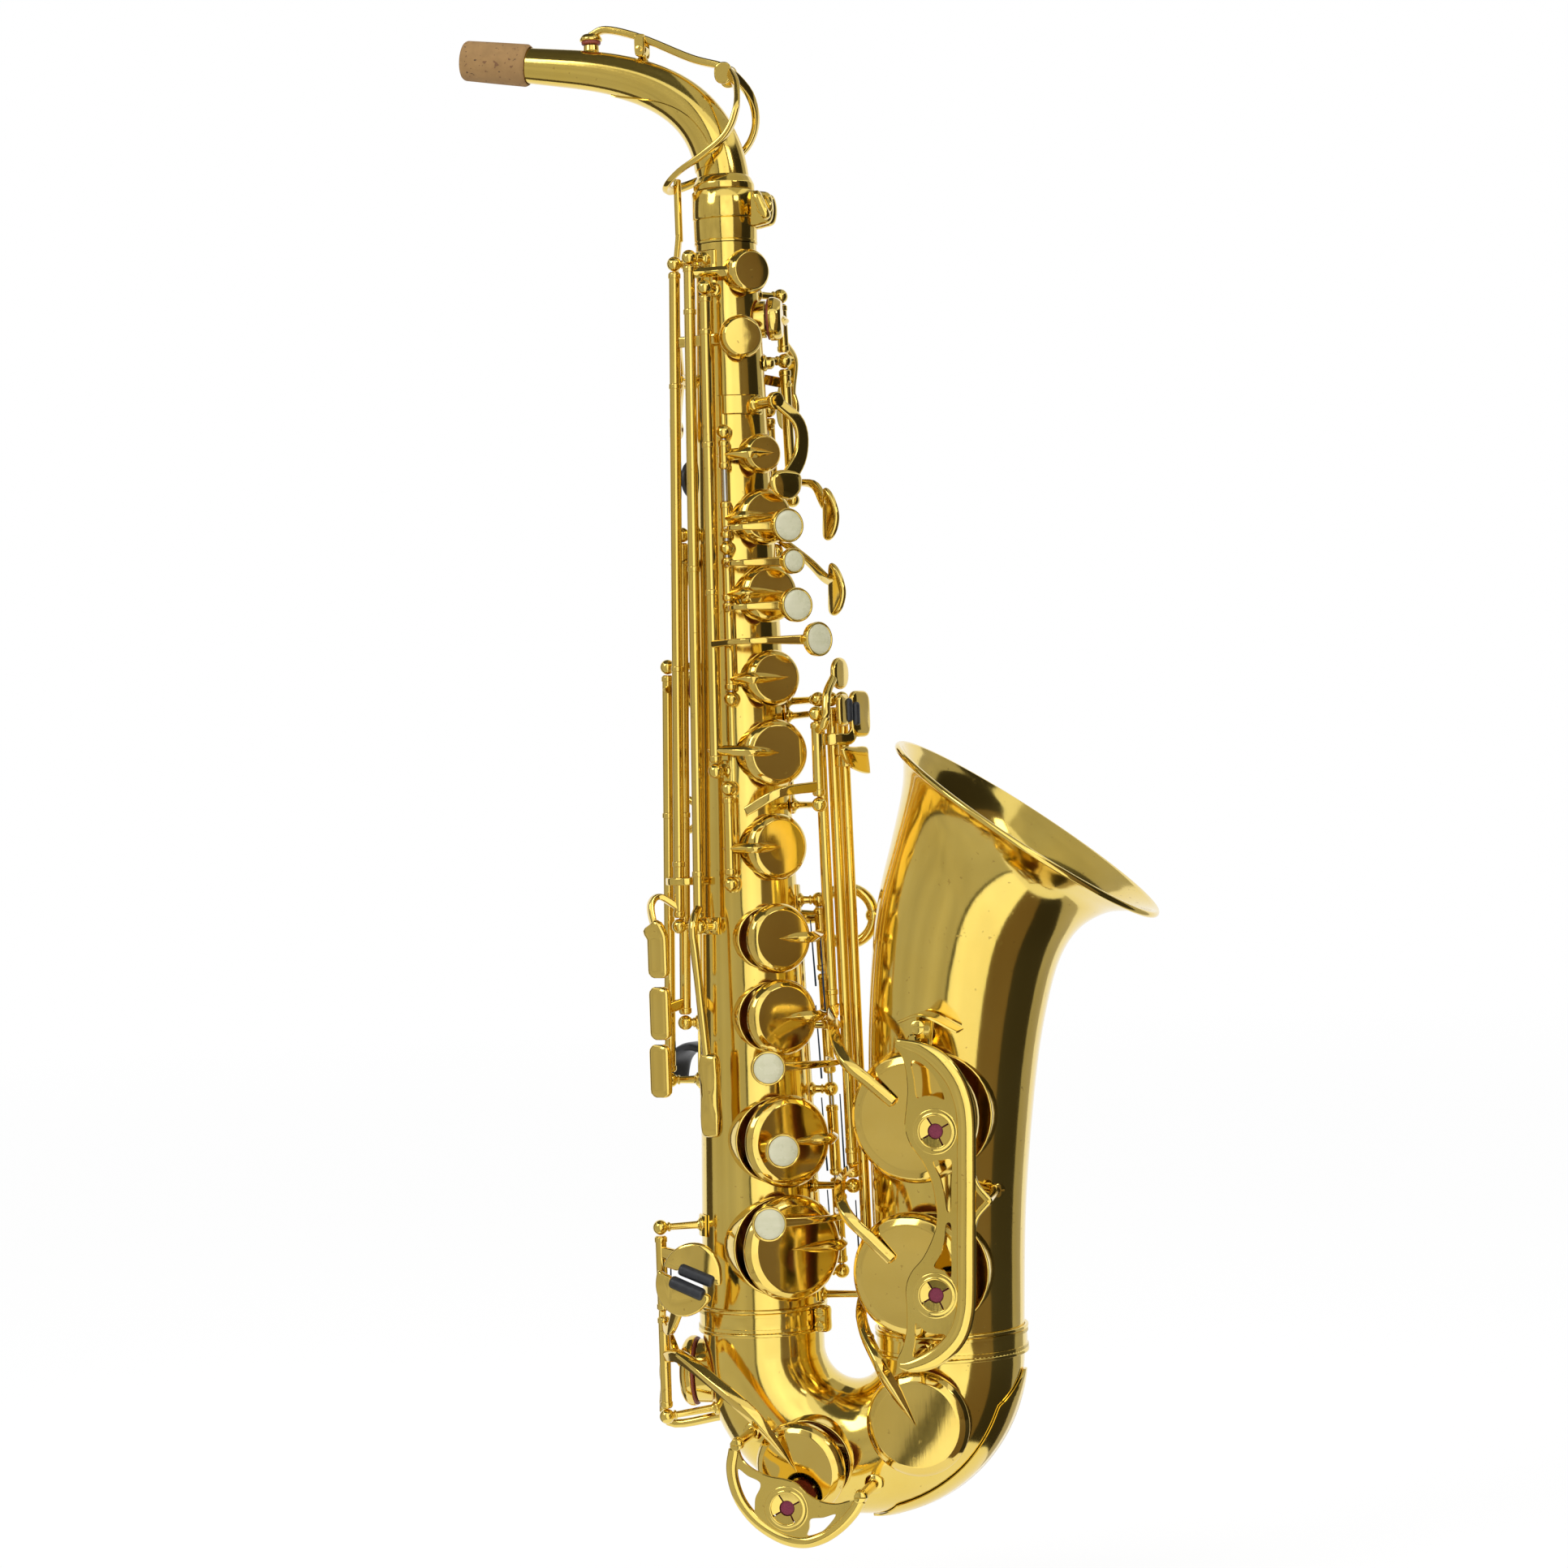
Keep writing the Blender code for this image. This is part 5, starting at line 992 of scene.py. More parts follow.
def make_neck_octave_key(vent_top):
    half = (OCTAVE_LOOP_TOP - OCTAVE_LOOP_FOOT) / 2
    sweep = [(9.5, 11, 298), (10.5, 16, 287), (6, 16.6, 277), (-4, 16.2, 269.5), (-15, 13.4, 264),
             (-22, 7, 260.4)]
    near = [Vector((x, -y, z)) for x, y, z in sweep]
    far = [Vector((x, y, z)) for x, y, z in sweep]
    axis = half.cross(SIDE).normalized()
    loop = [OCTAVE_LOOP_TOP] + near + [OCTAVE_LOOP_FOOT] + far[::-1]
    shells = [bar(loop, (1.25, 1.8), STRAP, axis, 5, True)]
    pad_low = Vector((NECK_VENT_X, 0, vent_top + PAD_GAP))
    cup = soften([(4.2, 1.3), (4.7, 1.5), (4.7, 2.6), (3.4, 4.2), (0.1, 4.5)], 0.7)
    shells.append(turned(cup, pad_low, UP, 32))
    rise = Vector((0, 0, 5.2))
    spine = [pad_low + Vector((0, 0, 3.8)), pad_low + Vector((7, 0, 5.6)), NECK_SADDLE + rise,
             OCTAVE_LOOP_TOP + Vector((-16, 0, 6.5)), OCTAVE_LOOP_TOP + Vector((-4, 0, 2.5)), OCTAVE_LOOP_TOP]
    sizes = [(2.4, 1.1), (2.1, 1.5), (2.6, 1.5), (2.2, 1.6), (2.6, 1.5), (3.4, 1.5)]
    shells.append(bar(spine, sizes, STRAP, SIDE))
    for side in (-1, 1):
        cheek = NECK_SADDLE + SIDE * (side * 3.7) + UP * 1.6
        shells.append(plate(rounded_outline(4.4, 9.4, 3.5), cheek, SIDE * side, 1.9, UP, 0.4))
        shells += screw_head(NECK_SADDLE + SIDE * (side * 4.5), SIDE * side, 1.4, 0.9)
        ear = OCTAVE_LOOP_TOP + Vector((-1.5, side * 4.6, -1.5))
        shells.append(plate(rounded_outline(7.5, 9, 2.4), ear, SIDE * side, 1.6, UP, 0.4))
    shells.append(plate(rounded_outline(9.2, 4.4, 4), NECK_SADDLE + rise, UP, 1.9, Vector((1, 0, 0)), 0.4))
    add("neck_octave_key_metal", shells, KEY_BRASS, "neck_octave_key", ["neck_octave_key"])
    pad = soften([(3.6, 0), (4.0, 0.3), (4.0, 1.5), (2, 1.5)], 0.3)
    add("neck_octave_key_pad", [turned(pad, pad_low, UP, 28)], LEATHER, "neck_octave_key")


# Keys


def cup_shell(hole, height):
    radius = hole.cup
    profile = [(radius - 1.1, PAD_HEIGHT - 0.6), (radius - 0.3, PAD_HEIGHT - 0.6), (radius, PAD_HEIGHT - 0.2),
               (radius, height * 0.52), (radius * 0.93, height * 0.80), (radius * 0.83, height * 0.97),
               (radius * 0.80, height), (radius * 0.4, height + 0.12), (0.05, height + 0.16)]
    return turned(soften(profile, 0.5), hole.rim + hole.normal * PAD_GAP, hole.normal, 56)


def pad_shell(hole):
    radius = hole.cup - 0.55
    profile = [(0.05, 0.1), (radius - 1.6, 0), (radius, 0.35), (radius, PAD_HEIGHT), (radius - 2, PAD_HEIGHT)]
    return turned(soften(profile, 0.4), hole.rim + hole.normal * PAD_GAP, hole.normal, 48)


def cup_top(hole, height, inset=0.0):
    return hole.rim + hole.normal * (PAD_GAP + height - inset)


def spike_arm(start, hole, height, width=2.0, reach=0.0):
    """Ridged arm that climbs from the hinge tube over the cup's edge and comes to a point on its middle."""
    top = cup_top(hole, height)
    flat = start - hole.rim
    flat = (flat - hole.normal * flat.dot(hole.normal)).normalized()
    edge = top + flat * (hole.cup * 0.98) + hole.normal * 0.8
    middle = top + flat * (hole.cup * 0.42) + hole.normal * 0.6
    point = top - flat * reach + hole.normal * 0.25
    way = (start - edge).normalized()
    side = flat.cross(hole.normal)
    points = [start + way * 3.4, start, edge, middle, point]
    sizes = [(0.7, 0.9), (width, 1.7), (width, 1.25), (width * 0.9, 1.15), (0.12, 0.3)]
    return bar(points, sizes, RIDGE, side)


def pearl_holder(point, normal, radius=PEARL_RADIUS):
    profile = [(radius * 0.5, -4.3), (radius * 0.8, -3.8), (radius, -3.0), (radius, -0.5),
               (radius - 0.45, -0.1), (radius - 0.9, -0.35), (radius - 1.1, -1.1), (0.05, -1.1)]
    return turned(soften(profile, 0.3), point, normal, 44)


def pearl_disc(point, normal, radius=PEARL_RADIUS):
    inner = radius - 0.98
    profile = [(inner, -1.3), (inner, -0.5), (inner - 0.5, -0.22), (inner * 0.6, -0.1), (0.05, -0.06)]
    return turned(profile, point, normal, 44)


class Key:
    """One soldered key: its hinge and the shells of each finish."""

    def __init__(self, name, point, axis, swing, rests_open):
        self.name = name
        self.turn = (point, axis, swing) if rests_open else None
        self.metal = []
        self.pads = []
        self.pearls = []
        self.rollers = []

    def cup(self, hole, height=CUP_HEIGHT):
        self.metal.append(cup_shell(hole, height))
        self.pads.append(pad_shell(hole))

    def pearl(self, point, normal, radius=PEARL_RADIUS):
        self.metal.append(pearl_holder(point, normal, radius))
        self.pearls.append(pearl_disc(point, normal, radius))

    def roller(self, start, end, radius):
        length = (end - start).length
        profile = [(0.3, -0.4), (radius * 0.8, 0), (radius, 0.9), (radius, length - 0.9),
                   (radius * 0.8, length), (0.3, length + 0.4)]
        self.rollers.append(turned(soften(profile, 0.5), start, end - start, 24))

    def finish(self):
        add(self.name + "_metal", self.metal, KEY_BRASS, self.name, [self.name], self.turn)
        for part, shells, finish in (("_pad", self.pads, LEATHER), ("_pearl", self.pearls, PEARL),
                                     ("_roller", self.rollers, PLASTIC)):
            if shells:
                add(self.name + part, shells, finish, self.name, (), self.turn)


def hinge_tube(rod, low, high, collars=()):
    start, end = rod.at(low), rod.at(high)
    shells = [pipe(start, end, KEY_TUBE_RADIUS)]
    way = (end - start).normalized()
    for z in [low + 1.6, high - 1.6] + list(collars):
        ring = soften([(2.1, -1.2), (2.62, -1.0), (2.62, 1.0), (2.1, 1.2)], 0.3)
        shells.append(turned(ring, rod.at(z), way, 20))
    return shells


def hinged_key(name, rod, low, high, hole, lift, rests_open, collars=()):
    point = (rod.at(low) + rod.at(high)) / 2
    axis = (rod.at(high) - rod.at(low)).normalized()
    if axis.cross(hole.rim - point).dot(hole.normal) < 0:
        axis = -axis
    swing = lift / abs(axis.cross(hole.rim - point).dot(hole.normal))
    key = Key(name, point, axis, swing, rests_open)
    key.metal += hinge_tube(rod, low, high, collars)
    return key


def stack_key(name, rod, low, high, hole):
    key = hinged_key(name, rod, low, high, hole, min(KEY_LIFT, hole.cup * 0.3), True)
    key.cup(hole)
    reach = hole.cup * (0.5 if rod is ROD_UPPER else 0.1)
    key.metal.append(spike_arm(rod.at(hole.rim.z), hole, CUP_HEIGHT, 2.2, reach))
    return key


def finger_pearl(key, rod, angle, radius, z, middle_angle, middle_radius, size=PEARL_RADIUS):
    point = polar(angle, radius, z)
    normal = outward(angle)
    path = [rod.at(z), polar(middle_angle, middle_radius, z), point - normal * 3.1]
    key.metal.append(bar(path, [(1.5, 1.8), (1.2, 1.7), (2.2, 1.2)], STRAP, UP))
    key.pearl(point, normal, size)


def make_upper_stack():
    rod = ROD_UPPER
    stack_key("c_key", rod, 140, 152, HOLES["c"]).finish()
    key = stack_key("b_key", rod, 112, 127, HOLES["b"])
    finger_pearl(key, rod, 33, 35, 115.5, 68, 31)
    key.finish()
    key = stack_key("bis_key", rod, 86.2, 104, HOLES["bis"])
    finger_pearl(key, rod, 31, 36, 101, 68, 32, 5.2)
    key.finish()
    key = stack_key("a_key", rod, 50, 85.8, HOLES["a"])
    finger_pearl(key, rod, 35, 41.5, 83, 68, 37)
    key.finish()

    hole = HOLES["g"]
    key = hinged_key("g_key", ROD_G, 21, 211, hole, KEY_LIFT, True, (90, 150, 196))
    key.cup(hole)
    key.metal.append(spike_arm(ROD_G.at(26), hole, CUP_HEIGHT))
    finger_pearl(key, ROD_G, 25, 44, 69, 66, 40)
    key.finish()

    hole = HOLES["g_sharp"]
    key = hinged_key("g_sharp_key", ROD_GS, -25, 7, hole, KEY_LIFT, False)
    key.cup(hole)
    key.metal.append(spike_arm(ROD_GS.at(hole.rim.z), hole, CUP_HEIGHT))
    key.finish()


def make_lower_stack():
    rod = ROD_LOWER
    stack_key("f_sharp_key", rod, -66, -40, HOLES["f_sharp"]).finish()
    key = stack_key("f_key", rod, -108, -67, HOLES["f"])
    finger_pearl(key, rod, 76, 42, -102, 30, 40)
    key.finish()
    hole = HOLES["e"]
    key = stack_key("e_key", rod, -150, -121, hole)
    pearl_angle = 70
    stand = polar(pearl_angle, 45, -135)
    normal = outward(pearl_angle)
    key.metal.append(pipe(cup_top(hole, CUP_HEIGHT, 1.5), stand - normal * 3, 2.8))
    key.pearl(stand, normal)
    key.finish()
    key = stack_key("d_key", rod, -186, -151, HOLES["d"])
    finger_pearl(key, rod, 78, 44, -164, 34, 42)
    key.finish()


def side_touch(touch, angle, height, flared):
    """Finger bar with a rounded face; the top one flares away from the tube at its head."""
    rows = []
    for step in range(17):
        share = step / 8 - 1
        end = 1 - 0.24 * max(0.0, (abs(share) - 0.8) / 0.2) ** 2
        flare = max(0.0, (share - 0.45) / 0.55) ** 1.7 if flared else 0.0
        middle = touch + UP * (share * height / 2) + outward(160) * (flare * 3.0)
        rows.append((middle, (4.7 * end + flare * 0.8, 2.1 * end)))
    return bar([p for p, s in rows], [s for p, s in rows], unit_box(0.6), around(angle), 1)


def make_side_keys():
    angle = 145.5
    facing = 106
    radius = 40
    hole = HOLES["high_e"]
    rod = ROD_HIGH_E
    key = hinged_key("high_e_key", rod, -42, 223, hole, SMALL_KEY_LIFT, False, (-20, 60, 176))
    key.cup(hole)
    middle = hole.rim + hole.normal * (PAD_GAP + 3)
    path = [rod.at(194), off_body(136, 4, 194), off_body(118.5, 2.6, 194), off_body(95, 2.6, 194),
            middle + (off_body(95, 2.6, 194) - middle) * 0.45]
    key.metal.append(bar(path, (2.2, 0.9), STRAP, UP))
    touch = polar(angle, radius, -55)
    curl = [rod.at(-38), polar(152, 37.5, -33), polar(150, 41.5, -36), polar(147, 41.5, -43), touch + UP * 9]
    sizes = [(2, 1.5), (1.9, 1.3), (1.9, 1.3), (2.2, 1.2), (2.8, 1.1)]
    key.metal.append(bar(curl, sizes, STRAP, around(angle)))
    key.metal.append(side_touch(touch, facing, 21, True))
    key.finish()

    hole = HOLES["high_f_sharp"]
    rod = ROD_HIGH_FS
    key = hinged_key("high_f_sharp_key", rod, -42, 224, hole, SMALL_KEY_LIFT, False, (-24, 100, 205))
    key.cup(hole)
    path = [rod.at(221), off_body(100, 6, 221), off_body(75, 6.4, 221)]
    path.append(cup_top(hole, CUP_HEIGHT) + hole.normal * 0.2)
    key.metal.append(bar(path, [(2.2, 1.4), (2.0, 1.1), (1.9, 1.0), (0.2, 0.4)], RIDGE, UP))
    touch = Vector((-9.5, -35, -113))
    stem = [rod.at(-37), polar(113, 37.5, -46), polar(110, 37, -72), polar(107, 36.5, -97)]
    key.metal.append(bar(stem, (1.8, 1.8)))
    key.metal.append(plate(rounded_outline(8.8, 34, 6), touch, outward(104), 4.4, UP, 1.5, 0, 0.4))
    key.finish()

    for name, rod, low, high, z, rise in (("side_c_key", ROD_SIDE_C, -82, 112, -80.5, 3.5),
                                          ("side_bb_key", ROD_SIDE_BB, -106, 58, -104, 2)):
        hole = HOLES[name[:-4]]
        key = hinged_key(name, rod, low, high, hole, SMALL_KEY_LIFT, False, (0,))
        key.cup(hole)
        key.metal.append(spike_arm(rod.at(hole.rim.z), hole, CUP_HEIGHT))
        touch = polar(angle, radius + (0.7 if z < -90 else 0), z)
        root = rod.at(z + rise)
        bend = root.lerp(touch, 0.5) + outward(155) * 1.2
        key.metal.append(bar([root, bend, touch], (2.2, 1.2), STRAP, UP))
        key.metal.append(side_touch(touch, facing, 20.5, False))
        key.finish()


PALM_LEAF = [(0, 11), (3.6, 8), (6.2, 2), (6.0, -4.5), (3.2, -9.6), (-1.5, -10.8), (-5.0, -7.6), (-6.2, -1),
             (-3.6, 7)]


def make_palm_keys():
    rows = [
        ("palm_d_key", ROD_PALM_D, 112, 164, 160, 115, polar(-34, 31, 104), polar(-17, 41, 91), -42, 13),
        ("palm_eb_key", ROD_PALM, 133, 184, 178, 137, polar(-29, 34, 135), polar(-15, 39.5, 122), -42, 12),
        ("palm_f_key", ROD_PALM, 191, 211, 203, 195, polar(-56, 35, 189), polar(-66, 38, 171), -66, 12),
    ]
    for name, rod, low, high, arm_z, link_z, knee, touch, face, width in rows:
        hole = HOLES[name[:-4]]
        key = hinged_key(name, rod, low, high, hole, SMALL_KEY_LIFT, False)
        key.cup(hole)
        key.metal.append(spike_arm(rod.at(arm_z), hole, CUP_HEIGHT))
        link = [rod.at(link_z), knee, knee.lerp(touch, 0.6), touch + UP * 3]
        key.metal.append(bar(link, [(2.0, 1.4), (2.2, 1.2), (2.8, 1.1), (4.2, 0.9)], STRAP, around(face)))
        leaf = drawn_outline([(x * width / 13, y) for x, y in PALM_LEAF])
        key.metal.append(plate(leaf, touch, outward(face), TOUCH_THICKNESS, UP, 0.8, -2.0, 0.3))
        key.finish()


def make_front_f():
    normal = outward(36)
    pivot = off_body(36, 14, 167)
    key = Key("front_f_lever", pivot, normal, 0, False)
    boss = soften([(3.2, -1.6), (3.8, -1.4), (3.8, 1.0), (3.2, 1.3), (0.1, 1.3)], 0.4)
    key.metal.append(turned(boss, pivot, normal, 28))
    key.metal += screw_head(pivot + normal * 1.2, normal, 2.4, 1.2)
    touch = polar(38, 34, 133)
    path = [pivot, polar(20, 33, 158), polar(22, 34, 145), touch]
    key.metal.append(bar(path, [(2.6, 1.2), (3.0, 1.1), (3.2, 1.1), (3.6, 1.0)], STRAP, around(36)))
    drop = [(7.6, 3.6), (7.4, -2.4), (3.6, -6), (-2, -6), (-6.4, -3), (-7.4, 1), (-5, 4.6), (1, 5.4)]
    key.metal.append(plate(drawn_outline(drop), touch, outward(38), TOUCH_THICKNESS, UP, 0.7, 0, 0.5))
    key.finish()


TABLE_TURN = math.radians(12)
TABLE_FACE = Vector((math.cos(TABLE_TURN), -math.sin(TABLE_TURN), 0))
TABLE_WIDE = Vector((math.sin(TABLE_TURN), math.cos(TABLE_TURN), 0))


def on_table(along, z):
    """Point on the slanted plane that the little finger's touches share."""
    return TABLE_FACE * TABLE_STAND + TABLE_WIDE * along + UP * z


def table_touch(key, route, along, z, outline, roller=None):
    """Touch of a bell key on its strap; roller is the place of its roller across the table."""
    centre = on_table(along, z)
    sizes = [(2.6, 1.3)] + [(2.4, 0.8)] * (len(route) - 1) + [(3.0, 0.8)]
    key.metal.append(bar([Vector(p) for p in route] + [centre - TABLE_FACE * 0.5], sizes, STRAP, UP))
    key.metal.append(plate(outline, centre, TABLE_FACE, TOUCH_THICKNESS, UP, 0.8, 0, 0.3))
    if roller is not None:
        spot = on_table(roller, z) + TABLE_FACE * 1.1
        key.roller(spot - UP * TABLE_ROLLER_HALF, spot + UP * TABLE_ROLLER_HALF, TABLE_ROLLER_RADIUS)


POINTED_TIP = (0.15, 0.35)
BLUNT_TIP = (2.3, 1.2)
LOW_BB_LEAF = [(-9, 5.4), (0, 5.6), (8, 5.4), (9.2, 1), (9.8, -4.4), (9, -5.6), (3, -4.8), (-3, -2.8),
               (-8, 1)]


def cup_arm(points, width, tip=POINTED_TIP):
    sizes = [(width, 1.7)] * (len(points) - 2) + [(width * 0.95, 1.4), tip]
    return bar(points, sizes, RIDGE, Vector((0.6, 0, 0.8)))


def make_bell_keys():
    rows = [
        ("low_b_key", ROD_LOW_B, -84, LOW_B_HOLE, -80, (44.5, -33, -87), (54, -46.6, -98)),
        ("low_bb_key", ROD_LOW_BB, -150, LOW_BB_HOLE, -145, (45, -30, -150), (52.5, -43.4, -159)),
        ("low_c_sharp_key", ROD_LOW_CS, -195, LOW_CS_HOLE, -190, (46.5, -25, -204), (56, -38.6, -219)),
    ]
    for name, rod, low, hole, arm_z, bend, edge in rows:
        rests_open = name != "low_c_sharp_key"
        lift = LOW_KEY_LIFT if rests_open else KEY_LIFT
        bend, edge = Vector(bend), Vector(edge)
        key = hinged_key(name, rod, low, TABLE_TUBE_TOP_Z, hole, lift, rests_open, (arm_z + 6,))
        key.cup(hole, LOW_CUP_HEIGHT)
        top = cup_top(hole, LOW_CUP_HEIGHT) + hole.normal * 0.3
        if rests_open:
            path = [edge.lerp(top, 0.4) + hole.normal * 0.9, edge.lerp(top, 0.74) + hole.normal * 0.8]
        else:
            path = [edge.lerp(top, 0.45) + hole.normal * 0.9, top]
        tip = BLUNT_TIP if rests_open else POINTED_TIP
        key.metal.append(cup_arm([rod.at(arm_z), bend, edge] + path, 2.6, tip))
        for shift in (-7, 7):
            lug = bend.lerp(edge, 0.5) + Vector((shift * 0.1, 0, shift * 0.1))
            key.metal.append(ball(lug, 1.9, 14, 8))
        if name == "low_b_key":
            route = [rod.at(29), (38.5, -13, 29), (43, -11.5, 29), (46.9, -5.5, 29.5)]
            table_touch(key, route, 10.9, 39, rounded_outline(14, 19, 4), 6.2)
        elif name == "low_bb_key":
            route = [rod.at(20), (43, -6.8, 20), (46.2, -6, 20)]
            table_touch(key, route, 7.1, 20, drawn_outline(LOW_BB_LEAF))
        else:
            route = [rod.at(38), (44, -5, 38), (43.9, -10, 38.5)]
            table_touch(key, route, -3.25, 40.5, rounded_outline(9.5, 13, 4), -0.5)
        key.finish()

    rod = ROD_GS_TOUCH
    key = Key("g_sharp_lever", rod.at(21), UP, 0, False)
    key.metal += hinge_tube(rod, 6, 36)
    link = [rod.at(10), Vector((24, -36, 8)), Vector((10, -37, 1))]
    key.metal.append(bar(link, [(2.2, 1.3), (2.0, 1.1), (1.8, 0.9)], STRAP))
    neck = [rod.at(32), Vector((40.5, -23.5, 36)), Vector((41, -21, 47)), Vector((42.6, -13, 54.4))]
    key.metal.append(bar(neck, [(1.9, 1.9), (1.8, 1.8), (1.8, 1.8), (2.2, 1.6)]))
    disc = rounded_outline(14, 13, 2.2)
    key.metal.append(plate(disc, Vector((43.8, -9, 55.6)), TABLE_FACE, TOUCH_THICKNESS, UP, 0.8, 0, 0.3))
    key.finish()


def half_disc(sign):
    """Half of the round touch plate, cut back where its roller turns."""
    points = [(-12.3, 1.1), (-9.5, 1.0), (-6.8, 1.1), (-6.1, 1.9), (-4, 2.2), (4, 2.2), (12.2, 2.2)]
    for step in range(1, 9):
        turn = math.radians(10 + 168 * step / 9)
        points.append((12.5 * math.cos(turn), 14.6 * math.sin(turn) + 0.6))
    return drawn_outline([(x, sign * (y - 6.4)) for x, y in points], 4)


PINKY_FACE = outward(90)
PINKY_TILT = math.radians(22)
PINKY_WIDE = UP.cross(PINKY_FACE) * math.cos(PINKY_TILT) - UP * math.sin(PINKY_TILT)
PINKY_RISE = PINKY_FACE.cross(PINKY_WIDE)
PINKY_MIDDLE = Vector((-20, -37, -187))


def pinky_touch(key, sign, route, sizes):
    """Half-round touch with its roller, on a strap from the hinge tube; sign is 1 for the upper half."""
    centre = PINKY_MIDDLE + PINKY_RISE * (sign * 6.4)
    key.metal.append(bar(route + [centre - PINKY_FACE * 1.0], sizes, STRAP, UP))
    key.metal.append(plate(half_disc(sign), centre, PINKY_FACE, 2.6, PINKY_RISE, 0.7, 0, 0.3))
    start = PINKY_MIDDLE + PINKY_RISE * (sign * 2.68) + PINKY_FACE * 1.1
    key.roller(start - PINKY_WIDE * 5.5, start + PINKY_WIDE * 9.5, PINKY_ROLLER_RADIUS)


def make_pinky_keys():
    rod = ROD_PINKY
    hole = LOW_EB_HOLE
    key = hinged_key("low_eb_key", rod, -202, -171.5, hole, KEY_LIFT, False)
    key.cup(hole)
    path = [rod.at(-197), Vector((-39, -14, -207)), Vector((-36.5, -8, -220)), cup_top(hole, CUP_HEIGHT)]
    key.metal.append(bar(path, [(2.2, 1.6), (2.0, 1.5), (1.9, 1.4), (1.0, 0.8)], STRAP, UP))
    pinky_touch(key, 1, [rod.at(-178)], [(2.3, 1.3), (4, 1.1)])
    key.finish()

    hole = LOW_C_HOLE
    key = hinged_key("low_c_key", rod, -242, -204.5, hole, LOW_KEY_LIFT, True)
    key.cup(hole, LOW_CUP_HEIGHT)
    top = cup_top(hole, LOW_CUP_HEIGHT) + hole.normal * 0.3
    path = [rod.at(-220), Vector((-26, -32, -219)), Vector((-9, -40, -227.5)), Vector((11, -43.6, -242)), top]
    key.metal.append(cup_arm(path, 2.8))
    pinky_touch(key, -1, [rod.at(-208), Vector((-30, -30, -208))], [(2.3, 1.4), (2.2, 1.3), (4, 1.1)])
    key.finish()


def make_octave_lever():
    pivot = Vector((-body_radius(180) - 7, 0, 180))
    key = Key("octave_lever", pivot, -SIDE, 0, False)
    key.metal.append(pipe(pivot - SIDE * 5, pivot + SIDE * 3, KEY_TUBE_RADIUS))
    loop_half, play, pin_radius = 1.5, 1.0, 1.6
    pin_x = OCTAVE_LOOP_FOOT.x + loop_half + play + pin_radius
    key.metal.append(pipe(Vector((pin_x, 0, 237)), Vector((pin_x, 0, OCTAVE_LOOP_FOOT.z + 4)), pin_radius))
    arm = [pivot, Vector((-22.5, 0, 215)), Vector((pin_x, 0, 240))]
    key.metal.append(bar(arm, [(2.4, 1.3), (2.1, 1.1), (1.6, 1.2)], STRAP, SIDE))
    touch = Vector((-body_radius(160) - 9, 0, 160))
    tail = [pivot, pivot.lerp(touch, 0.5), touch]
    key.metal.append(bar(tail, [(2.4, 1.3), (2.6, 1.1), (4, 1.0)], STRAP, SIDE))
    key.metal.append(plate(rounded_outline(13, 11, 2.4), touch, Vector((-1, 0, 0)), 2.6, UP, 0.8, 1.0, 0.4))
    key.finish()
    head = pivot + SIDE * (3 + SEAT_GAP + BALL_RADIUS)
    base = off_body(197, SEAT_GAP, 180)
    shells = [saddle(179, 215, 176, 184)] + post(base, base + outward(197) * 2, head)
    add("octave_lever_post", shells, TUBE_BRASS, stands_for=["octave_post"])


# Ribs and posts


def post(base, knee, head):
    """Ball-headed post on a round foot."""
    out = (knee - base).normalized()
    way = (head - knee).normalized()
    foot = turned(soften([(3.0, -0.2), (3.0, 0.9), (2.0, 1.5), (1.6, 2.2)], 0.4), base, out, 20)
    stem = bar([base, knee, head], [(2.0, 2.0), (1.6, 1.6), (1.35, 1.35)], ROUND, across(way)[0])
    neck = turned(soften([(1.3, -4.1), (2.0, -3.9), (2.0, -3.2), (1.5, -2.9)], 0.2), head, way, 18)
    return [foot, stem, neck, ball(head, BALL_RADIUS)]


def make_rib(name, plates, heads, node, base_angle=None, extra=()):
    shells = [saddle(*row) for row in plates]
    for rod, z in heads:
        head = rod.at(z)
        angle = math.degrees(math.atan2(-head.y, head.x)) if base_angle is None else base_angle
        shells += post(off_body(angle, SEAT_GAP + 0.6, z), off_body(angle, SEAT_GAP + 3.5, z), head)
    add(name, shells + list(extra), TUBE_BRASS, stands_for=[node])


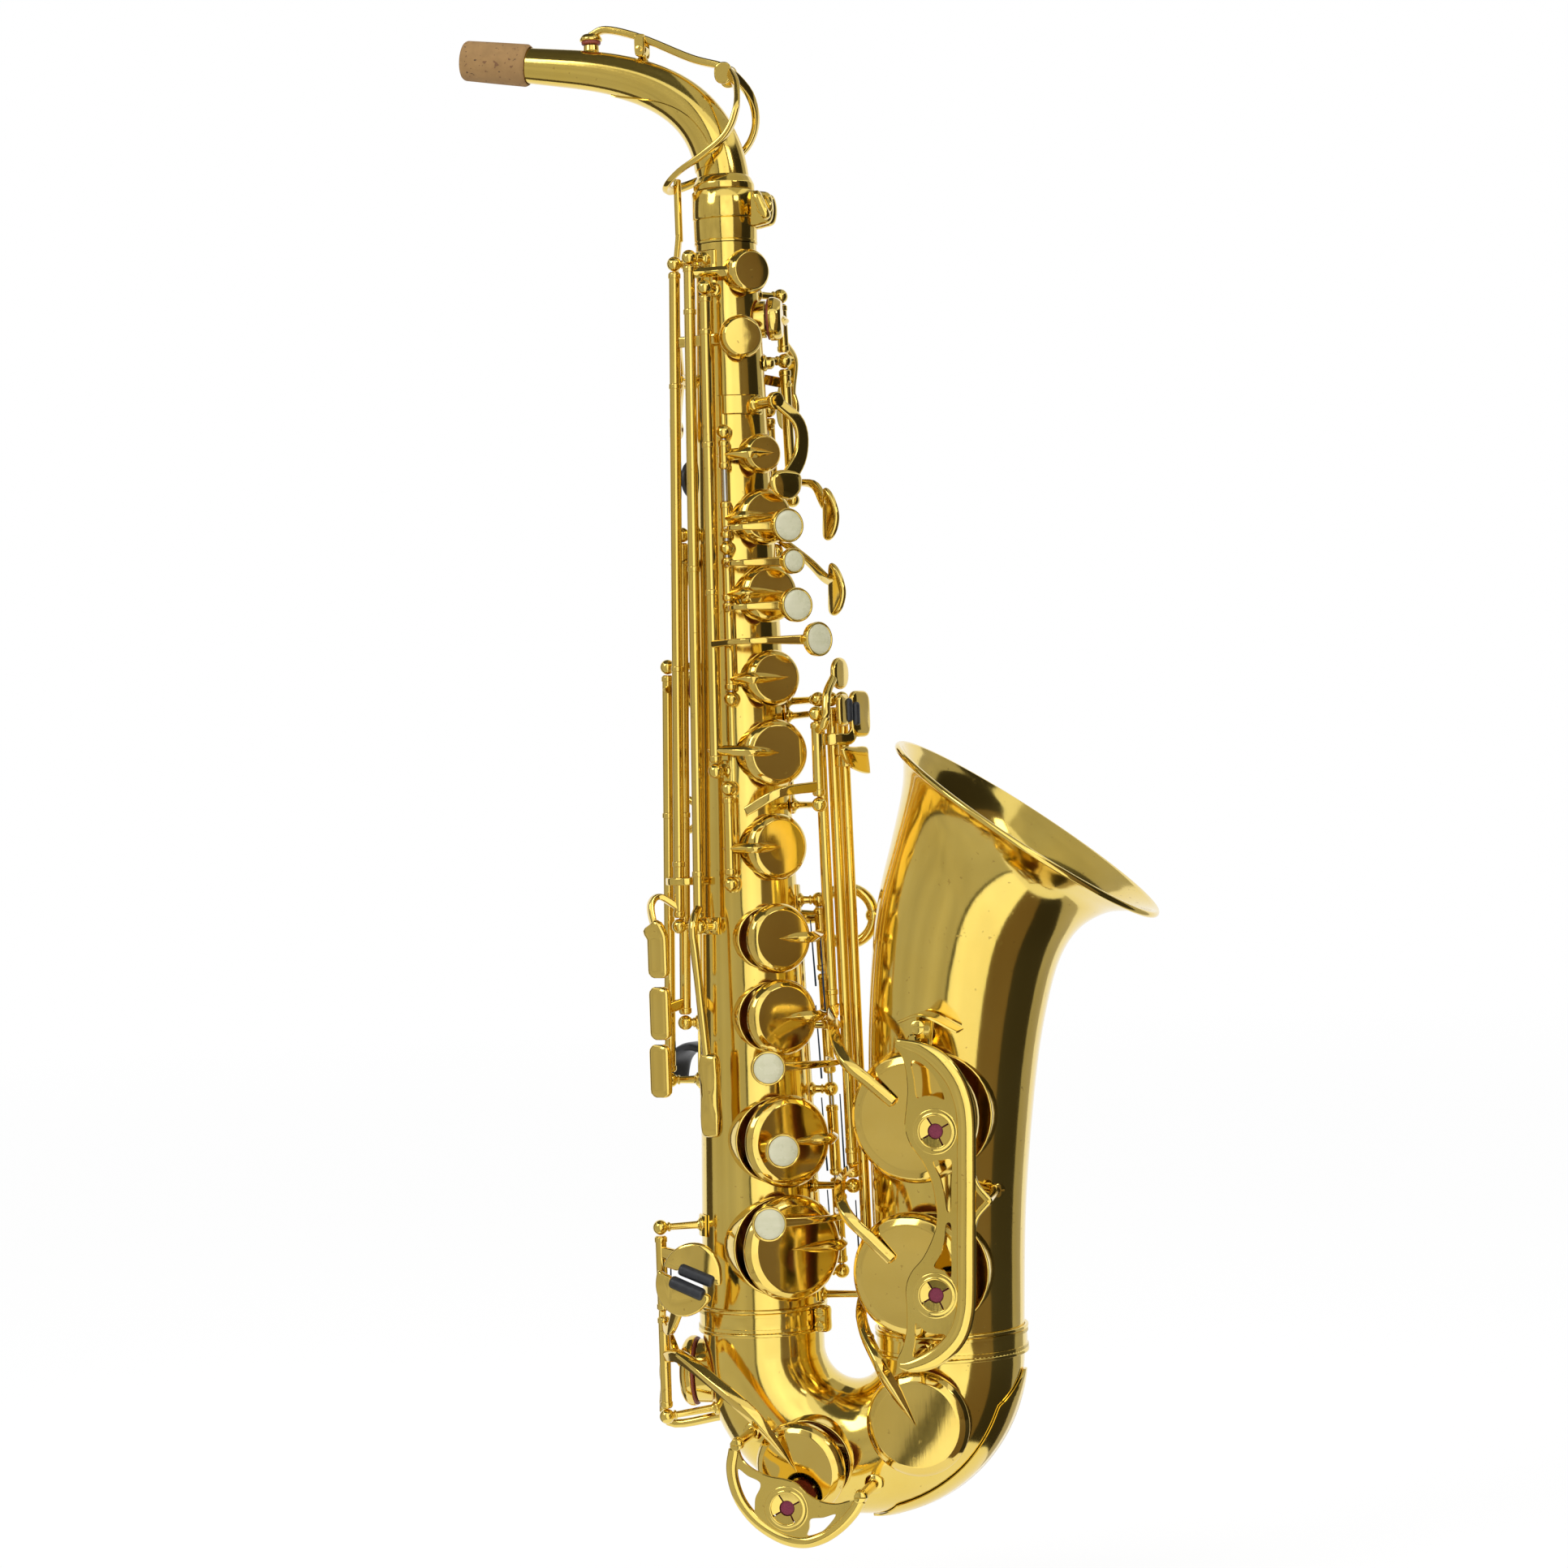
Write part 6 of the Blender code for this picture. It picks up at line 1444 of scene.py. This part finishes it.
def make_ribs():
    reach = BALL_RADIUS + SEAT_GAP
    make_rib("side_keys_top_rib", [(95, 156, 224.5, 231), (95, 104, 211.5, 226)],
             [(ROD_HIGH_E, 223 + reach), (ROD_HIGH_FS, 224 + reach), (ROD_G, 211 + reach)], "side_rib_top")
    make_rib("side_keys_foot_rib", [(112, 156, -49, -42)],
             [(ROD_HIGH_E, -42 - reach), (ROD_HIGH_FS, -42 - reach)], "side_rib_bottom")
    make_rib("side_c_post_rib", [(157, 165, -89, 119)],
             [(ROD_SIDE_C, -82 - reach), (ROD_SIDE_C, 112 + reach)], "side_c_rib")
    make_rib("side_bb_post_rib", [(169, 177, -113, 65)],
             [(ROD_SIDE_BB, -106 - reach), (ROD_SIDE_BB, 58 + reach)], "side_bb_rib")
    normal = outward(36)
    base = off_body(36, SEAT_GAP + 0.6, 167)
    stand = turned(soften([(3.4, 0), (3.4, 1.4), (2.4, 2.2), (2.4, 11.2)], 0.5), base, normal, 24)
    make_rib("upper_stack_post_rib", [(87.5, 97, -32, 171), (88, 103, 13, 22), (22, 92, 163, 171)],
             [(ROD_UPPER, 152 + reach), (ROD_UPPER, 108), (ROD_UPPER, 50 - reach), (ROD_G, 21 - reach),
              (ROD_GS, 7 + reach), (ROD_GS, -25 - reach)], "upper_stack_rib", extra=[stand])
    make_rib("lower_stack_post_rib",
             [(-11, -1, -200.8, -30), (-3, 15, -91, -84), (-3, 9, -155, -151.6), (-3, 9, -200.8, -196.4)],
             [(ROD_LOWER, -40 + reach), (ROD_LOWER, -114.5), (ROD_LOWER, -186 - reach),
              (ROD_LOW_B, -84 - reach), (ROD_LOW_BB, -150 - reach), (ROD_LOW_CS, -195 - reach)],
             "lower_stack_rib")
    make_rib("palm_post_rib", [(-60, -46, 104, 218)],
             [(ROD_PALM_D, 112 - reach), (ROD_PALM_D, 164 + reach), (ROD_PALM, 133 - reach),
              (ROD_PALM, 187.5), (ROD_PALM, 211 + reach)], "palm_rib")
    table_heads = [(rod, TABLE_TUBE_TOP_Z + reach) for rod in (ROD_LOW_B, ROD_LOW_BB, ROD_LOW_CS)]
    table_heads += [(ROD_GS_TOUCH, 36 + reach), (ROD_GS_TOUCH, 6 - reach)]
    make_rib("table_post_bracket", [(-14, -3, -1, 50)], table_heads, "table_bracket", -4)
    make_rib("pinky_top_post", [(140, 160, -173, -164)], [(ROD_PINKY, -171.5 + reach)], "pinky_post_top")
    for stack, rod, low, high in (("upper_stack", ROD_UPPER, 44, 157), ("lower_stack", ROD_LOWER, -192, -34)):
        steel = pipe(rod.at(low), rod.at(high), ROD_STEEL_RADIUS)
        add(stack + "_steel", [steel], STEEL, stands_for=[stack + "_rod"])
    head = ROD_PINKY.at(-242 - reach)
    centre, _, radius = bow_station(math.radians(30))
    way = (centre - head).normalized()
    base = centre - way * (radius + 0.4)
    add("pinky_foot_post", post(base, base - way * 2.5, head), TUBE_BRASS, stands_for=["pinky_post_bottom"])
    arch = [(129, 0.6), (134, 9), (143, 13.6), (152, 13.8), (158, 12), (166, 0.6)]
    arch = [off_body(angle, stand, -27) for angle, stand in arch]
    add("side_rod_guide", [bar(arch, (1.5, 0.7), STRAP, UP)], TUBE_BRASS)
    dome = soften([(3.4, 0), (3.4, 0.8), (2.6, 1.2), (2.6, 3.0), (1.7, 4.2), (0.1, 4.6)], 0.4)
    add("body_vent_stub", [turned(dome, off_body(-8, 0.1, 185), outward(-8), 28)], TUBE_BRASS)


def make_springs():
    """Blued needle springs that run from the posts beside the hinge tubes."""
    stand = 3.4
    runs = []
    for rod, low, high in ((ROD_LOWER, -72, -45), (ROD_LOWER, -110, -80), (ROD_LOWER, -148, -118),
                           (ROD_LOWER, -186, -156), (ROD_UPPER, 62, 88), (ROD_UPPER, 112, 138),
                           (ROD_GS, -20, 2), (ROD_G, 30, 58)):
        runs.append((rod, low, high, -outward(rod.angle) * stand + around(rod.angle) * 1.2))
    for rod, low, high in ((ROD_LOW_B, -82, -52), (ROD_LOW_BB, -148, -116), (ROD_LOW_CS, -192, -160),
                           (ROD_PINKY, -200, -178)):
        runs.append((rod, low, high, Vector((-rod.at(low).x, -rod.y, 0)).normalized() * stand))
    shells = []
    for rod, low, high, inward in runs:
        ends = [rod.at(low) + inward, rod.at(high) + inward * 1.15]
        shells.append(bar(ends, [(0.42, 0.42), (0.25, 0.25)], unit_circle(8)))
    add("needle_springs", shells, BLUED)


# Brace, ring, thumb pieces


def make_brace():
    centre = Vector((38.5, BRACE_Y, BRACE_Z))
    ring = circle(centre, Vector((1, 0, 0)), UP, BRACE_RADIUS, 40)
    shells = [bar(ring, (3.0, 2.3), unit_box(0.8), SIDE, 1, True)]
    left = centre - Vector((BRACE_RADIUS, 0, 0))
    wall = math.sqrt(body_radius(BRACE_Z) ** 2 - BRACE_Y ** 2)
    shells.append(bar([left, Vector((wall + 0.3, BRACE_Y, BRACE_Z))], [(2.4, 2.4), (3.4, 3.4)]))
    shells.append(saddle(-44, -18, -53, -35))
    right = centre + Vector((BRACE_RADIUS, 0, 0))
    shells.append(ball(right, 3.6))
    shells.append(bar([right, right + Vector((6.5, 0, 0))], [(2.4, 2.4), (4.2, 4.2)]))
    add("bell_to_body_brace", shells, TUBE_BRASS, stands_for=["bell_brace"])


def make_strap_ring():
    centre = polar(STRAP_ANGLE, body_radius(0) + STRAP_STAND, 0)
    way = outward(STRAP_ANGLE)
    ring = circle(centre, way, UP, 6.6, 40)
    shells = [bar(ring, (1.6, 1.6), ROUND, around(STRAP_ANGLE), 1, True), saddle(179, 205, -13, 13)]
    shells.append(plate(rounded_outline(3.6, 10, 4), off_body(STRAP_ANGLE, 1.6, 0), way, 2.6, UP, 0.5))
    add("strap_hook_ring", shells, TUBE_BRASS, stands_for=["strap_ring"])


def make_thumb_pieces():
    angle = THUMB_ANGLE
    z = THUMB_HOOK_Z
    hook = [(1.5, z + 6), (12, z + 7), (20, z + 2), (22, z - 8)]
    path = [off_body(angle, stand, height) for stand, height in hook]
    shells = [saddle(angle - 15, angle + 15, z - 14, z + 12, SEAT_GAP, 2)]
    shells.append(bar(path, [(7.5, 1.8), (7.2, 1.8), (6.8, 1.7), (5.8, 1.5)], unit_box(0.6), around(angle)))
    add("thumb_hook_moulding", shells, PLASTIC, stands_for=["thumb_hook"])
    rest = soften([(5, 0), (5, 3), (8, 3.6), (8, 5.4), (5.5, 6.8), (0.1, 7)], 0.7)
    button = turned(rest, off_body(196, SEAT_GAP, 139), outward(196), 40)
    add("thumb_rest_button", [button], PLASTIC, stands_for=["thumb_rest"])


# Guards


def guard_web(path, y, width):
    """Strip that lies flat in the guard's plane."""
    points = flow([Vector((x, y, z)) for x, z in path], 8)
    rings = []
    for index, point in enumerate(points):
        way = (points[min(index + 1, len(points) - 1)] - points[max(index - 1, 0)]).normalized()
        wide = way.cross(SIDE).normalized()
        rings.append([point + wide * (u * width) + SIDE * (v * SHEET_HALF) for u, v in STRAP])
    return skin(rings)


def adjuster(x, z, y):
    """Threaded ring of a guard with its slotted cup, open in the middle for the felt."""
    face = Vector((0, -1, 0))
    base = Vector((x, y, z))
    ring = [(6.4, -0.9), (9.2, -0.9), (9.2, 0.7), (8.7, 1.15), (7.5, 1.15), (6.9, 1.5), (6.2, 1.3),
            (6.2, -0.9)]
    shells = [turned(soften(ring, 0.3, True), base, face, 48, True)]
    for quarter in range(4):
        outline = []
        for radius, order in ((6.3, range(9)), (3.1, range(8, -1, -1))):
            slack = 0.32 / radius
            for step in order:
                turn = math.pi / 2 * quarter + 0.5 + slack + (math.pi / 2 - 2 * slack) * step / 8
                sink = -0.2 if radius > 4 else -1.0
                outline.append(base + Vector((radius * math.cos(turn), -sink, radius * math.sin(turn))))
        shells.append(skin([outline, [p - SIDE * 0.9 for p in outline]]))
    return shells


def bumper(name, x, z, y, node):
    base = Vector((x, y + 1.2, z))
    profile = soften([(0.1, -0.5), (2.9, -0.5), (2.9, 0.2), (6, 0.2), (6, 1.6), (0.1, 1.6)], 0.3)
    add(name, [turned(profile, base, SIDE, 36)], FELT, stands_for=[node])


def guard_stand(x, z, y, depth):
    start = Vector((x, y, z))
    end = start + SIDE * depth
    shells = [bar([start, end], [(1.9, 1.9), (2.2, 2.2)])]
    shells.append(turned(soften([(4.0, 0), (4.0, 1.0), (2.4, 1.8)], 0.4), end, Vector((0, -1, 0)), 24))
    return shells


def evenly(points, count):
    """The same line with its points spaced evenly."""
    run = [0.0]
    for before, after in zip(points, points[1:]):
        run.append(run[-1] + (after - before).length)
    result = []
    span = 0
    for step in range(count):
        reach = run[-1] * step / (count - 1)
        while span < len(points) - 2 and run[span + 1] < reach:
            span += 1
        result.append(points[span].lerp(points[span + 1], (reach - run[span]) / (run[span + 1] - run[span])))
    return result


def pressed_sheet(name, rail, inner, windows, bosses, y):
    """Flat sheet between a guard's rail and its inner edge, with windows and threaded holes cut through."""
    rings = []
    spots, cut_depth, brim_width, brim_half = 72, 3, 0.35, 0.55
    rail_run = evenly(flow([Vector(p) for p in rail], 8), spots)
    inner_run = evenly(flow([Vector(p) for p in inner], 8), spots)
    for held, free in zip(rail_run, inner_run):
        brim = free + (held - free).normalized() * brim_width
        section = [(held, -SHEET_HALF), (brim, -SHEET_HALF), (free, -brim_half), (free, brim_half),
                   (brim, SHEET_HALF), (held, SHEET_HALF)]
        rings.append([Vector((p.x, y + depth, p.y)) for p, depth in section])
    sheet = make_mesh(name, [skin(rings)])
    tools = []
    for window in windows:
        edge = drawn_outline(window, 4)
        walls = [[Vector((x, y + depth, z)) for x, z in edge] for depth in (-cut_depth, cut_depth)]
        tools.append(make_mesh("window", [skin(walls)]))
    for x, z in bosses:
        hole = turned([(BOSS_RADIUS, -cut_depth), (BOSS_RADIUS, cut_depth)], Vector((x, y, z)), SIDE, 40)
        tools.append(make_mesh("window", [hole]))
    settle(cut_out(sheet, tools), TUBE_BRASS)


def bow_wall(x, z):
    """Depth of the bow's front wall at a place on a guard."""
    turn = math.atan2(BODY_FOOT_Z - BOW_LEG - z, BOW_RADIUS - x)
    centre, _, radius = bow_station(turn)
    aside = (Vector((x, 0, z)) - centre).length
    return -math.sqrt(radius ** 2 - aside ** 2)


def make_bell_guard():
    y = GUARD_Y
    rail = [(73, -90.8), (82, -93.5), (89.5, -98.3), (95, -105.2), (98, -112.5), (99.3, -121), (99, -135),
            (98.4, -153), (97.7, -172), (97, -190), (96, -198), (93.4, -205.2), (88.4, -211), (82, -215.2),
            (74.5, -217.6), (69.5, -217.4)]
    inner = [(72, -93), (75, -97), (76.3, -103), (76.6, -110), (75.8, -117), (75, -124), (77, -131),
             (81.2, -137), (84.6, -144.5), (86.2, -153), (86.6, -160), (85, -166.5), (80.6, -175),
             (75.6, -180.8), (73.2, -187), (73.3, -195.5), (73, -203), (71.2, -210), (68.6, -215)]
    windows = [
        [(78.6, -98.6), (79.3, -105.5), (80.2, -112.6), (83.6, -112), (87.7, -112.4), (91.2, -113.6),
         (89.9, -109), (86.9, -103.5), (82.8, -99.5)],
        [(85.8, -137.8), (89.5, -137.2), (93.2, -137.5), (92.8, -147.5), (92.3, -156.4), (90.7, -156.9),
         (89.9, -151), (88.4, -144)],
        [(90.2, -162.1), (92.2, -162.5), (91.9, -171.6), (91.4, -182.6), (88.5, -180.2), (84.8, -178.6),
         (87.6, -173.7), (89.2, -168.4)],
        [(76.8, -200.8), (80.1, -203.7), (83.6, -204.8), (88.3, -205.2), (87.3, -208.5), (84.1, -212),
         (79.8, -213.6), (75.2, -213.9), (76.1, -207.9)],
    ]
    bosses = [(87, -126), (85, -190)]
    pressed_sheet("bell_guard_sheet", rail, inner, windows, bosses, y)
    sizes = [(1.0, 1.4), (1.7, 2.8)] + [(2.0, 3.9)] * 11 + [(1.9, 3.6), (1.6, 2.6), (1.0, 1.3)]
    shells = [bar([Vector((x, y - 0.1, z)) for x, z in rail], sizes, ROUND, SIDE)]
    for x, z in bosses:
        shells += adjuster(x, z, y)
    shells += guard_stand(79, -89.8, y, 20.2) + guard_stand(74, -216, y, 27)
    shelf = [Vector((73, y + 11, -83.4)), Vector((82.6, y + 11, -81)), Vector((96, y + 11, -87.8))]
    shells.append(bar(shelf, [(8.5, 0.6), (9.2, 0.7), (7.5, 0.6)], STRAP, SIDE, 4))
    riser = [Vector((82, y + 6, -93)), Vector((82, y + 9, -88)), Vector((82.4, y + 11, -81.6))]
    shells.append(bar(riser, (3.4, 1.0), STRAP, UP.cross(SIDE)))
    shells += screw_head(Vector((81, y + 2.4, -85.6)), Vector((0, -1, 0.15)), 2.7)
    foot = Vector((103.6, -23.6, -153))
    apex = Vector((107, y + 1, -153.3))
    shells.append(guard_web([(100.6, -141), (102.6, -147.5), (107, -153)], y + 0.4, 1.3))
    shells.append(guard_web([(100, -165), (102.2, -159), (107, -153.6)], y + 0.4, 1.3))
    stay = [apex, apex.lerp(foot, 0.5) + Vector((0.6, 0, 0)), foot]
    shells.append(bar(stay, [(1.5, 1.5), (1.4, 1.4), (2.2, 2.2)]))
    shells += screw_head(foot + Vector((1.0, -2.2, 0)), Vector((0.62, -0.78, 0)), 2.8, 2.2)
    add("bell_keys_guard", shells, TUBE_BRASS, stands_for=["bell_key_guard"])
    for key, (x, z) in zip(("low_b", "low_bb"), bosses):
        bumper(key + "_bumper", x, z, y, key + "_felt")


def make_bow_guards():
    y = LOW_C_GUARD_Y
    rail = [(-0.8, -253), (-2, -260), (-1, -267.5), (2.2, -275), (8.5, -282.2), (17.5, -287.6), (26, -289.3),
            (34, -287.4), (41, -283), (46.6, -277.4), (50, -272.2)]
    inner = [(1, -252), (3, -257), (7.5, -260.8), (13.5, -263.2), (19.5, -264.2), (24.5, -266), (29, -270.2),
             (34, -272.8), (40, -273.6), (45.5, -272.4), (49.2, -270.6)]
    windows = [
        [(0.4, -260.6), (4.7, -263.2), (9, -265.2), (9.6, -267.6), (7.4, -272), (6.6, -277.6), (3.2, -274.8),
         (1, -268.9)],
        [(29.8, -279.9), (35, -279.2), (40, -277.8), (37.3, -281.8), (33.1, -285.4), (28.2, -286.8),
         (29, -283.6)],
    ]
    boss = (20, -276)
    pressed_sheet("low_c_guard_sheet", rail, inner, windows, [boss], y)
    shells = [bar([Vector((x, y - 0.1, z)) for x, z in rail], (1.8, 2.4), ROUND, SIDE)]
    shells += adjuster(*boss, y)
    for x, z in ((0.6, -250.6), (50.4, -270.6)):
        shells += guard_stand(x, z, y, bow_wall(x, z) - y - 0.4)
        shells.append(ball(Vector((x, y + 0.4, z)), 2.7))
        shells += screw_head(Vector((x, y - 2.0, z)), Vector((0, -1, 0)), 2.3)
    add("low_c_key_guard", shells, TUBE_BRASS, stands_for=["low_c_guard"])
    bumper("low_c_bumper", *boss, y, "low_c_felt")

    hole = LOW_EB_HOLE
    top = hole.rim + hole.normal * (CUP_HEIGHT + 9)
    low = Vector((top.x, top.y + 4, top.z - 22))
    centre, _, radius = bow_station(math.radians(38))
    foot = centre + (low - centre).normalized() * (radius + 0.4)
    shells = [bar([foot, low, top - UP * 4, top], [(2.0, 2.0), (1.8, 1.8), (1.8, 1.8), (2.4, 1.4)])]
    button = soften([(6.2, -0.9), (6.2, 0.9), (5.0, 1.2), (0.1, 1.2)], 0.4)
    shells.append(turned(button, top, hole.normal, 36))
    shells.append(turned(soften([(4, 0), (4, 1), (2.4, 1.8)], 0.4), foot, low - centre, 24))
    add("low_eb_key_guard", shells, TUBE_BRASS, stands_for=["low_eb_guard"])


# Studio, in metres

WHITE = (1, 1, 1, 1)
FLOOR_GAP = 0.045
WORLD_LIGHT = 0.8
CARD_INNER = 0.14
CARD_DISTANCE = 1.7
CARD_TOP = 1.3
CEILING_HEIGHT = 1.15
CAMERA_DISTANCE = 1.4
CAMERA_LENS = 77.9
CAMERA_ROLL = math.radians(-2)
CAMERA_AZIMUTH = math.radians(14)
RIGHT = Vector((math.cos(CAMERA_AZIMUTH), math.sin(CAMERA_AZIMUTH), 0))
BACK = Vector((math.sin(CAMERA_AZIMUTH), -math.cos(CAMERA_AZIMUTH), 0))
AIM = (RIGHT * 16.2 + UP * 11.4 + OFFSET) * MM


def floor_finish():
    """White paper that still takes the object's shadow."""
    made = Finish("floor_paper")
    grain = made.noise(6, 3)
    paper = made.blend(grain, (0.93, 0.93, 0.93), (0.96, 0.96, 0.96))
    made.dress(Base_Color=paper, Roughness=0.7 + grain * 0.2)
    glow = made.node("ShaderNodeEmission", {}, {"Color": WHITE, "Strength": 1.0})
    far = made.node("ShaderNodeVectorMath", {"operation": 'LENGTH'}, {0: made.place()}, "Value")
    share = made.seen() * (0.84 + (far * 0.3 - 0.1).limited() * 0.16)
    mix = made.node("ShaderNodeMixShader", {}, {0: share, 1: Value(made, made.shader.outputs[0]), 2: glow})
    made.join(made.tree.nodes["Material Output"].inputs["Surface"], mix)
    return made.material


def card_finish(name, tone):
    """Evenly lit room surface that only the brass sees."""
    made = Finish(name)
    shade = made.noise(1.6, 2) * 0.7 + 0.65
    colour = made.node("ShaderNodeMixRGB", {"blend_type": 'MULTIPLY'}, {0: 1.0, 1: shade, 2: (*tone, 1)})
    return made.dress(Base_Color=(0, 0, 0, 1), Roughness=1.0, Emission_Color=colour, Emission_Strength=1.0)


def hang_card(name, points, faces, finish):
    """Card that the camera and the light on matt surfaces pass through."""
    mesh = bpy.data.meshes.new(name)
    mesh.from_pydata([tuple(p) for p in points], [], faces)
    mesh.materials.append(finish)
    card = bpy.data.objects.new(name, mesh)
    bpy.context.collection.objects.link(card)
    card.visible_camera = False
    card.visible_diffuse = False
    card.visible_shadow = False


def studio_card(name, angle_from, angle_to, low, finish):
    """Curved card round the object that runs in along the floor; angles are from the camera to its right."""
    steps = 8
    rings = []
    for step in range(steps + 1):
        turn = math.radians(angle_from + (angle_to - angle_from) * step / steps)
        way = BACK * math.cos(turn) + RIGHT * math.sin(turn)
        foot = Vector((AIM.x, AIM.y, low))
        corner = foot + way * CARD_DISTANCE
        rings.append([foot + way * CARD_INNER, corner, corner + UP * (CARD_TOP - low)])
    points = [p for ring in rings for p in ring]
    faces = []
    for k in range(0, steps * 3, 3):
        faces += [(k, k + 3, k + 4, k + 1), (k + 1, k + 4, k + 5, k + 2)]
    hang_card(name, points, faces, finish)


def ceiling_card(name, left, right, finish):
    """Level card above the object, measured across the picture."""
    points = []
    for across_way, depth in ((left, 0.9), (right, 0.9), (right, -1.2), (left, -1.2)):
        points.append(AIM + RIGHT * across_way + BACK * depth + UP * CEILING_HEIGHT)
    hang_card(name, points, [(0, 1, 2, 3)], finish)


def area_light(name, angle, height, distance, size, watts):
    turn = math.radians(angle)
    light = bpy.data.lights.new(name, 'AREA')
    light.shape = 'RECTANGLE'
    light.size, light.size_y = size
    light.energy = watts
    lamp = bpy.data.objects.new(name, light)
    bpy.context.collection.objects.link(lamp)
    lamp.location = AIM + (BACK * math.cos(turn) + RIGHT * math.sin(turn)) * distance + UP * height
    lamp.rotation_mode = 'QUATERNION'
    lamp.rotation_quaternion = (AIM - lamp.location).to_track_quat('-Z', 'Y')


def make_floor_and_cards():
    floor_z = CAD_LOW.z - FLOOR_GAP
    mesh = bpy.data.meshes.new("studio_floor")
    ring = circle(Vector((AIM.x, AIM.y, floor_z)), Vector((1, 0, 0)), SIDE, 6, 64)
    mesh.from_pydata([tuple(p) for p in ring], [], [tuple(range(64))])
    mesh.materials.append(floor_finish())
    floor = bpy.data.objects.new("studio_floor", mesh)
    bpy.context.collection.objects.link(floor)
    rows = [
        ("card_far_left", -130, -106, (0.07, 0.055, 0.035)),
        ("card_left", -106, -19, (0.50, 0.48, 0.43)),
        ("card_left_line", -19, -15, (0.03, 0.028, 0.02)),
        ("card_window", -15, 30, (1.3, 1.29, 1.22)),
        ("card_right_brown", 30, 62, (0.15, 0.10, 0.05)),
        ("card_right_black", 62, 104, (0.022, 0.018, 0.012)),
        ("card_right_edge", 104, 130, (0.42, 0.40, 0.36)),
    ]
    for name, start, end, tone in rows:
        studio_card(name, start, end, floor_z + 0.006, card_finish(name + "_sheet", tone))
    rows = [
        ("card_above_left", -1.1, 0.16, (0.07, 0.065, 0.05)),
        ("card_above_right", 0.16, 1.1, (0.46, 0.44, 0.38)),
    ]
    for name, left, right, tone in rows:
        ceiling_card(name, left, right, card_finish(name + "_sheet", tone))


def make_light():
    world = bpy.data.worlds.new("studio_world")
    bpy.context.scene.world = world
    world.use_nodes = True
    sky = NodeTree(world.node_tree)
    plain = sky.tree.nodes["Background"]
    sky.join(plain.inputs["Color"], WHITE)
    sky.join(plain.inputs["Strength"], WORLD_LIGHT)
    shown = sky.node("ShaderNodeBackground", {}, {"Color": WHITE, "Strength": 1.0})
    mix = sky.node("ShaderNodeMixShader", {}, {0: sky.seen(), 1: Value(sky, plain.outputs[0]), 2: shown})
    sky.join(sky.tree.nodes["World Output"].inputs["Surface"], mix)
    area_light("key_softbox", -50, 0.9, 1.6, (0.7, 1.4), 14)
    area_light("fill_softbox", 45, 0.5, 1.8, (0.5, 1.4), 8)
    area_light("top_softbox", 10, 1.7, 0.5, (1.0, 1.0), 10)


def make_camera():
    data = bpy.data.cameras.new("photo_camera")
    data.sensor_width = 36
    data.lens = CAMERA_LENS
    camera = bpy.data.objects.new("photo_camera", data)
    bpy.context.collection.objects.link(camera)
    camera.location = AIM + BACK * CAMERA_DISTANCE
    camera.rotation_mode = 'QUATERNION'
    look = (-BACK).to_track_quat('-Z', 'Y')
    camera.rotation_quaternion = look @ Matrix.Rotation(CAMERA_ROLL, 3, 'Z').to_quaternion()
    bpy.context.scene.camera = camera
    bpy.context.scene.view_settings.view_transform = 'Standard'


def main():
    make_body_tube()
    make_bow()
    make_bell()
    joint_band("body_to_bow_ring", 0, BODY_FOOT_Z, BODY_FOOT_RADIUS, "body_bow_ring")
    joint_band("bell_to_bow_ring", 2 * BOW_RADIUS, BELL_FOOT_Z, BELL_FOOT_RADIUS, "bell_bow_ring")
    ring_clamp()
    make_bow_strip()
    make_receiver()
    make_neck_octave_key(make_neck())
    make_octave_lever()
    make_upper_stack()
    make_lower_stack()
    make_side_keys()
    make_palm_keys()
    make_front_f()
    make_bell_keys()
    make_pinky_keys()
    make_ribs()
    make_springs()
    make_brace()
    make_strap_ring()
    make_thumb_pieces()
    make_bell_guard()
    make_bow_guards()
    make_floor_and_cards()
    make_light()
    make_camera()


main()
